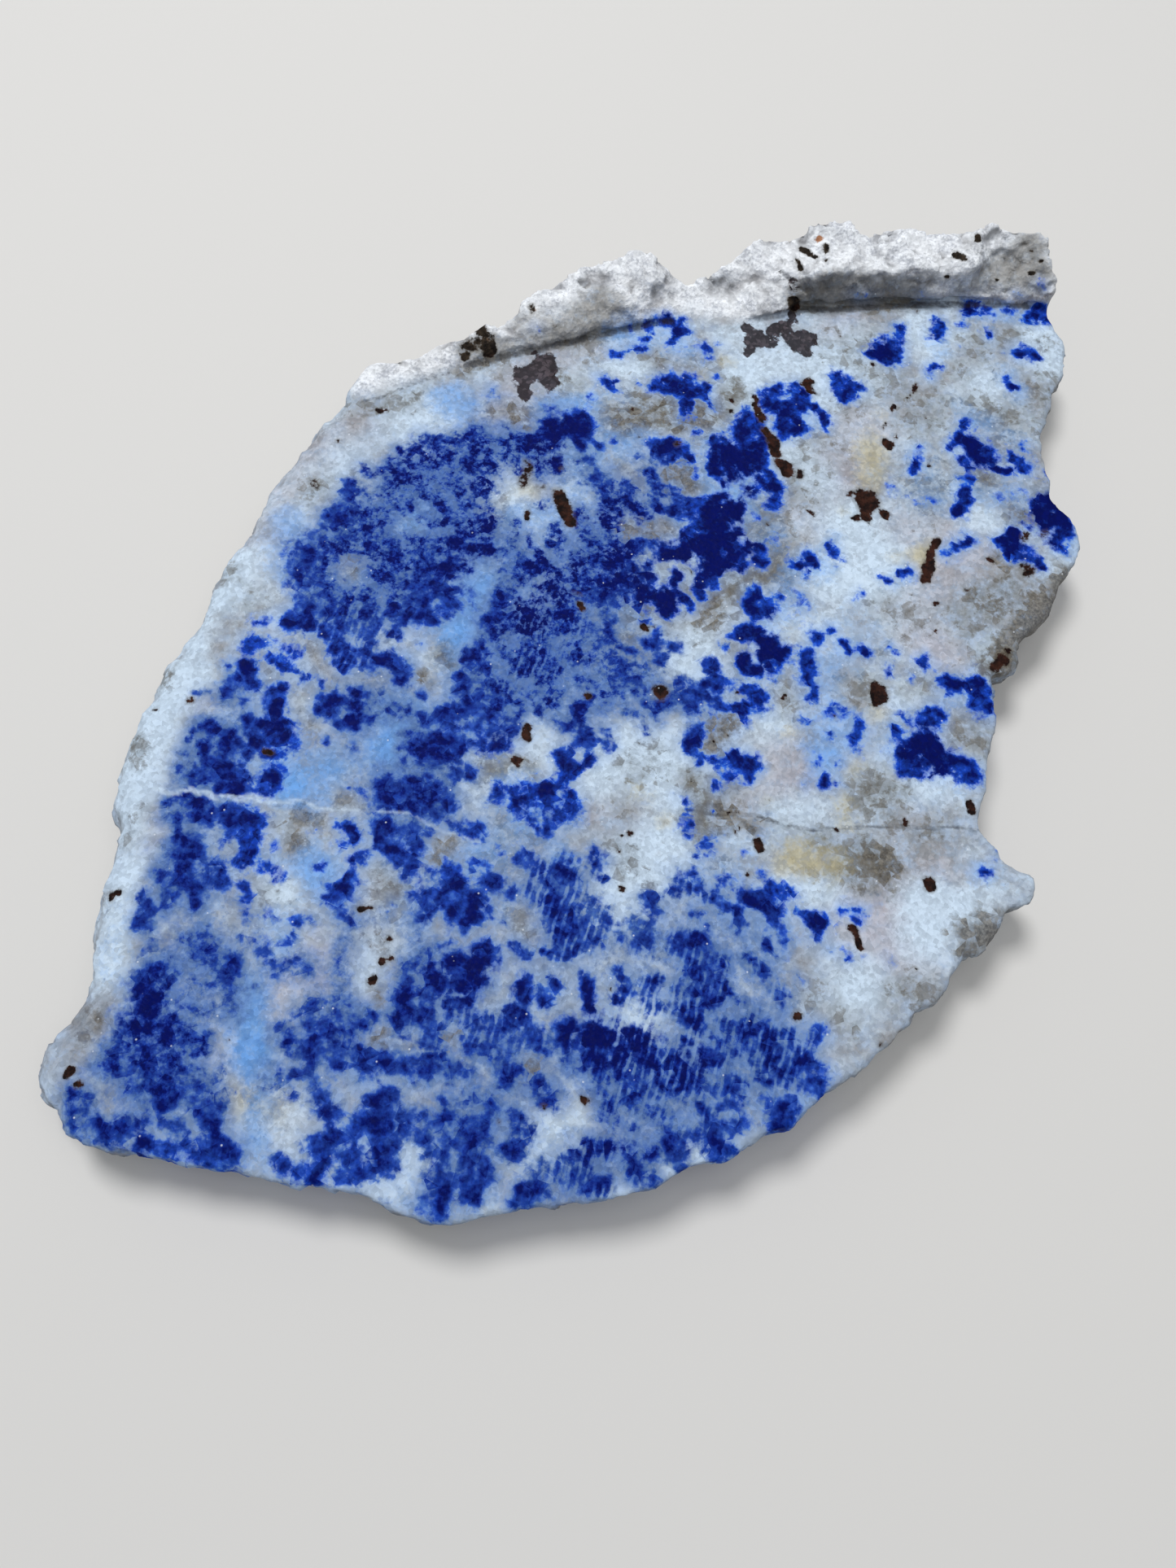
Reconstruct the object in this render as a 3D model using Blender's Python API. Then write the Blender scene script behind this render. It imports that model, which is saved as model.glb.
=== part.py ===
"""A sawn slab of lapis lazuli in white calcite marble.

The slab lies on its flat underside. Its upper face is a flat saw cut. Along the far edge the cut stops
and the rock is broken off above it, which leaves a rough ledge standing over the face. The left rim is a
weathered rind that slopes outwards, and the near and right rims are sharp and cut under.

Plan points are millimetres: x to the right, y away from the middle of the near edge, z up from the
underside. The finished solid is moved so that its origin is the middle of its box, at the bottom.
"""

import bmesh
import bpy
import numpy as np
from mathutils import Vector, noise

MM = 0.001
NODE = "lapis_slab"

# Driving dimensions, in millimetres
SLAB_THICKNESS = 9.0
POINT_SPACING = 1.4
KERF_HEIGHT = 0.7
KERF_DEPTH = 1.0

# Kinds of surface
SAWN, SIDE, LEDGE_TOP = 0, 1, 2

# The rim between the left end of the ledge and its right end, as (x, y)
LEFT_RIM = [
    (-36.1, 99.9), (-37.3, 98.3), (-39.7, 95.8), (-40.4, 93.3), (-42.3, 89.1), (-43.9, 85.7), (-46.1, 80.1),
    (-46.4, 78.2), (-47.7, 74.6), (-49.1, 71.8), (-50.0, 67.3), (-50.9, 64.6), (-52.4, 60.6), (-53.7, 58.8),
    (-54.4, 56.0), (-55.0, 53.3), (-56.1, 49.6), (-56.5, 45.5), (-56.3, 42.0), (-55.7, 39.2), (-54.8, 36.0),
    (-54.9, 31.5), (-55.2, 25.0), (-54.7, 20.0), (-55.0, 16.9), (-56.8, 13.2), (-57.7, 11.2), (-57.9, 8.8),
    (-57.1, 6.8), (-55.5, 5.4), (-54.7, 4.2),
]
NEAR_RIM = [
    (-53.9, 2.8), (-52.2, 1.9), (-49.5, 1.3), (-45.0, 0.8), (-41.5, 0.2), (-37.0, 0.0), (-31.0, -0.8),
    (-26.0, -1.4), (-21.6, -2.0), (-18.8, -3.1), (-14.6, -4.2), (-12.0, -4.0), (-8.0, -3.0), (-4.0, -2.1),
    (0.8, -1.6), (4.0, -1.4), (8.3, -0.1), (10.6, 1.0), (12.9, 2.5), (15.5, 3.2), (17.3, 4.1), (19.5, 5.6),
    (23.7, 7.2), (25.5, 8.8), (28.8, 11.6), (31.8, 14.1), (34.4, 16.7), (37.1, 19.0), (38.4, 20.5),
    (40.4, 21.6), (41.9, 23.1), (42.8, 25.2), (43.4, 28.0),
]
RIGHT_RIM = [
    (45.3, 28.9), (47.5, 30.6), (48.5, 31.7), (49.8, 33.0), (51.5, 33.7), (52.8, 35.2), (53.2, 36.4),
    (52.8, 37.3), (50.9, 37.7), (49.1, 39.2), (49.0, 40.4), (47.5, 42.0), (47.2, 43.6), (47.9, 47.3),
    (48.8, 51.8), (49.8, 54.8), (50.3, 60.0), (50.4, 61.9), (50.0, 63.3), (51.8, 64.6), (52.6, 66.0),
    (53.0, 67.6), (54.6, 70.4), (57.0, 73.5), (60.7, 78.0), (63.0, 80.9), (63.7, 84.0), (63.1, 86.6),
    (61.3, 89.2), (60.4, 90.7), (60.6, 92.4), (60.0, 97.1), (59.9, 100.2), (60.6, 102.8), (61.8, 107.4),
    (63.3, 111.0), (63.9, 115.1), (63.7, 118.2), (63.4, 120.9), (62.8, 122.6),
]

# How each stretch of rim is shaped: the width of the slope outside the sawn face, the height at which
# the stone reaches furthest out, how far out it reaches there, and how far in the bottom edge lies
LEFT_SIDE = (1.9, 5.8, 0.9, 0.6)
NEAR_SIDE = (0.3, 8.2, 0.1, 2.4)
RIGHT_SIDE = (0.4, 8.0, 0.1, 1.9)
LEDGE_SIDE = (0.0, 6.6, 0.6, 0.5)

# Places where the side flares out below the rim and shows from above, as (x, y, reach, flare)
FLARES = [
    (56.6, 73.4, 5.5, 1.4), (52.0, 65.0, 3.0, 1.6), (45.6, 28.9, 3.5, 1.8), (63.6, 113.0, 7.0, 0.8),
    (-57.4, 9.5, 4.0, 0.6), (-56.4, 44.0, 7.0, 0.5),
]

# The ledge from its right end to its left end. Each row is a section across it: the foot of the ledge on
# the sawn face (x, y), the crest at the back (x, y), where the upper front edge lies between them as a
# part of the width, and how high the front edge and the crest stand above the face
LEDGE = [
    (62.3, 122.7, 62.9, 123.9, 0.45, 2.3, 3.2),
    (61.2, 122.8, 62.6, 125.2, 0.38, 3.0, 4.6),
    (60.0, 122.9, 61.6, 127.2, 0.32, 3.0, 5.4),
    (58.6, 122.9, 60.5, 129.4, 0.28, 3.0, 6.3),
    (57.2, 122.9, 59.2, 130.5, 0.28, 3.0, 6.8),
    (55.8, 122.9, 57.6, 130.2, 0.25, 2.8, 7.0),
    (54.2, 122.9, 55.1, 130.6, 0.25, 2.8, 7.7),
    (52.6, 122.8, 52.8, 130.2, 0.25, 3.0, 8.0),
    (50.2, 122.7, 49.8, 129.3, 0.22, 4.2, 7.0),
    (47.6, 122.5, 47.2, 129.0, 0.20, 4.8, 6.4),
    (45.0, 122.3, 44.6, 129.2, 0.20, 4.9, 6.1),
    (40.4, 121.8, 39.6, 129.9, 0.18, 5.1, 6.5),
    (37.6, 121.4, 37.2, 129.6, 0.16, 5.2, 6.3),
    (35.2, 121.1, 34.6, 129.0, 0.15, 5.2, 5.8),
    (33.0, 120.9, 32.6, 129.9, 0.15, 5.3, 6.6),
    (29.4, 120.5, 28.2, 129.8, 0.14, 5.4, 6.8),
    (27.4, 120.1, 26.3, 128.8, 0.17, 5.2, 6.3),
    (26.4, 119.6, 25.2, 127.8, 0.32, 4.6, 6.0),
    (24.6, 118.5, 23.2, 127.8, 0.55, 3.4, 5.8),
    (22.4, 117.8, 21.3, 128.1, 0.60, 3.1, 5.5),
    (20.4, 117.3, 19.4, 127.6, 0.60, 2.7, 5.0),
    (18.6, 117.0, 17.8, 126.2, 0.60, 2.1, 4.3),
    (15.6, 117.0, 15.2, 123.6, 0.60, 1.2, 3.1),
    (12.8, 117.2, 12.2, 123.0, 0.60, 0.8, 2.1),
    (10.8, 117.2, 10.3, 121.9, 0.60, 0.6, 1.4),
    (9.2, 116.9, 8.8, 122.6, 0.50, 1.2, 2.4),
    (7.6, 116.5, 7.3, 122.9, 0.40, 2.0, 3.4),
    (5.6, 116.0, 5.6, 124.0, 0.32, 2.5, 4.4),
    (2.6, 115.1, 3.0, 123.9, 0.30, 2.7, 4.6),
    (-2.2, 113.3, -2.0, 122.4, 0.28, 2.9, 4.2),
    (-6.0, 111.7, -6.4, 120.7, 0.26, 2.7, 3.8),
    (-9.4, 110.6, -9.6, 118.0, 0.28, 2.4, 3.3),
    (-11.6, 110.0, -12.2, 116.3, 0.30, 2.2, 3.0),
    (-15.4, 108.8, -15.3, 112.6, 0.40, 1.9, 2.3),
    (-17.4, 108.1, -17.8, 112.0, 0.40, 2.1, 2.8),
    (-19.2, 107.3, -19.8, 110.8, 0.40, 1.9, 2.4),
    (-22.2, 105.9, -23.4, 109.5, 0.40, 1.3, 1.8),
    (-26.2, 103.9, -27.4, 106.6, 0.40, 0.9, 1.5),
    (-31.0, 101.2, -32.7, 105.7, 0.30, 0.7, 1.3),
    (-33.4, 100.2, -34.6, 103.4, 0.30, 0.5, 0.9),
    (-34.9, 99.9, -35.7, 101.4, 0.30, 0.3, 0.5),
]

# Hollows and knobs in the ledge and the rim, as (x, y, z, reach, depth); a knob has a negative depth
HOLLOWS = [
    (-18.6, 110.2, 11.5, 2.3, 1.0), (36.0, 121.8, 12.5, 3.2, 0.9), (27.6, 124.0, 14.6, 1.8, 0.7),
    (55.5, 127.0, 14.5, 3.4, 1.3), (49.8, 125.0, 14.2, 2.0, -0.8), (43.5, 123.6, 14.2, 2.2, -0.7),
    (57.5, 123.6, 11.6, 2.0, -0.6), (3.4, 121.0, 13.4, 2.6, -0.6), (-3.0, 115.6, 12.0, 2.4, 0.6),
    (47.2, 43.4, 8.0, 2.0, 0.5), (50.2, 63.2, 8.0, 2.0, 0.5), (-56.0, 47.5, 6.0, 2.0, 0.6),
    (-54.8, 19.0, 6.5, 1.8, 0.5), (-46.8, 79.0, 6.0, 1.8, 0.5),
]

# Roughness of each kind of surface, as (size of the lumps, height of the lumps)
LEDGE_ROUGHNESS = [(6.0, 0.7), (3.0, 0.45), (1.6, 0.25)]
SIDE_ROUGHNESS = [(10.0, 0.9), (4.0, 0.55), (2.0, 0.3)]
RIM_ROUGHNESS = [(3.0, 0.2), (1.5, 0.12)]

# Cleavage facets, as (size of a facet, how far its tilt lifts its edges)
LEDGE_FACETS = (3.4, 0.8)
SIDE_FACETS = (5.0, 0.9)
FACET_SCATTER = 7.3
NOISE_SEED = 5

# The ledge's widths between which its roughness grows from none to full
SMOOTH_WIDTH = 1.0
ROUGH_WIDTH = 9.0

# Heights of the wall's rows as parts of the way from the underside to where the stone reaches furthest
# out, and how much of the rim's small notches each row keeps
WALL_ROWS = [0.0, 0.22, 0.48, 0.75, 1.0]
WALL_DETAIL = [0.25, 0.40, 0.60, 0.80, 0.95]
WALL_SMOOTHING = 9.0

# How far the shoulder between that height and the edge of the face swells out of the straight line
SHOULDER_SWELL = 0.45

# Rows up the front of the ledge and back over its top, as parts of each, and how each of the two bends
FRONT_ROWS = [0.33, 0.70, 1.0]
TOP_ROWS = [0.2, 0.4, 0.6, 0.8]
FRONT_HOLLOW = 1.4
TOP_SWELL = 0.8

# The saw kerf under the ledge: the front height at which it is cut to its full depth, the most of the
# ledge's width or height that it takes, and where the lip over it lies as a part of the width
KERF_FULL_HEIGHT = 5.0
KERF_WIDEST = 0.3
LIP = 0.02

# Distances over which the side shapes blend into each other and over which outward directions are averaged
SHAPE_BLEND = 4.0
DIRECTION_BLEND = 3.0

# Steps between two points of a list when a curve is drawn through them
CURVE_STEPS = 20


def through(rows, spacing):
    """Points every `spacing` along a smooth curve through the rows, measured along their first two values."""
    rows = np.array(rows, dtype=float)
    last = len(rows) - 1
    fine = []
    for i in range(last):
        a, b, c, d = (rows[min(max(i + k, 0), last)] for k in (-1, 0, 1, 2))
        for t in np.linspace(0.0, 1.0, CURVE_STEPS, endpoint=False):
            fine.append(0.5 * (2 * b + (c - a) * t + (2 * a - 5 * b + 4 * c - d) * t**2
                               + (3 * b - a - 3 * c + d) * t**3))
    fine.append(rows[-1])
    fine = np.array(fine)
    along = np.concatenate([[0.0], np.cumsum(np.hypot(*np.diff(fine[:, :2], axis=0).T))])
    pieces = max(int(round(along[-1] / spacing)), 1)
    wanted = np.linspace(0.0, along[-1], pieces + 1)
    return np.column_stack([np.interp(wanted, along, column) for column in fine.T])


def smoothed(loop, reach, spacing):
    """A closed loop of rows with each value averaged over `reach` to either side."""
    half = max(int(round(reach / spacing)), 1)
    weights = np.hanning(2 * half + 3)[1:-1]
    total = np.zeros_like(loop)
    for shift, weight in zip(range(-half, half + 1), weights):
        total += weight * np.roll(loop, shift, axis=0)
    return total / weights.sum()


def outward(loop):
    """Unit normals of a counter-clockwise loop of plan points, pointing out of it."""
    along = np.roll(loop, -1, axis=0) - np.roll(loop, 1, axis=0)
    along /= np.linalg.norm(along, axis=1)[:, None]
    return np.column_stack([along[:, 1], -along[:, 0]])


def lumps(point, layers):
    """Height of the stone's roughness at a point, as a sum of noise layers."""
    return sum(height * noise.noise(Vector(point) / size) for size, height in layers)


def facets(point, size, lift):
    """Height of flat tilted facets, each round its own scattered point."""
    place = Vector(point) / size
    middle = noise.voronoi(place)[1][0]
    tilt = noise.noise_vector(middle * FACET_SCATTER)
    return lift * (place - middle).dot(tilt)


def roughness_share(width):
    """How much of the full roughness the ledge has where it is this wide."""
    return min(max((width - SMOOTH_WIDTH) / (ROUGH_WIDTH - SMOOTH_WIDTH), 0.0), 1.0)


def stone_outline(spacing):
    """The rim and the ledge as one counter-clockwise loop: plan points, side shapes, and ledge sections."""
    sections = through(LEDGE, spacing)
    rims = [through(LEFT_RIM + NEAR_RIM[:1], spacing)[:-1], through(NEAR_RIM + RIGHT_RIM[:1], spacing)[:-1],
            through(RIGHT_RIM, spacing)]
    plan = np.vstack([sections[:, 2:4]] + rims)
    shapes = [LEDGE_SIDE] * len(sections)
    for rim, shape in zip(rims, (LEFT_SIDE, NEAR_SIDE, RIGHT_SIDE)):
        shapes += [shape] * len(rim)
    shapes = smoothed(np.array(shapes), SHAPE_BLEND, spacing)
    return plan, shapes, sections


def flare(x, y):
    """How much further than usual the side reaches out at a plan point."""
    return sum(size * np.exp(-((x - fx) ** 2 + (y - fy) ** 2) / reach**2) for fx, fy, reach, size in FLARES)


def wall_rows(plan, shapes, top, spacing):
    """Rows of wall points from the underside to the edge of the sawn face or the ledge's crest."""
    is_crest = top > SLAB_THICKNESS
    broad = smoothed(plan, WALL_SMOOTHING, spacing)
    rows = []
    for part, detail in zip(WALL_ROWS, WALL_DETAIL):
        base = plan * detail + broad * (1 - detail)
        normals = outward(smoothed(base, DIRECTION_BLEND, spacing))
        row = []
        for i in range(len(plan)):
            slope, widest, reach, undercut = shapes[i]
            reach += flare(*plan[i])
            out = -undercut + (reach + undercut) * np.sin(part * np.pi / 2)
            x, y = base[i] + normals[i] * out
            z = part * widest * top[i] / SLAB_THICKNESS
            row.append((x, y, z))
        rows.append(row)
    edge = []
    shoulder = []
    for i in range(len(plan)):
        inset = 0.0 if is_crest[i] else shapes[i][0] + lumps((*plan[i], 0.0), RIM_ROUGHNESS)
        x, y = plan[i] - normals[i] * inset
        edge.append((x, y, top[i]))
        between = (np.array(edge[i]) + np.array(rows[-1][i])) / 2
        swell = SHOULDER_SWELL * min(shapes[i][0], 1.0)
        shoulder.append((*(between[:2] + normals[i] * swell), between[2] + swell))
    return rows + [shoulder, edge]


def ledge_column(section):
    """Points of one section of the ledge from its foot, behind the saw kerf, to just before its crest."""
    foot = np.array(section[0:2])
    across = np.array(section[2:4]) - foot
    front, front_height, crest_height = section[4:7]
    width = np.linalg.norm(across)
    kerf = min(KERF_DEPTH * min(front_height / KERF_FULL_HEIGHT, 1.0) / width, KERF_WIDEST)
    slot = min(KERF_HEIGHT, KERF_WIDEST * front_height)
    points = [(kerf, 0.0), (kerf * 0.9, slot * 0.8), (LIP, slot)]
    for part in FRONT_ROWS:
        points.append((LIP + (front - LIP) * part**FRONT_HOLLOW, slot + (front_height - slot) * part))
    for part in TOP_ROWS:
        points.append((front + (1 - front) * part, front_height + (crest_height - front_height) * part**TOP_SWELL))
    return [(*(foot + across * t), SLAB_THICKNESS + rise) for t, rise in points]


def build_stone(spacing):
    """The whole stone as one closed bmesh, with the kind of surface kept on each vertex."""
    plan, shapes, sections = stone_outline(spacing)
    top = np.full(len(plan), SLAB_THICKNESS)
    top[:len(sections)] += sections[:, 6]
    widths = np.linalg.norm(sections[:, 2:4] - sections[:, 0:2], axis=1)
    bm = bmesh.new()
    kind = bm.verts.layers.int.new("kind")
    rough = bm.verts.layers.float.new("rough")
    rows = []
    for number, row in enumerate(wall_rows(plan, shapes, top, spacing)):
        verts = [bm.verts.new(point) for point in row]
        for i, vert in enumerate(verts):
            is_ledge = i < len(sections)
            vert[rough] = roughness_share(widths[i]) if is_ledge else 1.0
            if 0 < number <= len(WALL_ROWS):
                vert[kind] = SIDE
            elif number > len(WALL_ROWS) and is_ledge:
                vert[kind] = LEDGE_TOP
        rows.append(verts)
    count = len(plan)
    bm.faces.new(list(reversed(rows[0])))
    for lower, upper in zip(rows, rows[1:]):
        for i in range(count):
            j = (i + 1) % count
            bm.faces.new((lower[i], lower[j], upper[j], upper[i]))
    columns = []
    for i, section in enumerate(sections):
        column = [bm.verts.new(point) for point in ledge_column(section)]
        for vert in column[2:]:
            vert[kind] = LEDGE_TOP
            vert[rough] = roughness_share(widths[i])
        columns.append(column + [rows[-1][i]])
    for right, left in zip(columns, columns[1:]):
        for k in range(len(right) - 1):
            bm.faces.new((right[k], right[k + 1], left[k + 1], left[k]))
    rim = rows[-1][len(sections):]
    for corner, column in ((rim[0], columns[-1]), (rim[-1], columns[0])):
        for low, high in zip(column, column[1:]):
            bm.faces.new((low, high, corner) if column is columns[-1] else (low, corner, high))
    bm.faces.new(rim + [column[0] for column in columns])
    return bm


def roughen(bm):
    """Push the walls and the ledge in and out along their normals."""
    kind = bm.verts.layers.int["kind"]
    rough = bm.verts.layers.float["rough"]
    bm.normal_update()
    moves = {}
    for vert in bm.verts:
        if vert[kind] == SAWN:
            continue
        is_ledge = vert[kind] == LEDGE_TOP
        push = lumps(vert.co, LEDGE_ROUGHNESS if is_ledge else SIDE_ROUGHNESS)
        push += facets(vert.co, *(LEDGE_FACETS if is_ledge else SIDE_FACETS))
        for x, y, z, reach, depth in HOLLOWS:
            push -= depth * np.exp(-(vert.co - Vector((x, y, z))).length_squared / reach**2)
        moves[vert] = vert.normal * push * vert[rough]
    for vert, move in moves.items():
        vert.co += move


def stone_material():
    """Blue and white stone with a matte sawn finish."""
    material = bpy.data.materials.new("lapis_stone")
    material.use_nodes = True
    shader = material.node_tree.nodes["Principled BSDF"]
    shader.inputs["Base Color"].default_value = (0.30, 0.37, 0.52, 1.0)
    shader.inputs["Roughness"].default_value = 0.62
    shader.inputs["Metallic"].default_value = 0.0
    return material


def main():
    for old in list(bpy.data.objects):
        bpy.data.objects.remove(old, do_unlink=True)
    noise.seed_set(NOISE_SEED)
    bm = build_stone(POINT_SPACING)
    roughen(bm)
    places = np.array([vert.co for vert in bm.verts])
    low, high = places.min(axis=0), places.max(axis=0)
    middle = Vector(((low[0] + high[0]) / 2, (low[1] + high[1]) / 2, 0.0))
    for vert in bm.verts:
        vert.co = (vert.co - middle) * MM
    bmesh.ops.triangulate(bm, faces=[face for face in bm.faces if len(face.verts) == 4])
    mesh = bpy.data.meshes.new(NODE)
    bm.to_mesh(mesh)
    bm.free()
    mesh.materials.append(stone_material())
    slab = bpy.data.objects.new(NODE, mesh)
    bpy.context.scene.collection.objects.link(slab)


main()
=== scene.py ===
"""The looks of the lapis lazuli slab: a matte sawn face, a crumbly broken ledge, a rough rim, and blue
grains in white calcite.

The stone's outline, its side shapes and its ledge repeat the solid model's driving points. Plan places
are millimetres: x to the right, y away from the middle of the near edge, z up from the underside. The
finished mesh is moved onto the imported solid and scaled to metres. The markings are strokes and spots
in the same plan millimetres, kept on the mesh's points and broken up by noise.
"""
import math

import bmesh
import bpy
import numpy as np
from mathutils import Matrix, Vector, kdtree, noise


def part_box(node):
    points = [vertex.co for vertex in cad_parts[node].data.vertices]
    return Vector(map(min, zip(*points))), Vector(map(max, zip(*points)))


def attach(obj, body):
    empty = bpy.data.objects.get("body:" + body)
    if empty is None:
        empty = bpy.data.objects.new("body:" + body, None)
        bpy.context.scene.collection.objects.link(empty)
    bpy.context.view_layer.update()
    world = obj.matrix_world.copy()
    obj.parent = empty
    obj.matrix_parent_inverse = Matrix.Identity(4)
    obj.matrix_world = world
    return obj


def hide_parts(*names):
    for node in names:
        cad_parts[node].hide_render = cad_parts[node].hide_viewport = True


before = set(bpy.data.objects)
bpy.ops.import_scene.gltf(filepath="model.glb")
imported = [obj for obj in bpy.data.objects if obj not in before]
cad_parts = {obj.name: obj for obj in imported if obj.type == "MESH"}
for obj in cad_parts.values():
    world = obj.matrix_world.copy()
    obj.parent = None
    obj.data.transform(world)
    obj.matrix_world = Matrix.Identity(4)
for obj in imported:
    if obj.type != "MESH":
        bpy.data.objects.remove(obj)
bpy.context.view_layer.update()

MM = 0.001
NODE = "lapis_slab"

# The stone, in millimetres: its thickness, the distance between the points of the solid model and of the
# fine stone, and the saw kerf at the foot of the ledge
SLAB_THICKNESS = 9.0
COARSE_SPACING = 1.4
FINE_SPACING = 0.7
KERF_HEIGHT = 0.9
KERF_DEPTH = 1.6

# The even mesh: the size of its faces, how much and how often they are smoothed, and how many are kept
VOXEL = 0.45
SMOOTH_SHARE = 0.5
SMOOTH_ROUNDS = 3
TRIANGLES = 190000

# Kinds of surface
SAWN, SIDE, LEDGE_TOP = 0, 1, 2

# The rim from the left end of the ledge round to its right end, as (x, y)
LEFT_RIM = [
    (-36.1, 99.9), (-37.3, 98.3), (-39.7, 95.8), (-40.4, 93.3), (-42.3, 89.1), (-43.9, 85.7), (-46.1, 80.1),
    (-46.4, 78.2), (-47.7, 74.6), (-49.1, 71.8), (-50.0, 67.3), (-50.9, 64.6), (-52.4, 60.6), (-53.7, 58.8),
    (-54.4, 56.0), (-55.0, 53.3), (-56.1, 49.6), (-56.5, 45.5), (-56.3, 42.0), (-55.7, 39.2), (-54.8, 36.0),
    (-54.9, 31.5), (-55.2, 25.0), (-54.7, 20.0), (-55.0, 16.9), (-56.8, 13.2), (-57.7, 11.2), (-57.9, 8.8),
    (-57.1, 6.8), (-55.5, 5.4), (-54.7, 4.2),
]
NEAR_RIM = [
    (-53.9, 2.8), (-52.2, 1.9), (-49.5, 1.3), (-45.0, 0.8), (-41.5, 0.2), (-37.0, 0.0), (-31.0, -0.8),
    (-26.0, -1.4), (-21.6, -2.0), (-18.8, -3.1), (-14.6, -4.2), (-12.0, -4.0), (-8.0, -3.0), (-4.0, -2.1),
    (0.8, -1.6), (4.0, -1.4), (8.3, -0.1), (10.6, 1.0), (12.9, 2.5), (15.5, 3.2), (17.3, 4.1), (19.5, 5.6),
    (23.7, 7.2), (25.5, 8.8), (28.8, 11.6), (31.8, 14.1), (34.4, 16.7), (37.1, 19.0), (38.4, 20.5),
    (40.4, 21.6), (41.9, 23.1), (42.8, 25.2), (43.4, 28.0),
]
RIGHT_RIM = [
    (45.3, 28.9), (47.5, 30.6), (48.5, 31.7), (49.8, 33.0), (51.5, 33.7), (52.8, 35.2), (53.2, 36.4),
    (52.8, 37.3), (50.9, 37.7), (49.1, 39.2), (49.0, 40.4), (47.5, 42.0), (47.2, 43.6), (47.9, 47.3),
    (48.8, 51.8), (49.8, 54.8), (50.3, 60.0), (50.4, 61.9), (50.0, 63.3), (51.8, 64.6), (52.6, 66.0),
    (53.0, 67.6), (54.6, 70.4), (57.0, 73.5), (60.7, 78.0), (63.0, 80.9), (63.7, 84.0), (63.1, 86.6),
    (61.3, 89.2), (60.4, 90.7), (60.6, 92.4), (60.0, 97.1), (59.9, 100.2), (60.6, 102.8), (61.8, 107.4),
    (63.3, 111.0), (63.9, 115.1), (63.7, 118.2), (63.4, 120.9), (62.8, 122.6),
]

# How each stretch of rim is shaped: the width of the slope outside the sawn face, the height at which
# the stone reaches furthest out, how far out it reaches there, and how far in the bottom edge lies
LEFT_SIDE = (1.9, 5.8, 0.9, 0.6)
NEAR_SIDE = (0.3, 8.2, 0.1, 2.4)
RIGHT_SIDE = (0.4, 8.0, 0.1, 1.9)
LEDGE_SIDE = (0.0, 6.6, 0.6, 0.5)

# Places where the side flares out below the rim and shows from above, as (x, y, reach, flare)
FLARES = [
    (56.6, 73.4, 5.5, 1.4), (52.0, 65.0, 3.0, 1.6), (45.6, 28.9, 3.5, 1.8), (63.6, 113.0, 7.0, 0.8),
    (-57.4, 9.5, 4.0, 0.6), (-56.4, 44.0, 7.0, 0.5),
]

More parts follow.
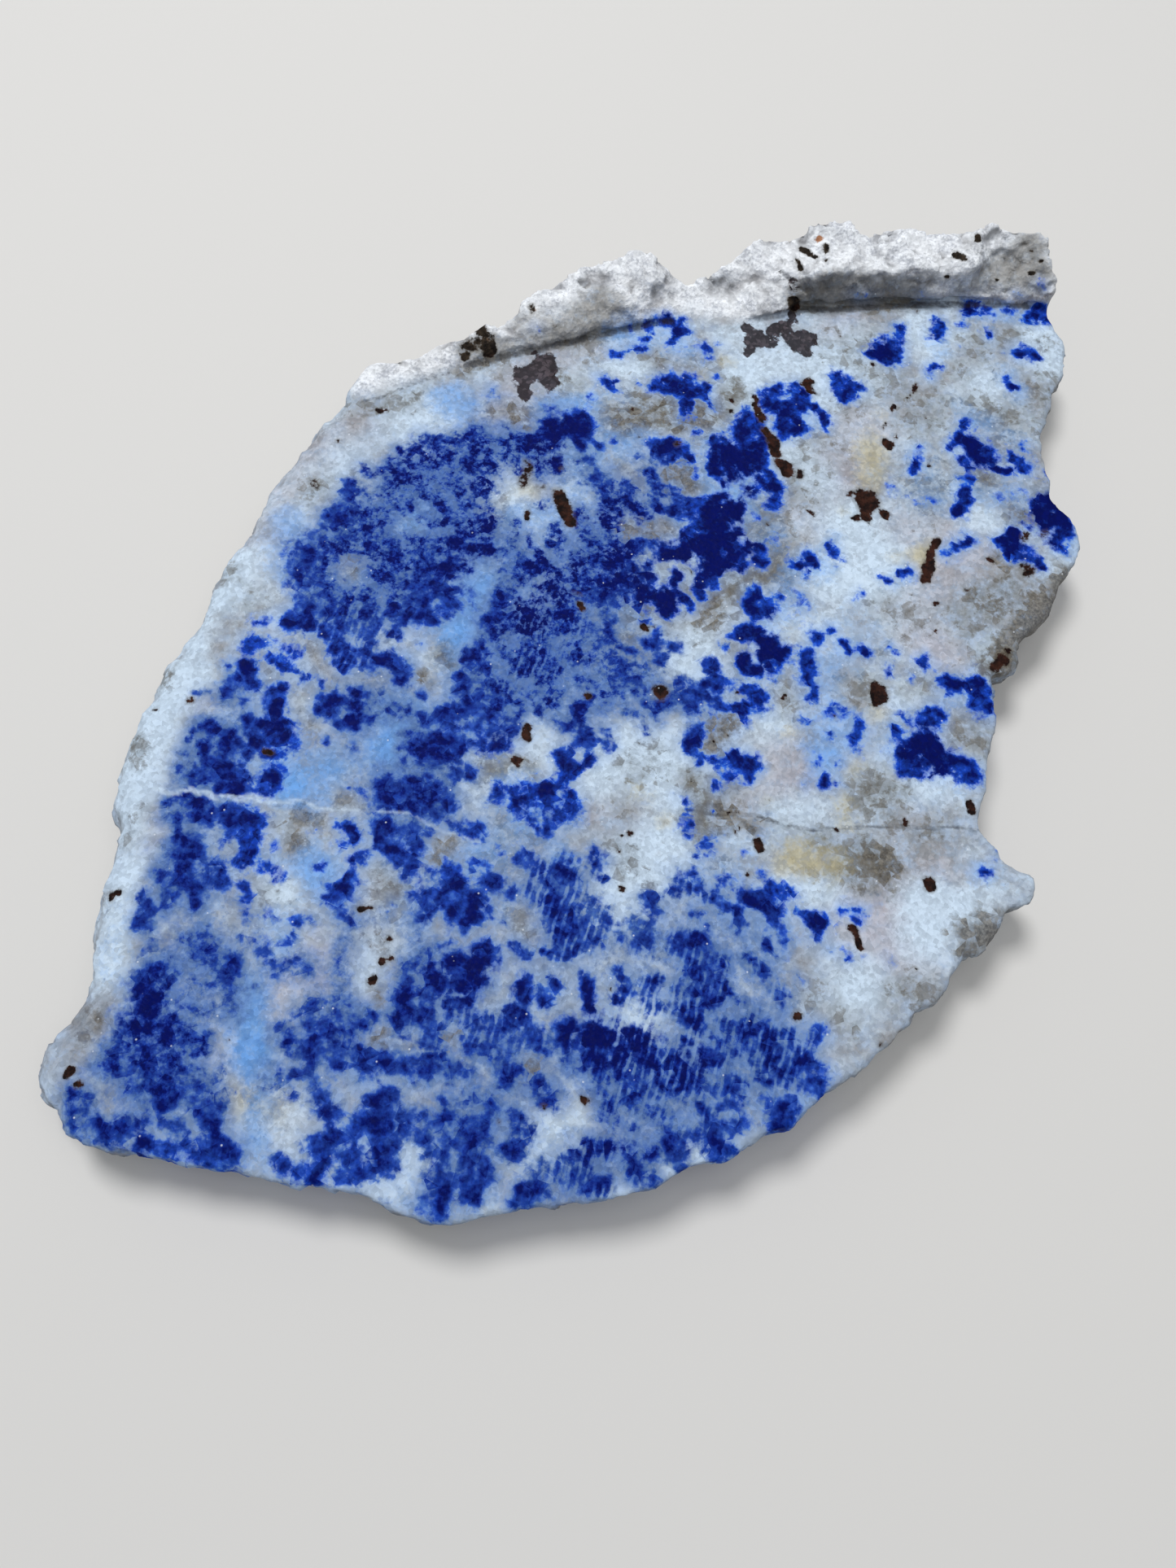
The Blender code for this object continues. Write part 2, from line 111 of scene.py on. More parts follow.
# The ledge from its right end to its left end. Each row is a section across it: the foot of the ledge on
# the sawn face (x, y), the crest at the back (x, y), where the upper front edge lies between them as a
# part of the width, and how high the front edge and the crest stand above the face
LEDGE = [
    (62.3, 122.7, 62.9, 123.9, 0.45, 2.3, 3.2),
    (61.2, 122.8, 62.6, 125.2, 0.38, 3.0, 4.6),
    (60.0, 122.9, 61.6, 127.2, 0.32, 3.0, 5.4),
    (58.6, 122.9, 60.5, 129.4, 0.28, 3.0, 6.3),
    (57.2, 122.9, 59.2, 130.5, 0.28, 3.0, 6.8),
    (55.8, 122.9, 57.6, 130.2, 0.25, 2.8, 7.0),
    (54.2, 122.9, 55.1, 130.6, 0.25, 2.8, 7.7),
    (52.6, 122.8, 52.8, 130.2, 0.25, 3.0, 8.0),
    (50.2, 122.7, 49.8, 129.3, 0.22, 4.2, 7.0),
    (47.6, 122.5, 47.2, 129.0, 0.20, 4.8, 6.4),
    (45.0, 122.3, 44.6, 129.2, 0.20, 4.9, 6.1),
    (40.4, 121.8, 39.6, 129.9, 0.18, 5.1, 6.5),
    (37.6, 121.4, 37.2, 129.6, 0.16, 5.2, 6.3),
    (35.2, 121.1, 34.6, 129.0, 0.15, 5.2, 5.8),
    (33.0, 120.9, 32.6, 129.9, 0.15, 5.3, 6.6),
    (29.4, 120.5, 28.2, 129.8, 0.14, 5.4, 6.8),
    (27.4, 120.1, 26.3, 128.8, 0.17, 5.2, 6.3),
    (26.4, 119.6, 25.2, 127.8, 0.32, 4.6, 6.0),
    (24.6, 118.5, 23.2, 127.8, 0.55, 3.4, 5.8),
    (22.4, 117.8, 21.3, 128.1, 0.60, 3.1, 5.5),
    (20.4, 117.3, 19.4, 127.6, 0.60, 2.7, 5.0),
    (18.6, 117.0, 17.8, 126.2, 0.60, 2.1, 4.3),
    (15.6, 117.0, 15.2, 123.6, 0.60, 1.2, 3.1),
    (12.8, 117.2, 12.2, 123.0, 0.60, 0.8, 2.1),
    (10.8, 117.2, 10.3, 121.9, 0.60, 0.6, 1.4),
    (9.2, 116.9, 8.8, 122.6, 0.50, 1.2, 2.4),
    (7.6, 116.5, 7.3, 122.9, 0.40, 2.0, 3.4),
    (5.6, 116.0, 5.6, 124.0, 0.32, 2.5, 4.4),
    (2.6, 115.1, 3.0, 123.9, 0.30, 2.7, 4.6),
    (-2.2, 113.3, -2.0, 122.4, 0.28, 2.9, 4.2),
    (-6.0, 111.7, -6.4, 120.7, 0.26, 2.7, 3.8),
    (-9.4, 110.6, -9.6, 118.0, 0.28, 2.4, 3.3),
    (-11.6, 110.0, -12.2, 116.3, 0.30, 2.2, 3.0),
    (-15.4, 108.8, -15.3, 112.6, 0.40, 1.9, 2.3),
    (-17.4, 108.1, -17.8, 112.0, 0.40, 2.1, 2.8),
    (-19.2, 107.3, -19.8, 110.8, 0.40, 1.9, 2.4),
    (-22.2, 105.9, -23.4, 109.5, 0.40, 1.3, 1.8),
    (-26.2, 103.9, -27.4, 106.6, 0.40, 0.9, 1.5),
    (-31.0, 101.2, -32.7, 105.7, 0.30, 0.7, 1.3),
    (-33.4, 100.2, -34.6, 103.4, 0.30, 0.5, 0.9),
    (-34.9, 99.9, -35.7, 101.4, 0.30, 0.3, 0.5),
]

# Hollows and knobs in the ledge and the rim, as (x, y, z, reach, depth); a knob has a negative depth
HOLLOWS = [
    (-18.6, 110.2, 11.5, 2.3, 1.0), (36.0, 121.8, 12.5, 3.2, 0.9), (27.6, 124.0, 14.6, 1.8, 0.7),
    (55.5, 127.0, 14.5, 3.4, 1.3), (49.8, 125.0, 14.2, 2.0, -0.8), (43.5, 123.6, 14.2, 2.2, -0.7),
    (57.5, 123.6, 11.6, 2.0, -0.6), (3.4, 121.0, 13.4, 2.6, -0.6), (-3.0, 115.6, 12.0, 2.4, 0.6),
    (47.2, 43.4, 8.0, 2.0, 0.5), (50.2, 63.2, 8.0, 2.0, 0.5), (-56.0, 47.5, 6.0, 2.0, 0.6),
    (-54.8, 19.0, 6.5, 1.8, 0.5), (-46.8, 79.0, 6.0, 1.8, 0.5),
]

# Roughness of each kind of surface, as (size of the lumps, height of the lumps)
LEDGE_ROUGHNESS = [(6.0, 0.7), (3.0, 0.45), (1.6, 0.25)]
SIDE_ROUGHNESS = [(10.0, 0.9), (4.0, 0.55), (2.0, 0.3)]
RIM_ROUGHNESS = [(3.0, 0.2), (1.5, 0.12)]

# Cleavage facets, as (size of a facet, how far its tilt lifts its edges)
LEDGE_FACETS = (3.4, 0.8)
SIDE_FACETS = (5.0, 0.9)

# How far apart the tilts of neighbouring facets are drawn, and the start of all noise
FACET_SCATTER = 7.3
NOISE_SEED = 5

# The ledge's widths between which its roughness grows from none to full
SMOOTH_WIDTH = 1.0
ROUGH_WIDTH = 9.0

# Heights of the wall's rows as parts of the way from the underside to where the stone reaches furthest
# out, and how much of the rim's small notches each row keeps
WALL_ROWS = [0.0, 0.22, 0.48, 0.75, 1.0]
WALL_DETAIL = [0.25, 0.40, 0.60, 0.80, 0.95]
WALL_SMOOTHING = 9.0

# How far the shoulder between that height and the edge of the face swells out of the straight line
SHOULDER_SWELL = 0.45

# Rows up the front of the ledge and back over its top, as parts of each, and how each of the two bends
FRONT_ROWS = [0.33, 0.70, 1.0]
TOP_ROWS = [0.2, 0.4, 0.6, 0.8]
FRONT_HOLLOW = 1.4
TOP_SWELL = 0.8

# The saw kerf under the ledge: the front height at which it is cut to its full depth, the most of the
# ledge's width or height that it takes, and where the lip over it lies as a part of the width
KERF_FULL_HEIGHT = 5.0
KERF_WIDEST = 0.3
LIP = 0.02

# Distances over which the side shapes blend into each other and over which outward directions are averaged
SHAPE_BLEND = 4.0
DIRECTION_BLEND = 3.0

# Steps between two points of a list when a curve is drawn through them
CURVE_STEPS = 20

# How much of its roughness each row of the wall keeps where the fine stone is crumbled on top of it
SIDE_CALM = [1.0, 1.0, 1.0, 0.9, 0.7, 0.6, 0.6]

# Crumbs and crystal faces finer than the solid model's, as (size, height)
LEDGE_CRUMBS = [(3.2, 0.6), (1.3, 0.3)]
SIDE_CRUMBS = [(2.0, 0.2), (0.9, 0.14)]
LEDGE_CRYSTALS = (1.7, 0.8)
SIDE_CRYSTALS = (2.4, 0.6)

# The distance from the flat faces over which they grow to their full height, and the hollow depth
# at which the painted shade in the hollows is darkest
CRUMB_FADE = 0.9
HOLLOW_DEPTH = 0.35

# The camera stood this high over the table, so what stands above the sawn face is marked where it is
# seen against the face
CAMERA_HEIGHT = 131.6

# The markings. Each stroke is (strength, half width, x, y, x, y, ...) in plan millimetres, from its first
# point to its last; a stroke with one point is a round spot

# Blue grains, from a pale 0.3 to a navy 1.0
BLUE = [
    (0.85, 1.2, -16.2, 16.2, -15.4, 15.4), (0.8, 1.2, -26.6, 2.8, -26.4, 1.6),
    (0.8, 1.1, -15.9, 4.3, -15, 3), (0.8, 1.2, 8, 21.2, 8.5, 20), (0.8, 1.2, -22.4, 1.3, -21.2, 0.7),
    # near left corner
    (0.8, 1.1, -47, 34, -47, 31.5, -47.5, 28.5), (0.6, 1, -45.5, 33.5, -43.5, 32.5),
    (0.85, 0.8, -44.3, 30.2, -44.5, 28.5), (0.8, 0.8, -43, 31.8, -41.5, 31),
    (0.7, 0.8, -40, 33.9, -38.5, 33.8), (0.9, 0.9, -49.6, 27.6, -49.7, 25.8),
    (0.7, 0.7, -50.3, 28.5, -49.5, 27.5), (0.4, 0.6, -49.2, 24.8, -48.3, 23),
    (0.55, 0.7, -37, 33, -35.3, 32), (0.6, 0.5, -39, 30.5, -38.3, 30.3),
    (0.6, 0.5, -39.2, 29.2, -38.4, 29.4), (0.5, 1, -37.5, 27.5, -35.5, 27),
    (0.65, 0.6, -32.8, 27.2, -32, 26.8), (0.6, 0.35, -30.8, 27), (0.6, 0.4, -32.5, 25.4),
    (0.45, 1, -36.5, 24.8, -35.3, 22.7), (0.6, 0.5, -33.3, 24.2),
    (0.6, 0.9, -34, 22, -31.5, 22.3, -30.6, 21.6), (0.8, 1.2, -43.8, 24, -42, 23.5, -42.8, 22),
    (0.85, 1.2, -40.5, 21.5, -39.3, 22.3, -39.6, 20.6), (0.6, 0.5, -38.7, 24.7), (0.6, 0.5, -42.5, 25.4),
    (0.85, 1.5, -47.5, 20, -46, 20.5, -48.5, 18.8, -46.5, 18.5, -47.3, 16.7),
    (0.6, 1, -44.8, 17.5, -43, 17.2, -41, 16.3), (0.5, 0.8, -42.5, 19, -40, 19.3),
    (0.6, 1, -38.3, 19, -38.3, 17), (0.4, 0.5, -36, 19.3),
    (0.85, 1.4, -48.8, 14, -46, 14.2, -44, 14.3, -42.8, 13), (0.85, 0.5, -40.8, 13.7, -41, 12.3),
    (0.9, 0.9, -49.4, 12, -50.8, 9.8), (0.85, 1.2, -47, 11.8, -45, 11),
    (0.95, 1.5, -44.3, 11, -44, 8.5, -43.8, 7), (0.85, 0.8, -42.5, 9.9, -41, 10.3),
    (0.85, 1.8, -49, 10.2, -46.8, 8.6, -46.5, 10), (0.85, 0.8, -42, 7.5, -41, 8),
    (0.8, 1.1, -53.3, 6.3, -52.3, 5.5, -53, 4), (0.85, 1, -52.5, 4.2, -50.5, 4),
    (0.7, 1.2, -50, 3, -47, 3.8, -45.5, 4.8), (0.55, 0.8, -52, 2.6, -48, 2),
    (0.8, 1, -45, 1.8, -42, 1.2, -38, 1, -36, 1.2), (0.85, 0.7, -43.3, 4.4, -41.3, 3.9),
    (0.7, 0.9, -42.5, 2, -40, 2.3), (0.85, 1.2, -40, 7, -38.5, 5.8, -38.2, 4),
    (0.95, 0.7, -38, 3.3, -36.8, 2.5), (0.8, 1, -38.3, 2, -36, 1.3),
    (0.55, 0.8, -38.5, 10.5, -38.8, 9, -37.9, 8), (0.5, 0.8, -41, 10.5, -40.8, 9.3),
    (0.55, 1, -33, 9.5, -31, 8.8, -30.3, 8.2), (0.9, 0.5, -30.5, 10, -29.9, 9.8),
    (0.8, 1.6, -29.5, 16.5, -28, 14.5, -29, 12.5), (0.95, 0.9, -28.3, 14, -29, 12.6),
    (0.7, 0.8, -32, 14.5, -31, 13.5), (0.7, 1.4, -26, 17.3, -25, 15, -26.3, 12),
    (0.85, 0.7, -26.5, 12, -25.7, 11.3), (0.85, 0.8, -25, 16.8, -23.5, 16.3, -22.8, 16.8),
    (0.8, 1.1, -24.3, 13.2, -23.5, 12, -23, 10.8), (0.7, 1, -29, 10.5, -28.5, 9.3, -27, 8, -25.8, 6.3),
    (0.8, 1, -22, 12, -20.5, 12.3), (0.8, 1.2, -25.5, 4, -23.5, 3.5, -22, 5.5, -20, 6),
    (0.6, 1.2, -24.5, 2.5, -22.5, 2.5), (0.7, 0.8, -21.5, 8, -19.3, 8.3),
    (0.8, 0.9, -30.5, 0.7, -28.5, 0, -27, 0.3), (0.75, 0.8, -23.5, -0.3, -22.3, -0.8),
    (0.5, 0.7, -26.5, 0.4, -25.5, -0.5), (0.95, 1, -27.2, 32, -28.3, 30.5),
    (0.6, 0.8, -29, 30.8, -27.5, 28.3), (0.6, 0.6, -26.3, 27.3, -25.7, 27.6),
    (0.45, 0.9, -26.5, 24.5, -27, 22.5, -26.8, 20.5, -26.2, 18.8), (0.6, 0.3, -22.5, 28.3),
    (0.6, 0.3, -21.7, 29.8), (0.7, 0.7, -19, 31, -18.4, 30.7), (0.6, 0.8, -18.8, 28.6, -18.5, 27),
    (0.5, 0.5, -18.8, 25.8),
    # near middle
    (0.75, 0.9, -19.3, 30.8, -17.2, 31), (0.9, 0.6, -17.6, 29.5, -18.3, 27.8), (0.6, 0.5, -18.7, 27.2),
    (0.5, 1, -20, 33, -19, 32.5), (0.75, 0.9, -15.8, 33.5, -14.5, 32.5, -16, 31),
    (0.95, 0.8, -12.6, 31, -13, 29.5, -13.3, 28), (0.8, 0.9, -14.3, 29, -12, 28.7), (0.7, 0.5, -12.2, 31.5),
    (0.8, 0.7, -10, 33.3, -9.5, 32.3), (0.6, 0.4, -11, 29.8, -10.8, 29.3),
    (0.8, 0.35, -8, 31.8, -7.8, 31.6), (0.7, 0.2, -10.3, 28.4), (0.7, 0.2, -9, 28.3),
    (0.85, 1.6, -4, 33.5, -2.5, 32, -3, 29.5, -1.5, 28, -1, 26.5), (0.9, 1.5, -2, 30, -1, 27.5),
    (0.85, 1.2, -1, 33, -0.5, 31), (0.7, 1.2, -4.5, 33, -4, 31), (0.9, 0.7, -3.5, 24.9, -1.5, 24.4),
    (0.85, 1.3, 0.8, 31, 1.8, 30.3, 2.5, 29), (0.85, 1.2, 1, 28.5, 2, 27.2, 0.8, 26.5),
    (0.7, 0.5, 4.2, 28.8), (0.85, 0.5, 4.1, 27.3), (0.6, 0.3, 3.2, 26.4), (0.7, 0.4, 5.2, 29.5),
    (0.85, 0.9, 7.3, 31.2, 8.6, 31.6), (0.85, 1.2, 6.3, 29, 7.3, 28.3, 8, 27, 6.8, 26.8),
    (0.8, 0.6, 10.2, 33, 11.3, 33.5, 13, 33.8), (0.75, 0.5, 12.8, 30.8, 13.3, 30.3), (0.6, 0.3, 14.5, 29.2),
    (0.6, 0.3, 14.7, 31.7), (0.85, 0.6, 15.7, 31.5), (0.85, 1.1, 10.7, 27.3, 11, 26.2),
    (0.9, 1.2, 13.5, 26.5, 12.5, 25.5, 14.5, 25.3, 15.5, 24.8),
    (0.9, 1.2, -14, 22.8, -12, 22.5, -11, 24, -10.8, 24.5), (0.95, 0.9, -14.2, 20.8, -12, 20.8, -11, 21.5),
    (0.8, 0.7, -9.6, 24.5, -9.2, 24), (0.6, 0.4, -18.5, 25.4), (0.6, 0.4, -16.3, 25),
    (0.6, 0.4, -15.2, 25.2), (0.8, 0.4, -7.6, 25.6), (0.8, 0.5, -6.8, 25, -5.8, 24.6),
    (0.85, 0.7, -17.2, 24, -16.7, 23), (0.6, 0.8, -19, 22.5, -17, 22.3),
    (0.95, 1.2, -15.8, 21.3, -16.6, 19, -16.8, 16.8), (0.9, 1.2, -19.5, 20, -19.3, 18, -19.6, 16.5),
    (0.6, 0.8, -18, 20, -18, 17), (0.9, 0.5, -14.2, 18.6, -12.3, 18.6), (0.65, 1, -13.8, 17, -12.5, 16.5),
    (0.8, 1.2, -11.5, 17, -10, 16.5, -8.5, 16.5, -6.7, 17.3), (0.85, 0.9, -7, 17.8, -6.3, 17),
    (0.8, 1.2, -11, 14.5, -10, 13.8), (0.75, 1.3, -9, 15, -7, 14.5, -5, 15.2, -3.8, 14.6),
    (0.85, 0.9, -8, 13, -6.5, 12, -7, 11), (0.8, 0.6, -16.3, 14.6, -15.5, 14.3),
    (0.9, 1.1, -21.5, 12.2, -20.3, 12, -19, 11.5, -17.5, 11.5, -15.8, 11.3, -14.5, 12),
    (0.7, 0.8, -13, 11.6, -12, 11, -13, 10.5), (0.6, 0.8, -11, 8.5, -10.8, 9), (0.7, 0.3, -14, 8),
    (0.7, 0.3, -12.8, 8.3), (0.85, 0.9, -4.5, 11, -3.5, 10.5, -3, 9.3, -2.3, 8.8), (0.5, 0.3, -1.5, 8),
    (0.9, 0.9, -1.3, 16.5, -0.5, 16.8, -1.3, 14.8, 0, 14.5), (0.8, 0.5, -0.2, 13.6, -0.5, 12.8),
    (0.95, 1.5, 2, 15.5, 3.2, 15.3, 1.8, 13.5, 3, 13), (0.9, 0.6, 3.5, 16.4, 4.6, 16),
    (0.9, 1.3, 5, 15.5, 5.2, 13, 6, 11.5, 6.3, 9.8), (0.9, 1.2, 6.5, 16, 7, 14, 7.5, 12, 7.4, 11),
    (0.85, 1.3, 8.5, 16, 8.8, 14, 9, 12, 9.2, 10.5), (0.95, 0.8, 7.5, 11.5),
    (0.75, 0.9, 3, 10.8, 3.3, 9.5, 4.3, 8.3), (0.6, 0.5, 5.2, 7.3, 5.5, 6.8, 5, 6.3),
    (0.85, 1.3, 11.3, 13.3, 12.5, 12.8, 11.3, 11.3, 13, 11.5), (0.8, 0.9, 14, 14.8, 15.3, 14.3),
    (0.8, 0.5, 11.8, 15.8, 12.2, 15.7), (0.6, 0.3, 10.3, 16), (0.85, 0.6, 15.5, 16.5),
    (0.7, 0.4, 15.2, 10.8), (0.9, 0.6, 14.3, 8.8, 14.7, 8.3), (0.6, 0.3, 12.5, 9.3),
    (0.7, 1, 8, 8, 9.5, 7.8, 10.3, 7.3), (0.7, 0.5, 7, 6.1), (0.85, 0.9, -18, 6, -17.8, 4.5),
    (0.6, 0.8, -16, 6, -14.5, 5.8), (0.95, 0.8, -13, 4.2, -13.2, 2, -13, 0, -13.3, -1.5, -13.3, -3),
    (0.65, 1.1, -14.5, 0, -13.8, -1.5, -14.5, -3), (0.9, 0.9, -10.2, 5, -10.3, 3, -10.8, 1, -10, -1),
    (0.8, 0.8, -9, 2, -8.5, 0.5, -8.8, 0), (0.8, 0.8, -11.5, 4, -11, 6),
    (0.75, 0.8, -13.5, 6.5, -12.5, 6.3), (0.9, 1, -9, 8.3, -8.3, 7.5), (0.85, 0.9, -9.3, 6.5, -9.5, 5.5),
    (0.95, 1.2, -6, 6.5, -5.5, 5.8, -5.3, 4.3, -6.3, 3.7), (0.8, 0.5, -7, 2.9),
    (0.9, 1, -2.8, 1.8, -2.9, 0.5, -3.6, -0.3, -4.3, -1.5), (0.8, 0.8, -0.9, 2.8, -0.6, 1.5),
    (0.9, 1.2, 1, 3, 1.7, 2, 1.5, 0.7, 3, 0.8, 4, 0.3), (0.85, 0.9, 2.5, 4.2, 4, 3.9),
    (0.85, 0.7, 6.7, 4.2, 6.5, 3, 7, 2), (0.8, 0.4, 7.3, 1.4), (0.8, 0.4, 8.9, 1.4, 9.1, 1.5),
    (0.85, 0.6, 8.3, 4, 9, 4.2), (0.85, 1, 10.7, 5.5, 11, 4.2), (0.85, 0.9, 12, 5.3, 12.3, 4.3, 12.3, 3),
    (0.8, 1.1, 12.5, 6.5, 14, 6, 15.5, 5.5, 15.7, 4.5), (0.5, 0.3, -18.5, -2.5), (0.5, 0.3, -19.5, -2.3),
    (0.7, 0.25, -1, -0.8), (0.7, 0.25, -1.8, -0.8), (0.9, 0.9, 0.9, 22, 1.2, 21, 1.3, 20),
    (0.8, 0.4, 1, 19.2, 1.8, 18.6), (0.8, 0.45, 2.9, 17.8),
    (0.85, 0.7, -5.5, 22, -6, 21, -6.3, 20, -6, 19.3),
    (0.9, 0.9, -3, 21.5, -2.6, 20.8, -4, 20.3, -3.2, 19.7), (0.9, 0.7, 5, 22.6, 6, 22, 5.5, 21.3),
    (0.8, 0.5, 4.4, 20, 4.8, 21), (0.8, 0.4, 4.8, 17.8), (0.95, 0.5, 9, 22.6, 8.8, 21.8),
    (0.85, 0.6, 11.3, 22.5, 12.5, 23.8), (0.75, 1.6, 12, 21.5, 14, 22, 15, 20.5),
    (0.9, 0.6, 14.8, 21, 15.3, 20.7), (0.85, 1.1, 10.5, 19.5, 12, 19, 13.5, 18.5), (0.7, 0.7, 13.3, 17.8),
    (0.95, 1.3, -20.5, 7.5, -20, 5, -19, 3, -19.3, 1.5),
    # near right corner
    (0.7, 0.5, 13.7, 38.8, 14.6, 39), (0.8, 0.35, 13.4, 37.1), (0.8, 0.3, 14.4, 37.3), (0.8, 0.6, 12.4, 34),
    (0.8, 0.4, 13.1, 33.4), (0.6, 0.8, 16.5, 34.2, 17.7, 34.3), (0.85, 0.3, 17.2, 33.8),
    (0.9, 0.7, 15.6, 32, 16.2, 31.3), (0.7, 0.3, 14.7, 31.6), (0.95, 0.5, 17.6, 31.2, 17.9, 30.3),
    (0.8, 0.5, 13, 30.5), (0.95, 0.9, 19.4, 32.4, 20.8, 32.6, 21.8, 33.5, 21.5, 32),
    (0.95, 1.1, 22.2, 31.2, 22.8, 32.5, 23.4, 32.8), (0.9, 1, 22.5, 30.8, 22.3, 29.9, 21.8, 30.2),
    (0.8, 0.5, 22, 34.3, 21.8, 33.8), (0.7, 0.2, 24.1, 33.6), (0.6, 0.2, 23.5, 34.5),
    (0.7, 0.8, 18, 29.5, 18.6, 28.8), (0.75, 0.3, 14.5, 29.2), (0.6, 0.2, 19.7, 28.4),
    (0.9, 0.35, 21.4, 27.7, 21.4, 26.9), (0.8, 0.4, 23.4, 29.3, 23.3, 28.5), (0.7, 0.3, 23.6, 27.4),
    (0.65, 0.25, 22.4, 26.2), (0.9, 1, 12.6, 26.3, 13.7, 26.8, 14.3, 26.5, 13.3, 25.5, 14.6, 25.3),
    (0.9, 0.6, 15.3, 25.3, 16, 24.5, 16.5, 24, 16.6, 25), (0.6, 0.2, 17.3, 25.3),
    (0.8, 0.3, 18.9, 25.4, 19.6, 25.2), (0.85, 0.5, 20.9, 24.7, 20.5, 23.9, 21.4, 24),
    (0.7, 0.8, 12.2, 24, 13.7, 23.8, 14.2, 23.5, 13, 22.8), (0.85, 0.7, 15.8, 23.2, 16.4, 22.3, 16.9, 21.5),
    (0.9, 0.9, 14.2, 21.5, 15, 21, 14.8, 20.2, 13.7, 20.8), (0.8, 0.3, 17.8, 20.6, 18.4, 20.6),
    (0.5, 0.7, 21.5, 22, 22.8, 22), (0.8, 0.25, 23.2, 21.5), (0.75, 0.4, 22.9, 20.6, 23.1, 19.9),
    (0.65, 0.2, 24.3, 21.7), (0.6, 0.25, 24.8, 23.5), (0.6, 0.15, 25.6, 22.9),
    (0.85, 1, 12.6, 19.5, 13.5, 18.8, 12.8, 18.2, 13.6, 17.7), (0.95, 0.6, 15.4, 16.5, 15.9, 16.2),
    (0.75, 1, 17.5, 18, 18.8, 18.3, 19, 17, 17.8, 17.2, 16.8, 17.6),
    (0.85, 0.9, 20, 19, 20.6, 18, 19.8, 17.5), (0.95, 0.7, 21.4, 18, 22, 17, 21.3, 16.5),
    (0.95, 0.6, 21.7, 16, 22, 14.5, 21.8, 13.8), (0.75, 0.9, 18.8, 16.3, 19.2, 15.3),
    (0.85, 1, 14.3, 14.7, 15.3, 14, 15.8, 14.8, 14.9, 13.5), (0.8, 0.5, 17.5, 14.8, 17.7, 14.2),
    (0.75, 0.4, 16.5, 14.6), (0.75, 0.7, 19.3, 14.6, 20.4, 14.2),
    (0.75, 0.7, 23.3, 17.3, 24.2, 17, 23.5, 16.5), (0.85, 0.8, 24.7, 15.7, 25, 14.8),
    (0.7, 0.9, 26.9, 17.7, 26.3, 16.8, 25.9, 15.8), (0.95, 1, 22.8, 14.8, 23.6, 13.8, 23.3, 13, 24.5, 14.2),
    (0.85, 1, 25.5, 14.2, 26.3, 13.6, 27, 13, 26, 12.7), (0.85, 0.7, 26.7, 11.9, 27.2, 11.2),
    (0.6, 0.7, 25.3, 12.3, 25.7, 11.4), (0.8, 0.7, 20.5, 12.8, 21, 12), (0.6, 0.6, 21.5, 12),
    (0.85, 1.2, 12.4, 13, 13.2, 12.4, 12.6, 11.5, 13.6, 11.6), (0.8, 0.6, 15.4, 10.9),
    (0.85, 0.8, 17, 11.8, 18, 11.5, 18.5, 11), (0.5, 0.5, 12.4, 9.2), (0.85, 0.6, 14, 9, 14.7, 8.4),
    (0.85, 0.4, 16.2, 9.1), (0.65, 0.7, 17.5, 10, 18, 8.8), (0.6, 0.8, 17.8, 7.8),
    (0.8, 0.7, 15, 7, 16, 7.1, 17, 7, 18, 7.2), (0.9, 1, 21.8, 9.3, 23, 9.5, 24, 9.8, 23.2, 8.5, 22.4, 8.2),
    (0.9, 0.6, 24.3, 10), (0.85, 0.7, 21.9, 7.4, 22.8, 7.1), (0.7, 1.2, 12.5, 6.3, 13.8, 6, 14.8, 5.8),
    (0.85, 1, 15, 5, 16.2, 4.8, 17, 4.5, 15.8, 4), (0.85, 0.7, 12.3, 3.4), (0.9, 0.3, 25.2, 31.2, 26, 30.9),
    (0.9, 0.5, 26.6, 30.5, 27.2, 29.8, 27.6, 29.4, 28, 30.4), (0.65, 0.6, 26.8, 28.5, 27.4, 28, 27.8, 28.4),
    (0.95, 0.35, 30.1, 31.8, 31, 31.8, 31.8, 31.9), (0.75, 0.4, 31.3, 31, 31.7, 30.5),
    (0.7, 0.25, 28.8, 26.7), (0.7, 0.3, 30.4, 26.6, 30.3, 26.2), (0.35, 0.3, 32, 26.1),
    (0.4, 0.35, 35.3, 26.3), (0.4, 0.35, 20.8, 35.5), (0.35, 0.3, 19.1, 37.6),
    (0.85, 0.5, 46.5, 36.7, 47.4, 37.3), (0.3, 0.7, 48.3, 39.6),
    # left middle, up to the crack
    (0.85, 0.8, -39.2, 65.6, -37.5, 65.5, -36, 65.5, -35, 66.3),
    (0.5, 0.5, -43, 65, -41.8, 65.3, -40.8, 65.5), (0.6, 0.8, -36.6, 67, -36, 67, -35, 66.5),
    (0.7, 1.4, -34, 67, -32, 67.5, -31, 66.5, -33, 66),
    (0.95, 1.2, -33, 65.5, -32.8, 63.5, -32.3, 62, -31.2, 60.8, -30.8, 60.3),
    (0.8, 0.9, -34.5, 64.5, -33.8, 63.6), (0.85, 0.6, -31.4, 59.7, -30.7, 59.2),
    (0.85, 0.9, -29.5, 61.5, -28.5, 61.2, -28.3, 60.3), (0.95, 0.9, -31, 61),
    (0.7, 0.8, -29.2, 65, -28.8, 63.5, -28.5, 62.8), (0.85, 1.1, -29.5, 67, -29, 66.5),
    (0.85, 0.5, -27.8, 65.7), (0.95, 0.55, -25.5, 65.3, -25.5, 64.6),
    (0.85, 1, -26, 67.5, -25, 67, -24.5, 66.3), (0.85, 0.6, -21.8, 67.2, -21.5, 66.5),
    (0.8, 0.2, -22, 63.4), (0.95, 1.2, -27, 60.5, -25.8, 60.5, -25, 60.3, -24.2, 60, -24.1, 59, -24, 58.2),
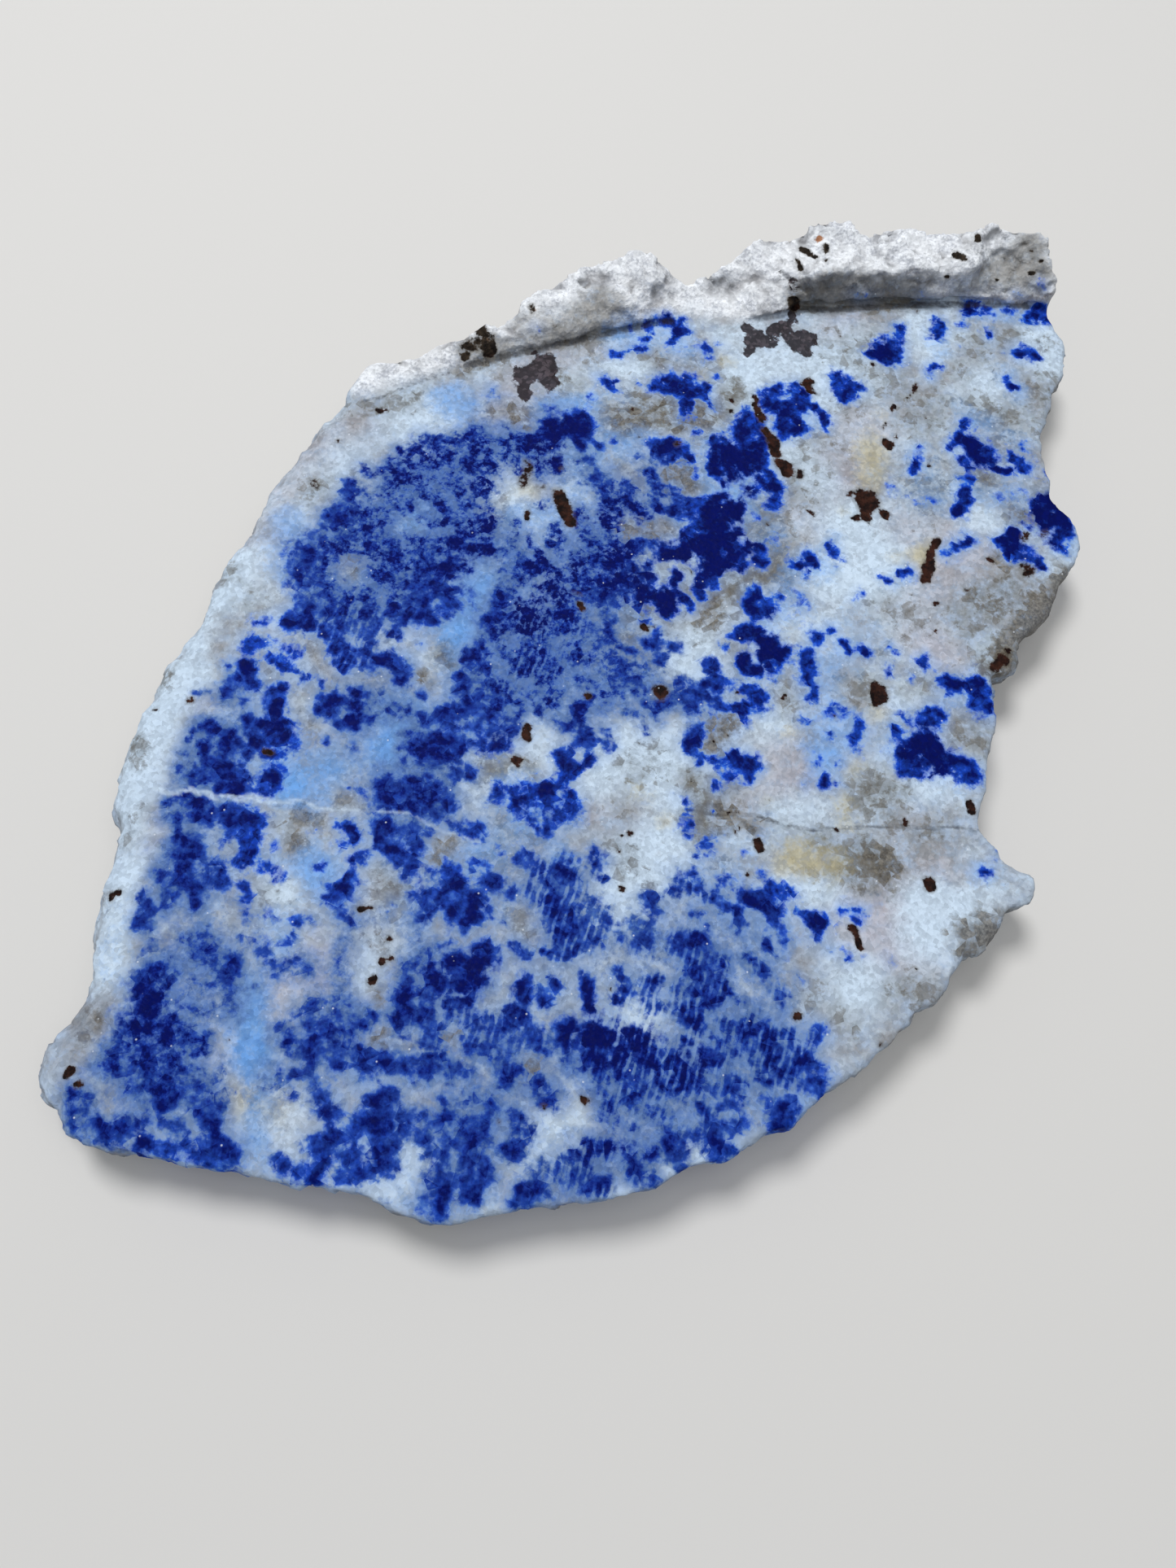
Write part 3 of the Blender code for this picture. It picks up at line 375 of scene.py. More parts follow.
    (0.6, 1, -43.5, 62, -42, 61.8, -40.5, 61.8, -39, 61.8, -37.5, 60.8), (0.7, 0.8, -42, 62, -40.8, 62),
    (0.75, 0.8, -39.8, 60.3, -38.8, 59.3, -37.5, 59, -36.3, 58.2, -35.8, 57.8), (0.85, 0.4, -39, 59.2),
    (0.95, 0.9, -43.7, 58.7, -42.8, 58.6, -42.4, 57.5, -42.1, 56.9), (0.9, 0.9, -43.5, 58, -42.9, 57.5),
    (0.85, 0.8, -44.6, 56.8, -44, 56, -44.3, 55.2, -45.2, 55), (0.6, 0.3, -45.7, 58.7),
    (0.4, 0.6, -48.5, 55.2, -47.5, 55.3), (0.7, 0.3, -42.8, 53.8),
    (0.85, 0.9, -38.8, 56, -39, 54.5, -39, 53, -38.6, 52.2), (0.55, 1, -39.8, 55.8, -40, 54),
    (0.7, 0.25, -37.2, 53), (0.8, 0.7, -41.8, 52, -41, 51.3, -40.5, 50.6, -41.6, 50.8),
    (0.95, 1.1, -40, 51.2, -38.5, 51.2, -37.5, 51), (0.9, 0.4, -37, 51.2),
    (0.95, 0.8, -40.7, 50, -40.6, 49, -40.6, 48.2),
    (0.8, 1.3, -39.5, 49.5, -38, 49.5, -36.8, 49, -37.5, 48, -38.5, 47.8),
    (0.65, 1.1, -37.8, 47, -37.5, 46), (0.85, 0.7, -47.3, 50.5, -46, 50.3, -45.3, 50),
    (0.7, 0.4, -48.5, 49.8), (0.7, 0.4, -48.6, 48.5), (0.8, 0.4, -49.2, 47, -48.6, 46.7),
    (0.85, 0.6, -46.8, 48, -46.2, 47.5, -46.3, 46.2, -46.8, 46.6),
    (0.95, 1.1, -44, 49.2, -43.5, 48.5, -43.5, 47.5, -44.3, 47.8),
    (0.9, 0.6, -42.2, 48, -41.6, 47.5, -41.5, 46), (0.95, 0.9, -45.5, 46, -44.5, 45.5, -43.3, 45.5),
    (0.95, 1.2, -47, 44.3, -45.8, 44, -46.5, 43.4, -45.5, 43.2),
    (0.95, 1.2, -45, 44.3, -43.8, 44, -44.5, 43.3, -43.3, 43),
    (0.9, 1.1, -42.5, 44, -41.5, 43.7, -41.7, 42.8, -42.5, 42.9), (0.65, 0.5, -49.3, 45.2, -48.5, 44.8),
    (0.7, 0.65, -39.6, 43.8, -38.4, 44.6, -37.6, 44.3, -37.6, 43, -38.5, 42.4, -39.3, 42.4),
    (0.6, 1, -38.8, 43.3), (0.8, 0.3, -40.1, 42.7), (0.5, 0.5, -31.7, 49.2), (0.4, 0.3, -34.8, 49.6),
    (0.4, 0.6, -28.6, 48.4), (0.9, 0.8, -33.3, 55.2, -33.2, 54, -32, 55.5, -31.7, 54.2, -31.9, 53.3),
    (0.95, 0.5, -32, 55, -33.2, 54.1), (0.6, 1, -30.7, 54.8, -31, 53, -30.5, 52.6),
    (0.85, 0.5, -30.1, 52.2, -30.3, 51.7),
    (0.95, 0.9, -29.5, 54.5, -28.8, 54, -28.5, 53, -28.8, 52, -29.2, 52.8),
    (0.75, 0.8, -29.3, 56, -28, 55.5, -26.8, 55.3, -26.5, 56),
    (0.5, 0.8, -27.6, 54, -27.3, 52.8, -26.4, 53.5), (0.75, 0.3, -33.8, 57.1),
    (0.85, 0.9, -24.7, 54.5, -23.8, 54.3, -24.3, 53.8, -23, 54.1), (0.8, 0.2, -22.2, 54.2),
    (0.75, 0.25, -22.2, 53), (0.7, 0.5, -20.9, 56),
    (0.6, 0.8, -21.4, 50.5, -20.5, 50.3, -21.2, 49, -20.2, 48.8), (0.8, 0.3, -22.8, 49),
    (0.85, 0.4, -22.3, 46.8), (0.8, 0.7, -20.5, 47.8),
    (0.95, 1.4, -24, 44, -22.8, 43.5, -21.5, 44.5, -20.5, 44, -23.5, 42.8, -22, 42.5),
    (1, 0.5, -22.4, 44.1), (1, 0.9, -20.4, 41.5), (0.7, 0.7, -24.5, 41.3, -23, 41.2),
    (0.6, 0.4, -27, 43, -26.5, 42.3), (0.6, 0.3, -25.9, 41.6), (0.6, 0.2, -28.1, 43.5),
    (0.9, 0.7, -49.3, 40.9, -48, 41, -47, 41),
    (0.9, 1.2, -47.5, 40.5, -46, 40.2, -44.8, 40, -46, 39.5, -45, 39.3),
    (0.6, 0.5, -49.7, 39.5, -49.6, 38.5), (0.8, 0.5, -48.5, 39, -48, 38.3), (0.7, 0.6, -44.6, 38.3),
    (0.8, 0.4, -47.7, 37.8, -47.5, 37),
    (0.9, 1.1, -42.8, 39.6, -41.5, 39.6, -40.5, 39.3, -41.5, 38.5, -42, 37.7, -40.8, 38),
    (0.85, 0.7, -39.7, 39.3, -38.8, 38.7, -38.3, 38.4),
    (0.95, 1, -39.5, 37.5, -39.2, 36, -39.3, 34.7, -40, 33.5),
    (0.95, 1.2, -46.5, 36, -45.5, 35.5, -46.8, 34.8, -45, 34.7),
    (0.95, 1.2, -46.9, 34, -46.5, 33, -46.2, 32.5, -47, 31.8), (0.3, 0.4, -48.8, 34.2),
    (0.65, 1, -44.3, 33.8, -43, 33.2, -44.5, 32.7),
    (0.85, 0.8, -42.8, 32.2, -41.5, 31.3, -41.5, 30.8, -42.7, 31.4),
    (0.9, 1.3, -48, 31.3, -46.3, 30.7, -45.3, 30.8), (0.7, 0.5, -38.6, 30.5),
    (0.65, 0.6, -36.7, 33, -35.5, 32.5, -35, 32.3), (0.6, 0.5, -30.8, 33.6), (0.5, 0.3, -36.4, 35.6),
    (0.5, 0.25, -32, 37.8), (0.85, 0.4, -29, 38.8, -28.5, 38.6),
    (0.85, 0.4, -28, 39.3, -27.5, 38.8, -27.3, 38.3), (0.85, 0.5, -28.2, 36.6, -27.3, 36.7, -26.8, 37.2),
    (0.85, 0.6, -26.8, 34.3, -25.8, 34.5, -25.6, 35.2),
    (0.95, 1, -27.3, 32, -28, 31, -28.8, 30.3, -27.4, 30.6),
    (0.8, 1, -24.5, 39.5, -23.8, 39.2, -24, 38, -23, 38.5, -22, 38, -21, 38.3, -20.5, 37.8),
    (0.8, 1, -24.5, 37.2, -23.2, 36.3, -22, 36, -21, 36.5, -22.3, 37.3), (0.8, 0.7, -22, 34.9, -20.5, 35.3),
    (0.95, 0.5, -24.3, 39.3), (0.95, 0.6, -22.7, 36.2), (0.9, 0.5, -20.2, 34),
    # middle
    (0.9, 2.2, -12.5, 66.5, -11, 67.3, -8.5, 67, -6, 66.5), (0.9, 1, -14, 66.3, -12.5, 65.8),
    (0.95, 1, -6.5, 65.8, -5, 67), (0.75, 1.6, -3.5, 67, -1.5, 66.5, -2, 65),
    (0.75, 1.4, -3.5, 63.5, -2.5, 62.7, -1.2, 62.3), (0.7, 1, -1, 64.8, 0, 64.2),
    (0.95, 1, 0.3, 66, 1, 65.6, 1.7, 65.4), (0.95, 0.7, 7.7, 66.6, 7.8, 65.5),
    (0.95, 0.8, 6.8, 64.9, 8, 64.8, 9.2, 64.8, 9.9, 64.9), (0.95, 0.9, 7.8, 64, 8, 63.2, 8.3, 62.7),
    (0.55, 0.6, 6, 64.6), (0.9, 1, 2.2, 62.9, 3, 62.4, 2.7, 61.8),
    (0.75, 1.3, 4.3, 61.5, 5.8, 61.2, 7, 60.7, 8, 60.3),
    (0.7, 1.3, 1.5, 60.7, 2.5, 59.3, 3.7, 60, 5.3, 59.3, 6.8, 59.2), (0.9, 0.4, 3.2, 64.3, 4.6, 64.1),
    (0.85, 0.6, -14.3, 63.5, -13.7, 62.3), (0.85, 0.7, -11.9, 63, -11.6, 62.4),
    (0.9, 1.5, -8, 63.7, -7, 64.4, -8.5, 62.5, -6.8, 62.7, -6, 61.5),
    (0.9, 1.5, -9.5, 61.5, -8, 60.8, -6.3, 60.3, -9.8, 62), (0.9, 1, -15.7, 61.6, -14.7, 60.8, -14.3, 62),
    (0.9, 0.7, -13.8, 61, -13.3, 60, -12.8, 59.2), (0.8, 1, -16.3, 61.5, -15.5, 60.8),
    (0.9, 0.9, -16.5, 59.3, -16, 58.6), (0.85, 1.4, -13.8, 58.7, -15, 57.5, -16.3, 57),
    (0.95, 1.4, -11.3, 57.8, -10.3, 57.3, -10.6, 56.2, -11.5, 56.6),
    (0.85, 1.6, -14.8, 56, -13, 55.5, -11.8, 54.8), (0.9, 0.9, -9.5, 55.3, -9.2, 54.6),
    (0.85, 1.3, -8.3, 59.3, -6.8, 58.5, -5.3, 60), (0.8, 1.3, -8.3, 57.2, -6.5, 56.5, -5.3, 57.5),
    (0.7, 1.2, -6, 55.5, -4.8, 56.2), (0.9, 0.5, -4.6, 56.2), (0.9, 0.5, -4.4, 54.1),
    (0.8, 0.5, -2, 59.6, -1.7, 59), (0.85, 0.4, -0.3, 59.2, 0.2, 58.7),
    (0.75, 0.9, 0.3, 57.7, 0.9, 56.8, 0.3, 56.2), (0.6, 0.7, 3.5, 57.4, 2.9, 58),
    (0.7, 0.8, 5.3, 58, 5.8, 59), (0.9, 0.9, -1.3, 55.9, -1.7, 54.6, -0.9, 56.3),
    (0.7, 1, -3.3, 53, -2.3, 53.3), (0.9, 0.9, -1, 52.3, -1.2, 51.2, -0.4, 51.3),
    (0.85, 0.5, 1.5, 52.9, 2, 52.6), (0.85, 0.4, 1.1, 51.4, 0.6, 50.5),
    (0.9, 0.5, 1.9, 51.2, 2.6, 50.9, 2.2, 50), (0.6, 0.45, 4.3, 55.3, 6.3, 55.2, 7, 52.8),
    (0.9, 0.5, 6.6, 56.4), (0.9, 0.6, 7.5, 56.3, 7.9, 55.6, 8, 54.9),
    (0.95, 0.7, 8.4, 56.7, 9.4, 57.1, 10.3, 57.6, 11.3, 58.2, 12.3, 58.7), (0.9, 0.5, 7.7, 60.3),
    (0.85, 1, -20.5, 53, -18.6, 53.3), (0.95, 0.8, -18.2, 54.2, -17.3, 53.7, -16.6, 54.4),
    (0.8, 1.1, -15, 54.2, -14, 53.3, -14.5, 52.3), (0.75, 1.4, -12.3, 53.8, -11, 53, -10, 52.8),
    (0.7, 1.6, -12.5, 51.3, -11.3, 50.6, -10.5, 51.6), (0.85, 0.9, -19.5, 50.3, -18.3, 50.4),
    (0.95, 1.6, -20.5, 49.5, -19, 48.8, -17.8, 49.2, -16.8, 49.5), (0.9, 1.2, -20, 47.9, -18.8, 47.5),
    (0.75, 0.8, -14.8, 50.2, -13.5, 50.1, -12.6, 50), (0.6, 1, -16.5, 51.5, -17.8, 51.8),
    (0.75, 0.6, -16.2, 46.5, -15.5, 46.1, -16.5, 45.6), (0.95, 0.65, -14.5, 46.4, -14.1, 46.2),
    (0.75, 1, -17.5, 53, -16, 52.7), (0.85, 0.9, -3, 49.3, -2.9, 48.2, -2.9, 47.2),
    (0.7, 0.6, -1.9, 49.4, -2, 48.3, -1.4, 48, -2.5, 46.3), (0.9, 0.6, 0.2, 49.3, 0.1, 48.5),
    (0.9, 0.7, -2.6, 46.3, -3.2, 45.5), (0.9, 0.9, -8.8, 44.3, -8, 44, -7.6, 43.3, -8.2, 42.8),
    (0.7, 1, -10.5, 43.7, -10.9, 43.2), (0.7, 1.6, -7.8, 42.3, -6.3, 43.5, -5.8, 41.8),
    (0.9, 0.9, -4.6, 44.8, -4.7, 43.5, -5, 42.6), (0.8, 1.3, -3.8, 43, -2.8, 42.5, -2.3, 43.4, -2.6, 41.8),
    (0.85, 0.8, -3, 41, -3.8, 40.2, -4.2, 39.4), (0.7, 0.3, -6, 40.9, -5.6, 39.2),
    (0.95, 1.5, -19.5, 44.5, -18.8, 43.5, -19.2, 42.3, -19.8, 41.4), (0.9, 1, -20.6, 41.7, -19.8, 40.8),
    (0.8, 1.3, -17.5, 43.5, -16.7, 42.3, -17.3, 41), (0.6, 1, -16.5, 41, -17.5, 40.4),
    (0.95, 1.4, -24.3, 43.5, -22.5, 43, -23, 42), (0.8, 0.9, -14.3, 39.7, -13, 39.3, -12.5, 38.8),
    (0.85, 0.4, -12, 38), (0.75, 0.6, -16, 39.5, -15, 39.2), (0.7, 0.5, -19.5, 38.6, -18.3, 38.3),
    (0.8, 0.9, -7.5, 36, -6.8, 36.2, -6.3, 35.8), (0.5, 0.5, -9.8, 36.5),
    (0.45, 0.6, 0, 36.2, 1.2, 36.3, 1.2, 37.2), (0.85, 0.7, 1.9, 35.8, 1.6, 34.8, 1.2, 34.3),
    (0.85, 0.4, 2.6, 34), (0.55, 0.6, -1.3, 36.3, -4, 35.7),
    (0.75, 1.6, -16.5, 33.8, -15.3, 32.6, -15.6, 31.3), (0.7, 0.9, -12.8, 34.6, -11.3, 33.8),
    (0.9, 0.9, -10.6, 33.3, -9.8, 32.6), (0.85, 0.5, -8, 31.8),
    (0.85, 1.3, -12.3, 30.8, -13.3, 29.9, -14, 30.3),
    (0.9, 1.5, -3.6, 33, -3, 34, -1.9, 33.7, -3, 31.8, -1, 32.8), (0.8, 0.7, -6, 32, -5.5, 31),
    (0.75, 1, -5, 34.8, -6, 34.5), (0.85, 0.9, -20, 34.6, -20.2, 33.6, -19.8, 37),
    (0.85, 0.9, 7.4, 31.6, 8.4, 31.6, 8.7, 30.8), (0.85, 0.9, 11, 34.7, 12, 34.3, 12.6, 34.8),
    (0.8, 0.5, 10, 33.2, 11, 33.3), (0.85, 0.6, 12.9, 33.3, 13.3, 33),
    # right middle
    (0.95, 1.2, 18.5, 67, 19.5, 67.5, 20.3, 66.6),
    (0.95, 1.2, 21.5, 65.5, 22.3, 64.3, 22.8, 63.5, 22, 64.5), (0.85, 0.7, 17.5, 66.6),
    (0.95, 0.8, 23.4, 64.6, 23.9, 64.3), (0.95, 0.9, 18.7, 63.2, 19.2, 62.3, 20.3, 62.2),
    (0.75, 0.7, 22.3, 61.7), (0.7, 0.5, 16.3, 64.8), (0.9, 0.7, 14.3, 62.5, 14.8, 61.5, 15, 60.6, 16, 60.2),
    (0.9, 0.9, 11, 59.8), (0.9, 1.2, 12.6, 59.4, 13.6, 59, 14.5, 59.5, 15, 60),
    (0.9, 0.9, 11.3, 57.8, 12.5, 58, 12.3, 57), (0.75, 0.9, 14.6, 58.2, 16, 59.8, 17, 60),
    (0.85, 0.7, 19, 59.5, 20, 58.8, 20.9, 58.2), (0.75, 0.6, 20.6, 57.2, 20, 56.8, 21.2, 56.8),
    (0.85, 0.8, 15.8, 57, 16.5, 56.2, 17.5, 56.3), (0.95, 0.8, 17.8, 56.8, 18.6, 56.4, 18.7, 57),
    (0.7, 0.5, 15.5, 55.3, 17, 55.5, 18.8, 55), (0.6, 0.4, 17.7, 53.6), (0.6, 0.35, 25.7, 56, 26, 55.7),
    (0.95, 1, 13.5, 53.3, 13, 52.5, 12.6, 51.6, 12.2, 50.8), (0.7, 0.6, 12, 52.5),
    (0.85, 0.5, 13.3, 49.9, 13.3, 49.4), (0.9, 0.7, 15.3, 49.8, 16.5, 50),
    (0.95, 1.1, 17.8, 50, 18.6, 49.4, 19.4, 48.9), (0.9, 0.4, 18.9, 48.2, 19.5, 47.4),
    (0.5, 1.2, 16.2, 48.6, 17.3, 48), (0.75, 0.5, 15.4, 46.5, 15.4, 46), (0.7, 0.8, 11.5, 44, 11.8, 43.4),
    (0.8, 0.7, 11.4, 40.4, 11.9, 40.3), (0.8, 0.35, 12.6, 41.2), (0.7, 0.4, 14.3, 39.2),
    (0.85, 0.3, 15.6, 40), (0.6, 0.25, 15.3, 42.9), (0.4, 0.3, 20.8, 40.3),
    (0.95, 0.7, 28, 66.6, 28.4, 67.6), (0.95, 0.75, 27, 65, 26.8, 64, 26.6, 63, 26.7, 62, 26.5, 61),
    (0.85, 0.6, 27.3, 59.7, 27.1, 58.7), (0.8, 0.4, 31, 66.2, 31.3, 65.8), (0.8, 0.4, 31.6, 65.3),
    (0.9, 0.35, 34.2, 65.9, 34.4, 65.2), (0.6, 0.4, 37.5, 66.3, 37.9, 66),
    (0.6, 0.3, 37.1, 64, 37, 63, 37.2, 62.6), (0.6, 0.35, 39.9, 62.4), (0.8, 0.6, 41.3, 64.5, 41.8, 64),
    (0.95, 0.9, 44.3, 61.8, 45.3, 61.6, 45.9, 61.9), (0.7, 0.5, 44.3, 60.2),
    (0.95, 1.3, 47.8, 61.5, 48.8, 61, 48.3, 60, 47.8, 59.3, 48.8, 58.7), (0.5, 0.8, 29.6, 57.3, 30.7, 57),
    (0.85, 0.3, 29.5, 53.8, 29.3, 53.4), (0.5, 0.6, 27.7, 50.3, 27.6, 49.5),
    (0.9, 0.35, 28.3, 48, 28.6, 47.4, 28.2, 47.2), (0.8, 0.2, 26.2, 46.9), (0.75, 0.25, 30.2, 47.2),
    (0.7, 0.3, 30.3, 50.3), (0.9, 0.7, 33.2, 54.9, 32.8, 53.9, 32.5, 53.2),
    (0.6, 1, 32.8, 52.7, 32.2, 53.8), (0.5, 0.7, 38, 56.7, 39, 56.4, 39, 57),
    (0.9, 0.9, 42, 57.3, 42.8, 57.2, 42.6, 56.3), (0.65, 0.9, 41, 56.2, 41.4, 57),
    (0.7, 0.6, 37.2, 54.5, 37.8, 53.7), (0.98, 1.2, 41, 53.8, 40, 53, 41.5, 52.8, 39, 52.3, 42.2, 52.3),
    (0.98, 1.1, 43, 51.3, 44.2, 51, 45.2, 50.3, 46.2, 49.8),
    (0.85, 1.1, 38, 52, 38.3, 51.2, 40, 51.3, 41.7, 51.3),
    (0.8, 0.8, 38.4, 50, 39.3, 49.5, 40.3, 49.6, 41.5, 49.7, 43, 49.7),
    (0.9, 0.8, 46.8, 49.3, 46, 48.9, 45, 49.3), (0.8, 0.9, -12.1, 90.9, -11.8, 90.1),
    # far left
    (0.6, 0.6, -43, 65.2, -41.8, 65.3), (0.9, 1, -39, 65.7, -37.5, 65.5, -35.5, 65, -33.5, 64.8),
    (0.7, 1.1, -37.6, 68, -37.7, 69.5, -37, 71.5), (0.8, 0.8, -38.2, 71.8, -37.7, 70.5, -37.8, 68.8),
    (0.85, 1.5, -36, 68.5, -34.5, 68.7, -34.3, 67.3, -35.5, 67),
    (0.7, 1.6, -33.5, 66.5, -31.5, 66, -30.5, 67), (0.9, 1, -31.5, 68.5, -30.5, 68, -31.5, 67.3),
    (0.95, 1, -29.6, 69.3, -29, 68, -29.3, 66.7), (0.6, 1.8, -33, 69.5, -35, 70.5, -31, 70),
    (0.85, 0.7, -29.7, 70.7, -28.5, 70.3), (0.6, 0.6, -40, 71.3),
    (0.7, 1.4, -39.8, 74.5, -39, 73.3, -38, 72.7),
    (0.85, 1.5, -37.5, 75.3, -36.3, 74.3, -37, 73, -35.7, 72.4),
    (0.4, 0.9, -41, 76.5, -40.7, 75, -40, 77.5), (0.75, 1.3, -38.5, 76.8, -37, 77.5, -36, 78),
    (0.95, 0.8, -36.3, 78, -35.9, 77), (0.95, 0.7, -37.5, 76, -36.5, 75.5, -35.3, 75.7),
    (0.85, 0.45, -36.4, 79.6), (0.85, 1.6, -34.5, 77, -33.5, 76, -34.8, 75.3),
    (0.95, 1.3, -33.5, 78.5, -32, 78, -32.3, 77, -31.3, 76.3, -30.5, 77.3),
    (0.95, 1.1, -31.5, 79.7, -31, 80.3, -30.5, 79), (0.85, 1.6, -33.5, 81.5, -32, 81, -33, 80, -34, 79.7),
    (0.8, 1.2, -35.5, 81.5, -34.7, 82.5, -34.3, 81), (0.85, 1, -34, 86, -33, 85.8, -32.5, 85, -34.2, 85),
    (0.85, 1, -33.5, 84.3, -32.7, 83.5, -32.2, 84.5, -34.5, 83.3),
    (0.8, 0.7, -31, 83, -30.5, 82, -31.5, 82), (0.7, 0.7, -32.2, 88.9, -31.3, 88.6, -30.6, 88.2),
    (0.9, 1.2, -29, 88.7, -28, 88.5, -27.3, 88.2, -28.5, 87.5),
    (0.8, 1.3, -27.8, 86.7, -26.5, 87.3, -25.7, 86.5, -28.5, 86), (0.6, 1, -28.5, 85, -29, 84),
    (0.95, 0.8, -26.6, 90.8, -25.9, 91.2, -26.3, 89.9, -27.1, 89.9), (0.85, 0.4, -27.9, 92.5, -27.5, 92.1),
    (0.8, 1.2, -25, 92.5, -24, 93.3, -22.5, 93, -21, 93.7),
    (0.9, 1.3, -23, 91.7, -21.8, 91, -20.7, 92.3, -20.3, 93.7), (0.9, 0.8, -20, 95.1, -19.3, 94.5),
    (0.75, 1.5, -25, 89.7, -23.5, 89.5, -22, 89.7, -24.5, 88),
    (0.95, 1.1, -20.4, 88.5, -19.5, 88.7, -20.3, 87.3, -19.3, 86.5),
    (0.85, 1, -24.3, 87, -23.3, 86.2, -22.5, 85.6), (0.95, 0.8, -21.5, 84.3, -21.1, 83.3, -20.5, 82.4),
    (0.9, 0.4, -25.7, 83.7, -25.4, 83), (0.85, 0.9, -23.8, 81.2, -22.8, 80.9, -21.3, 81.3, -20.7, 81.7),
    (0.7, 1.4, -28.5, 82.5, -27.5, 83, -29, 80.7), (0.8, 1, -29.5, 79, -28, 78.3),
    (0.95, 1.3, -28.5, 77.3, -27, 77.7, -28, 76, -26.7, 75.5),
    (0.95, 1.2, -29, 74.5, -28.3, 73.3, -27.5, 72.3, -26.5, 73.5),
    (0.95, 1.3, -26.3, 74.5, -25.3, 73.3, -25.5, 72), (0.9, 0.7, -27, 71, -26.3, 69.7, -25.9, 68.5),
    (0.95, 1.4, -24, 76.5, -23.5, 75, -23, 73.7, -21.5, 74.2),
    (0.95, 1.3, -24.7, 71.5, -23.5, 71.7, -22.7, 70.8, -24, 69.5),
    (0.9, 1.5, -22.5, 69.3, -22, 68, -21.8, 67, -23.5, 68.5), (0.9, 1, -25.3, 67.3, -24.3, 67, -23.8, 69.3),
    (0.85, 1.3, -24, 78.3, -22.5, 77.7, -21.5, 76.5), (0.85, 0.5, -21.8, 78.5, -21, 78.8),
    (0.9, 1, -19.7, 78.3, -18.8, 77.8, -20, 76.7),
    (0.9, 1.2, -19.7, 75.3, -18.3, 75.7, -18.7, 74.3, -20.7, 74), (0.8, 0.9, -16.8, 75.2, -17.3, 73.8),
    (0.9, 0.8, -19.3, 70.9, -18.3, 71.3, -19.2, 70.3), (0.75, 1.2, -19, 69, -19.8, 68),
    (0.7, 1.4, -21.5, 72.3, -20.5, 70.8), (0.85, 0.8, -25.5, 65.1), (0.7, 0.9, -28.5, 65, -27.7, 65.7),
    (0.8, 1, -18.5, 78.5, -17.3, 77.6),
    # far middle
    (0.9, 1.4, -18.5, 94.7, -17.3, 95.3, -16.5, 94.6), (0.95, 1.3, -17.5, 93, -16, 93, -14.5, 93.3),
    (0.9, 1.2, -19, 91.5, -18, 90.3, -16.5, 90), (0.98, 1.4, -13.3, 94.3, -12.3, 94.7, -11, 95, -13, 93),
    (0.98, 1.2, -14, 92.3, -12.5, 91.7), (0.95, 1.3, -16.8, 89.6, -15.8, 88.7, -15.5, 90.3),
    (0.98, 1, -17, 87.3, -16.3, 86.3, -15.6, 87.7, -16.5, 85.7),
    (0.95, 0.8, -18, 84.8, -17.8, 84, -19, 83.5), (0.85, 1.2, -16.5, 84.3, -15.3, 83, -16, 82),
    (0.98, 1.2, -17, 80.7, -15.8, 80.2, -14.7, 81), (0.98, 0.9, -16.3, 78, -15.3, 77.4, -14.9, 78),
    (0.85, 1, -18.5, 80.9, -17.5, 80), (0.95, 1.6, -10.5, 94.5, -9, 95, -8.3, 94, -9.5, 93.2),
    (0.98, 1.5, -7.7, 97.8, -6.5, 97, -7.7, 96, -6.5, 95.3),
    (0.98, 1.4, -5, 99, -4, 98.5, -3.2, 97.3, -4, 96.5, -2.8, 98.3),
    (0.98, 1.3, -7.3, 93.5, -7, 92.2, -7.8, 91.3, -6.8, 91),
    (0.45, 0.7, -8.5, 100.2, -7.3, 100.4, -5.3, 100.1, -3, 99.4), (0.9, 1, -9.3, 90.8, -8.7, 89.9),
    (0.95, 0.5, -3.7, 95, -3.4, 94.4), (0.7, 0.6, -1.5, 95.6, -0.8, 94.8), (0.7, 0.7, -2.4, 92.6, -2, 92.3),
    (0.7, 0.3, -3.8, 92, -3.3, 92.2), (0.6, 0.5, 1.3, 96.3, 1.1, 95.8),
    (0.9, 1.2, -0.7, 89.4, -0.2, 88.4, 0.3, 89.7), (0.98, 1.1, 0.3, 87.7, 0.7, 86.3, 0.5, 85, 1, 84),
    (0.95, 0.9, 0.7, 82.6, 1.3, 81.4, 0.8, 80.5), (0.6, 1.2, -2.3, 89.5, -1.7, 91),
    (0.85, 0.7, -3, 84, -2.5, 83, -3, 82.3), (0.9, 0.8, -3, 81.7, -2.5, 80.9),
    (0.75, 0.9, -1.5, 81.5, -0.8, 80.7, -1.3, 79), (0.98, 1, -6.3, 80.7, -5.8, 79.7, -6.3, 79, -5.3, 79.2),
    (0.98, 0.4, -6, 81.6), (0.9, 0.5, -12, 81.6, -11.5, 81.3, -11, 81.5),
    (0.9, 0.55, -9.3, 79.8, -9.3, 78.8), (0.98, 0.8, -7.9, 77.3, -7.5, 76.3, -6.7, 75.5),
    (0.98, 0.8, -9.5, 76, -9, 75.2, -8.7, 74.3, -7.5, 75), (0.85, 0.6, -5.5, 77.5),
    (0.65, 0.9, -11.8, 79.5, -11.6, 78, -12.3, 76.8), (0.7, 0.9, -10.7, 76.5, -10.3, 75.5),
    (0.6, 0.9, -7.9, 85.3, -8.2, 85), (0.98, 0.9, -15.7, 77.7, -15, 77.3),
    (0.85, 1.3, -14, 81.3, -15, 82.5), (0.4, 0.8, -17, 72, -16.5, 70.3), (0.6, 0.7, -13, 74.3),
    (0.9, 1.1, -12, 72, -12.3, 71.2, -11.3, 71.3), (0.85, 1, -11.5, 73.5, -10.6, 73),
    (0.85, 1.8, -12.5, 68.5, -11, 69, -9.5, 68.3, -8, 69.5, -6.5, 68.5, -5.3, 69.3),
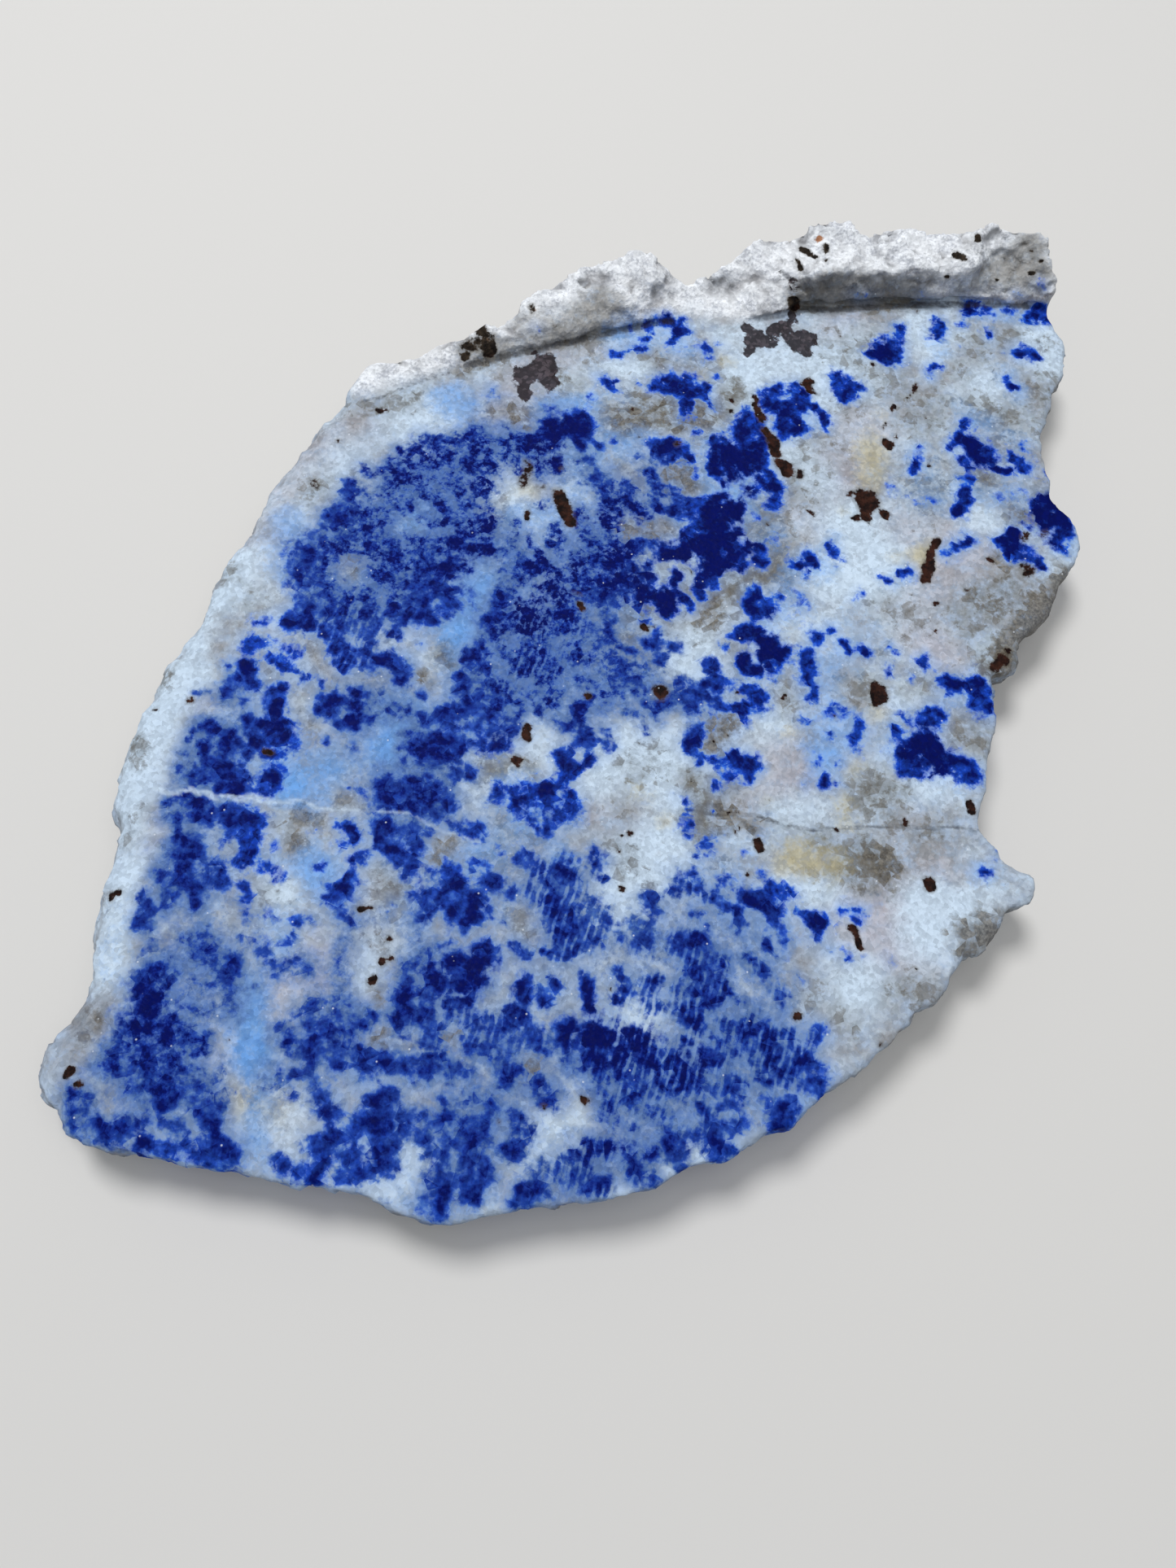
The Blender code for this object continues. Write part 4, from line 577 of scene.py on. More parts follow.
    (0.95, 0.8, -14.2, 67.5, -13.8, 66.3, -13, 65.3), (0.98, 0.8, -9, 67.5, -8.4, 67, -8.5, 70.3),
    (0.98, 1, -4, 68.4, -2.8, 68, -2.3, 68.8, -5, 67.3),
    (0.95, 1.3, -5.5, 74, -6, 73, -5.3, 71.7, -6.5, 72.3), (0.8, 1, -3.3, 76.5, -3, 77),
    (0.9, 1, -1.3, 77.3, -1.6, 76, -0.8, 76.6), (0.9, 1.1, -0.8, 78.3, 0, 78.8),
    (0.95, 1.3, -1.5, 74, -2.3, 74.7, -1, 72.7, -1.7, 71.5), (0.8, 0.6, -3, 72, -2.8, 72.4),
    (0.98, 1.4, 0.6, 78, 0.8, 76.5, 1, 75, 0.5, 73.5),
    (0.98, 1.1, 1.5, 79.3, 2.8, 77.8, 3.2, 76.5, 3.7, 75.7),
    (0.95, 1.3, 2.3, 81, 2, 80, 3.5, 79.7, 4.7, 79.5), (0.85, 1.5, 1, 71.5, 2.3, 71.3, 1.5, 72.7),
    (0.75, 1, 1.3, 69, 2, 68, 1.2, 67.7), (0.95, 0.8, 0.5, 66, 1.3, 65.5),
    (0.98, 1.3, 3.3, 73.8, 4.5, 73.7, 5.7, 74.5, 6, 73), (0.95, 1, 2.3, 83.3, 1.7, 84),
    (0.9, 1.3, 3.3, 86.7, 4, 85.7, 4.7, 84.7, 4.9, 83.5), (0.85, 0.7, 5.3, 83.7, 6, 84),
    (0.75, 1, 3, 88.5, 3.7, 87.7), (0.95, 0.9, 6.5, 90.7, 6.7, 89.3, 7, 88.3),
    (0.98, 1, 6.7, 86.7, 6.3, 85.7, 7.1, 85.5), (0.95, 0.9, 7.7, 88.3, 9, 88, 10.3, 87.7),
    (0.9, 1.1, 6.2, 95.6, 7.2, 94.7, 8, 94.3, 8.8, 95.3), (0.7, 0.8, 6, 93.3, 6.8, 92.5),
    (0.95, 1.1, 9.5, 93.3, 10.5, 93, 11, 93.8, 10.2, 94.3), (0.6, 0.6, 4.2, 93.3),
    (0.7, 0.8, 11.7, 91.5, 12.2, 91), (0.75, 0.9, 10.5, 100.3, 12, 99.3, 12.3, 98.3),
    (0.95, 0.9, 14.8, 96.6, 15.6, 96.6, 15.3, 95.7), (0.95, 1.6, 18.3, 98.3, 19.5, 98, 18.7, 96.7, 20, 97),
    (0.9, 1, 19, 99.8, 20, 100.3, 21, 99.3), (0.98, 1.4, 17, 94.7, 18.5, 94.3, 19.7, 93.7, 19.3, 92.6),
    (0.9, 1.3, 15.3, 94, 16.3, 93, 15, 92), (0.98, 0.9, 17.2, 92, 17.4, 91),
    (0.95, 0.8, 14.3, 91.8, 14.8, 91.3), (0.9, 0.4, 15.6, 89.6), (0.9, 0.9, 21, 94.5, 21.3, 93),
    (0.98, 0.8, 21, 90.3, 21.7, 89.8), (0.8, 0.8, 20, 88.7),
    (0.98, 1.3, 10.5, 86.3, 12, 86.5, 13.5, 86.3, 15, 87), (0.98, 1.2, 16, 87, 16.5, 86, 15.7, 85),
    (0.98, 1.4, 14.3, 85.3, 14.7, 84, 15.5, 83.3), (0.9, 1, 9.3, 85, 10, 84.7, 11, 85),
    (0.85, 0.8, 18.3, 86.3, 18.5, 85.3, 18.1, 84.6),
    (1, 1.8, 14.7, 82.3, 15.5, 81.3, 14.3, 80.7, 16.5, 81.5),
    (1, 1.8, 15, 79.5, 16.5, 79.8, 17.5, 79, 14, 78.7), (0.98, 0.7, 18.8, 80.5, 18.4, 79.7),
    (0.98, 0.9, 18.3, 78, 18.5, 77.2), (1, 1.5, 14.3, 77.3, 14.6, 76.3, 15.7, 77.7),
    (0.98, 1, 13.7, 75, 13.5, 74.3, 14.5, 74.7), (0.9, 0.5, 13.3, 72.7, 13.6, 72),
    (0.95, 1.3, 11.5, 81.3, 12.7, 81, 12.3, 79.7, 11.3, 80), (0.85, 1.2, 9.5, 79, 8.5, 78.3, 10.5, 78.3),
    (0.85, 0.9, 7.3, 79.3, 7.7, 80), (0.8, 0.7, 12, 82.5, 12.7, 83.5),
    (0.98, 1.4, 6.3, 71.7, 7.7, 71.7, 8.7, 71, 9.3, 72.3), (0.95, 1, 8.5, 70, 9.5, 69.8),
    (0.9, 0.9, 5.5, 70.3, 5.7, 68.7), (0.85, 0.6, 11.3, 71, 12, 70.5, 11, 71.5),
    (0.95, 0.6, 9.8, 73.8, 10.2, 75), (0.8, 0.5, 5.6, 76.5, 6.5, 76.3),
    (0.9, 0.8, 19.5, 70.6, 20.5, 70.5, 20.1, 72, 20.2, 73), (0.85, 1, 20.7, 78, 21, 80),
    (0.6, 0.6, 20.4, 84.7),
    # far right
    (0.95, 1, 19.7, 71.5, 20.2, 70.5, 20, 72.5), (0.95, 1.4, 19, 67.5, 20.3, 67.3, 21.2, 66.3, 22, 65.3),
    (0.95, 0.7, 23.3, 64.6, 23.9, 64.5), (0.9, 0.5, 27, 65, 26.8, 64.3),
    (0.95, 0.5, 28.3, 66.8, 28.9, 67.5, 29.6, 68.3), (0.6, 1, 21.7, 70.7, 22.5, 71.5, 23, 72.8),
    (0.4, 1, 25.5, 73, 26.3, 71.5), (0.85, 0.4, 31, 66.3, 31.6, 65.5), (0.85, 0.35, 34.2, 65.8, 34.5, 65.3),
    (0.6, 0.4, 37.4, 66.4, 37.9, 66), (0.55, 0.6, 33.8, 73.4, 33.8, 72.9),
    (0.98, 0.8, 26.2, 78.3, 27.2, 78.9, 27.9, 78.3, 26.5, 77.8),
    (0.7, 0.6, 26.3, 76.9, 27, 76.5, 25.8, 77.2), (0.95, 0.55, 30.6, 81, 30.7, 80, 31, 79.6),
    (0.7, 0.3, 31.6, 79), (0.5, 0.2, 30.4, 77.6), (0.7, 0.3, 36.4, 76.6, 37, 76.4, 37.7, 75.8),
    (0.95, 0.6, 39.2, 77.2, 40, 77.4, 40.6, 77.6), (0.5, 0.6, 22.7, 82, 23, 81),
    (0.75, 0.5, 45.3, 80.5, 46.5, 81.3, 47.5, 82.2), (0.95, 0.5, 47.6, 82.4, 48.4, 83),
    (0.98, 0.8, 52.6, 82.7, 53.7, 83, 54.5, 83.8, 54.8, 84.3),
    (0.95, 0.9, 53.7, 81.8, 54.5, 81, 54.5, 82.5), (0.7, 0.9, 55.7, 81.5, 56.5, 80.8),
    (0.85, 0.5, 57.3, 79.9, 57.6, 79.3), (1, 1.8, 59, 88.3, 60.2, 88.8, 60.3, 87.3, 59.3, 86.7, 61, 87.8),
    (0.98, 0.6, 60, 89.8, 60.4, 89.5), (0.95, 1.1, 61, 85.8, 61, 84.5, 60.7, 83),
    (0.95, 1.1, 57.3, 86.5, 56.5, 86.3, 57.5, 87.3), (0.98, 0.8, 49, 92, 48.8, 91.2, 48.5, 90.5, 48.3, 89),
    (0.95, 0.6, 48.3, 89.3, 47.8, 88, 47.5, 87), (0.6, 0.5, 49.5, 89.4),
    (0.6, 0.7, 43, 89, 43.8, 88.8, 42.5, 88.7), (0.4, 0.5, 41.2, 89.2, 45, 88.5),
    (0.9, 0.5, 41.9, 94.3, 41.8, 93.3, 42.3, 95), (0.5, 0.7, 43, 96.7, 43, 95.6),
    (0.35, 0.6, 38.7, 91.3, 39.2, 89.5), (0.98, 1.7, 50.3, 98, 51.2, 97, 51.7, 96.3, 50.5, 96),
    (0.95, 0.6, 49, 98.3, 48, 98.3, 47.5, 97.6),
    (0.85, 0.6, 48.5, 99.3, 48.8, 100.7, 49.3, 101.7, 49.7, 102), (0.8, 0.6, 48.5, 95.5, 48.7, 94.5),
    (0.9, 0.6, 53, 94.3, 54.3, 93.8, 55, 94.2), (0.9, 0.7, 55.3, 96.4, 56.2, 95.6, 57, 95.3, 56.7, 94.4),
    (0.5, 0.4, 57.5, 99, 57.3, 97.5), (0.4, 0.8, 54.7, 90, 53.5, 89.3, 56, 90.5), (0.6, 0.5, 60.2, 94),
    (0.9, 1, 22.3, 91.3, 22, 90.2, 22.7, 89.3), (0.8, 0.8, 23.3, 88.5, 22.7, 86.6),
    (0.95, 1, 21, 94.3, 20.3, 93.3, 20.7, 95.5), (0.95, 1.3, 20.5, 99.5, 20.3, 98.3, 21, 97.7, 20.3, 96.5),
    (0.8, 0.4, 19.3, 102.5, 19.3, 101.5), (0.85, 0.9, 21.8, 104.7, 22.7, 105.3, 23.5, 105.7, 21.7, 103.5),
    (0.85, 0.9, 22.3, 102.7, 23, 103), (0.95, 1.1, 26, 106.3, 27, 105, 26.7, 103.7, 25.7, 103),
    (0.95, 1.2, 24.8, 102, 24.3, 101, 25.3, 100.8, 24.3, 99.7),
    (0.95, 0.9, 26.3, 100.3, 26.5, 99.5, 25.3, 98.7, 24.5, 98.3),
    (0.9, 0.5, 28.8, 103.2, 29.3, 102.3, 29.8, 101.2, 30.1, 100.3),
    (0.98, 1.1, 32, 108.2, 31.9, 107, 33, 107.5, 33.7, 106.5, 34.5, 106.9, 33, 105.7),
    (0.85, 0.7, 32.7, 104.8, 32, 105.8),
    (0.98, 0.8, 37.5, 113, 38, 113.8, 38.3, 112.8, 39.3, 112.1, 40.3, 112.3, 40.4, 113.3),
    (0.8, 0.7, 36.7, 112.7, 40.6, 115, 41, 116.3, 41.2, 117.3), (0.5, 0.5, 39.7, 116.2, 35.6, 113.4),
    (0.95, 0.7, 47, 118.6, 46.8, 117.6, 46, 117), (0.7, 0.6, 45.5, 116.7, 46.7, 119.5),
    (0.9, 0.45, 46, 111.7, 45.7, 111), (0.7, 0.4, 45.3, 110.3, 45, 109.7),
    (0.98, 0.9, 57.8, 114.5, 58.7, 115.2, 59.5, 114.7, 60, 114), (0.6, 0.35, 50.5, 118.8, 50.8, 119.2),
    (0.85, 0.4, 53.7, 117.3, 54, 117.6), (0.35, 0.3, 49.6, 115), (0.6, 0.5, 55.9, 110, 55.8, 109),
    (0.95, 0.6, 56.4, 108.2, 56.9, 108.2), (0.85, 0.8, 51.8, 123.2, 51.5, 122.3, 51.3, 121.3),
    (0.6, 0.7, 53.5, 122, 54.5, 121.5, 52.5, 121.3), (0.85, 0.6, 57, 122.2, 57.5, 121.7),
    (0.85, 0.9, 61, 122, 62, 122.3, 61.5, 121.3, 60.5, 120.7, 62.7, 121.3),
    # far left, under the ledge
    (0.85, 0.9, -24.8, 94.7, -23.5, 94.3), (0.7, 0.5, -14.5, 96.9, -13.7, 96.6),
    (0.6, 0.35, -16.2, 103.7, -16.3, 102.7), (0.4, 0.4, -15.2, 102.3),
    (0.8, 0.5, 0.3, 110.3, 1.3, 110.2, 2.3, 110.9, 3.3, 111.7, 4, 112.2, 4.5, 111.9),
    (0.7, 0.5, 3.9, 113.2, 5.5, 113.5), (0.85, 0.4, 2, 115.3, 2.2, 114.3),
    (0.7, 0.5, -1.2, 106, -0.5, 105, 0.3, 105.3), (0.7, 0.45, 0.3, 104.3, 1.3, 103.8),
    (0.6, 0.4, -2.4, 102.8, -2.2, 102.3), (0.45, 0.35, 4, 106),
    (0.95, 1.2, 6.8, 106, 7.8, 105.3, 8.8, 106.3, 9.3, 105),
    (0.98, 1, 10.3, 105, 11.3, 104.3, 12.3, 104.7, 13.2, 105.2),
    (0.95, 1, 11, 107, 10.7, 103, 10.7, 101.7, 10.5, 100.7), (0.85, 0.6, 13.7, 104.3, 14, 103, 14.3, 102.2),
    (0.85, 0.4, 15.1, 107.9, 15, 107.3), (0.85, 0.7, 8.7, 115.6, 9.5, 115, 10.3, 115.3, 9, 114.3),
    (0.7, 0.6, 12.9, 112, 13.5, 112.3, 13, 111.7), (0.4, 0.5, 15.3, 113.2), (0.5, 0.5, 14, 110.5, 13, 110),
    (0.8, 0.8, 6.3, 116.8, 7.3, 117.6, 8.3, 116.5, 5.3, 116), (0.85, 0.5, 10, 116.8, 9.7, 116),
    (0.6, 0.3, -10.5, 114.5, -10.4, 113.8), (0.5, 0.8, 36, 123.3, 37, 123.5),
    (0.6, 1, 8.5, 112.7, 9.5, 112),
]
# Soft sky-blue haze round the grains
HAZE = [
    (0.55, 1.2, -33.3, 7.5, -33.5, 4, -33.5, 2), (0.85, 1.6, -36.6, 18.5, -36, 15, -34.8, 11.5),
    (0.2, 2, -52.5, 26, -52, 20), (0.4, 1.2, -34.5, 27, -33.5, 25.5, -34, 23.8),
    (0.3, 1.2, -31.5, 33.5, -31, 32.2), (0.4, 1, -42.5, 28, -43, 26.5), (0.3, 1.2, -18.7, 28, -19, 24),
    (0.3, 1.5, -16, -2, -9, -2), (0.2, 2, -2, 4, 0, 5), (0.2, 1.5, 3, 19, 5, 18), (0.8, 1.2, -20.6, 52.7),
    (0.7, 1.1, -2.5, 35.4), (0.3, 2.5, 13, 20, 17, 14, 22, 13, 24, 17), (0.3, 2, 14, 27, 18, 29, 21, 30),
    (0.25, 2, 14, 34, 17, 33), (0.25, 2, 15, 8, 18, 9), (0.25, 1.5, 21, 26, 23, 28), (0.2, 0.8, 34, 32.8),
    (0.3, 1.2, 46.9, 37), (0.35, 0.9, 25.5, 9.6), (0.2, 1.5, 22, 22, 20, 24), (0.15, 1.5, 51, 36.5),
    (0.35, 0.8, -45.8, 58.8, -45.5, 57.5), (0.7, 1, -36.2, 43.5, -36, 42.5),
    (0.45, 2, -36, 47, -34, 47, -32, 46.5, -34, 45, -34.5, 43.5), (0.4, 1.5, -31, 45.5, -33, 43, -32, 42),
    (0.4, 1, -36.5, 44.5), (0.8, 1.6, -24.5, 53.5, -22.8, 52.5, -23.5, 50, -24, 48.5, -23.8, 47.8),
    (0.35, 1.2, -31.7, 33.8, -30.5, 33.5, -31, 32.5), (0.35, 1.8, -32.5, 34.5, -30, 33, -29.5, 31.5),
    (0.35, 0.8, -37, 34.3), (0.3, 2, -44, 53, -41, 54.5), (0.3, 1.8, -46, 48.5, -42, 46.5),
    (0.3, 1.5, -31, 63.5, -29.5, 64.5), (0.25, 1.5, -28.5, 51, -27, 46),
    (0.45, 2.2, -16.5, 67, -17.5, 65, -15.5, 63.5), (0.35, 1.5, -18, 58.5, -17, 57),
    (0.4, 2, -23.5, 54, -24, 51, -24, 48), (0.35, 2, -3.5, 58, 0, 60, 2, 57.5),
    (0.35, 2.5, -12, 60, -9, 58, -5, 62), (0.3, 2, -13, 53, -15, 51.5), (0.35, 2.2, -7, 42, -9, 44, -4, 42),
    (0.3, 2, 4, 60, 7, 59), (0.3, 1.5, -6, 54.5, -3.5, 54), (0.35, 1.5, -13, 37, -12.5, 36),
    (0.25, 1.8, -6, 40.5, -9, 38), (0.3, 2, -13, 33.5, -10, 31), (0.3, 2, -22, 37, -23, 39),
    (0.2, 1.5, 17, 38, 19, 37.5, 21.5, 43.5), (0.5, 1.8, 28.5, 54.5, 31, 54, 29, 52, 30.5, 55.5),
    (0.4, 1.2, 28, 50.5, 28.3, 48.8), (0.35, 1.2, 28.8, 60.5, 27.8, 62.5), (0.3, 1.5, 39, 55, 41, 55.3),
    (0.3, 1.3, 22, 62, 20, 61), (0.3, 1.2, 45, 59, 46, 60.5), (0.25, 1.5, 35.5, 54.5, 36, 52),
    (0.3, 1.5, 15, 57.5, 13, 56), (0.3, 1, 32, 66, 31, 64.5), (0.25, 1.5, 30, 62.5, 32, 63),
    (0.2, 1.5, 44, 47, 46, 46.5), (0.6, 1.2, -8.5, 101.2, -3.5, 101.2),
    (0.4, 2, -41.3, 78.5, -41, 76, -40.5, 74), (0.3, 1.3, -40.5, 80, -41.5, 81.5),
    (0.4, 1.8, -22, 100.8, -20.5, 100), (0.3, 3, -27, 81, -28.5, 83, -27, 85),
    (0.3, 2.5, -26, 79.5, -23, 80, -20, 79.5), (0.4, 2, -29, 71.5, -33, 70.5),
    (0.75, 2.2, -16.5, 68.5, -17, 71.5, -16.5, 66.5), (0.4, 1.5, -14.7, 71, -14.5, 69),
    (0.3, 3, -23, 86.5, -21, 90, -24, 91), (0.4, 2, -1.5, 93.5, -1, 96.5, 1, 95),
    (0.35, 2, -1.5, 86.5, -3, 87), (0.35, 1.2, -11.5, 83, -9.5, 84, -7, 83.5),
    (0.4, 3, -11.5, 79, -13.5, 77, -13, 75), (0.4, 2.5, -2.5, 79, -4, 81), (0.35, 2.5, -9.5, 73, -12, 70.5),
    (0.35, 2.5, -6.5, 94, -4.5, 92.5), (0.3, 1.2, 3.5, 95.5, 5, 97), (0.3, 2.5, 17.5, 89, 18.5, 85),
    (0.3, 2, 12.5, 84.5, 11, 83.3), (0.3, 2, 3.5, 71, 3, 68.5), (0.3, 2, 14, 95.5, 13, 93),
    (0.3, 2.5, -25.5, 84.5, -23, 84), (0.3, 2, 19, 91, 17, 88), (0.35, 1.5, 24, 73.5, 25.5, 71.5, 22, 69.5),
    (0.3, 1.2, 27, 77, 25.5, 76.5), (0.3, 1.2, 29.5, 76.5, 29, 79), (0.3, 1, 30.8, 82),
    (0.3, 0.9, 40, 77.8, 38, 75.8), (0.35, 1, 48.5, 83, 46, 81), (0.35, 1.5, 50, 90, 52.5, 89, 55, 90.3),
    (0.3, 2, 44, 88.5, 43, 95), (0.35, 1.2, 61.8, 84, 61, 82), (0.4, 1.2, 24.3, 103.8, 23.3, 104.3),
    (0.35, 1.5, 28.3, 100.5, 28, 102.5), (0.3, 1.2, 52.5, 102, 57.5, 98.5), (0.35, 1, 46.5, 116, 47, 114.3),
    (0.35, 1.2, 55.8, 110.5, 57.5, 107.5), (0.35, 1.5, 53.5, 121.5, 58.5, 121.3), (0.3, 1.2, 40.5, 117.5),
    (0.35, 1.8, -21.5, 101.5, -19.5, 99.5), (0.35, 1.5, 8.5, 112.8, 10.5, 112.3, 6, 114),
    (0.3, 1.5, 0, 112, 2, 113), (0.25, 1.2, -1, 104, 2, 102.5), (0.35, 1.2, 2, 117, 1, 115),
    (0.3, 1.2, 49, 104, 50.3, 103), (0.25, 1.5, 36, 67.5, 32.5, 70), (0.3, 1.2, 23.3, 82, 22.5, 80.5),
]
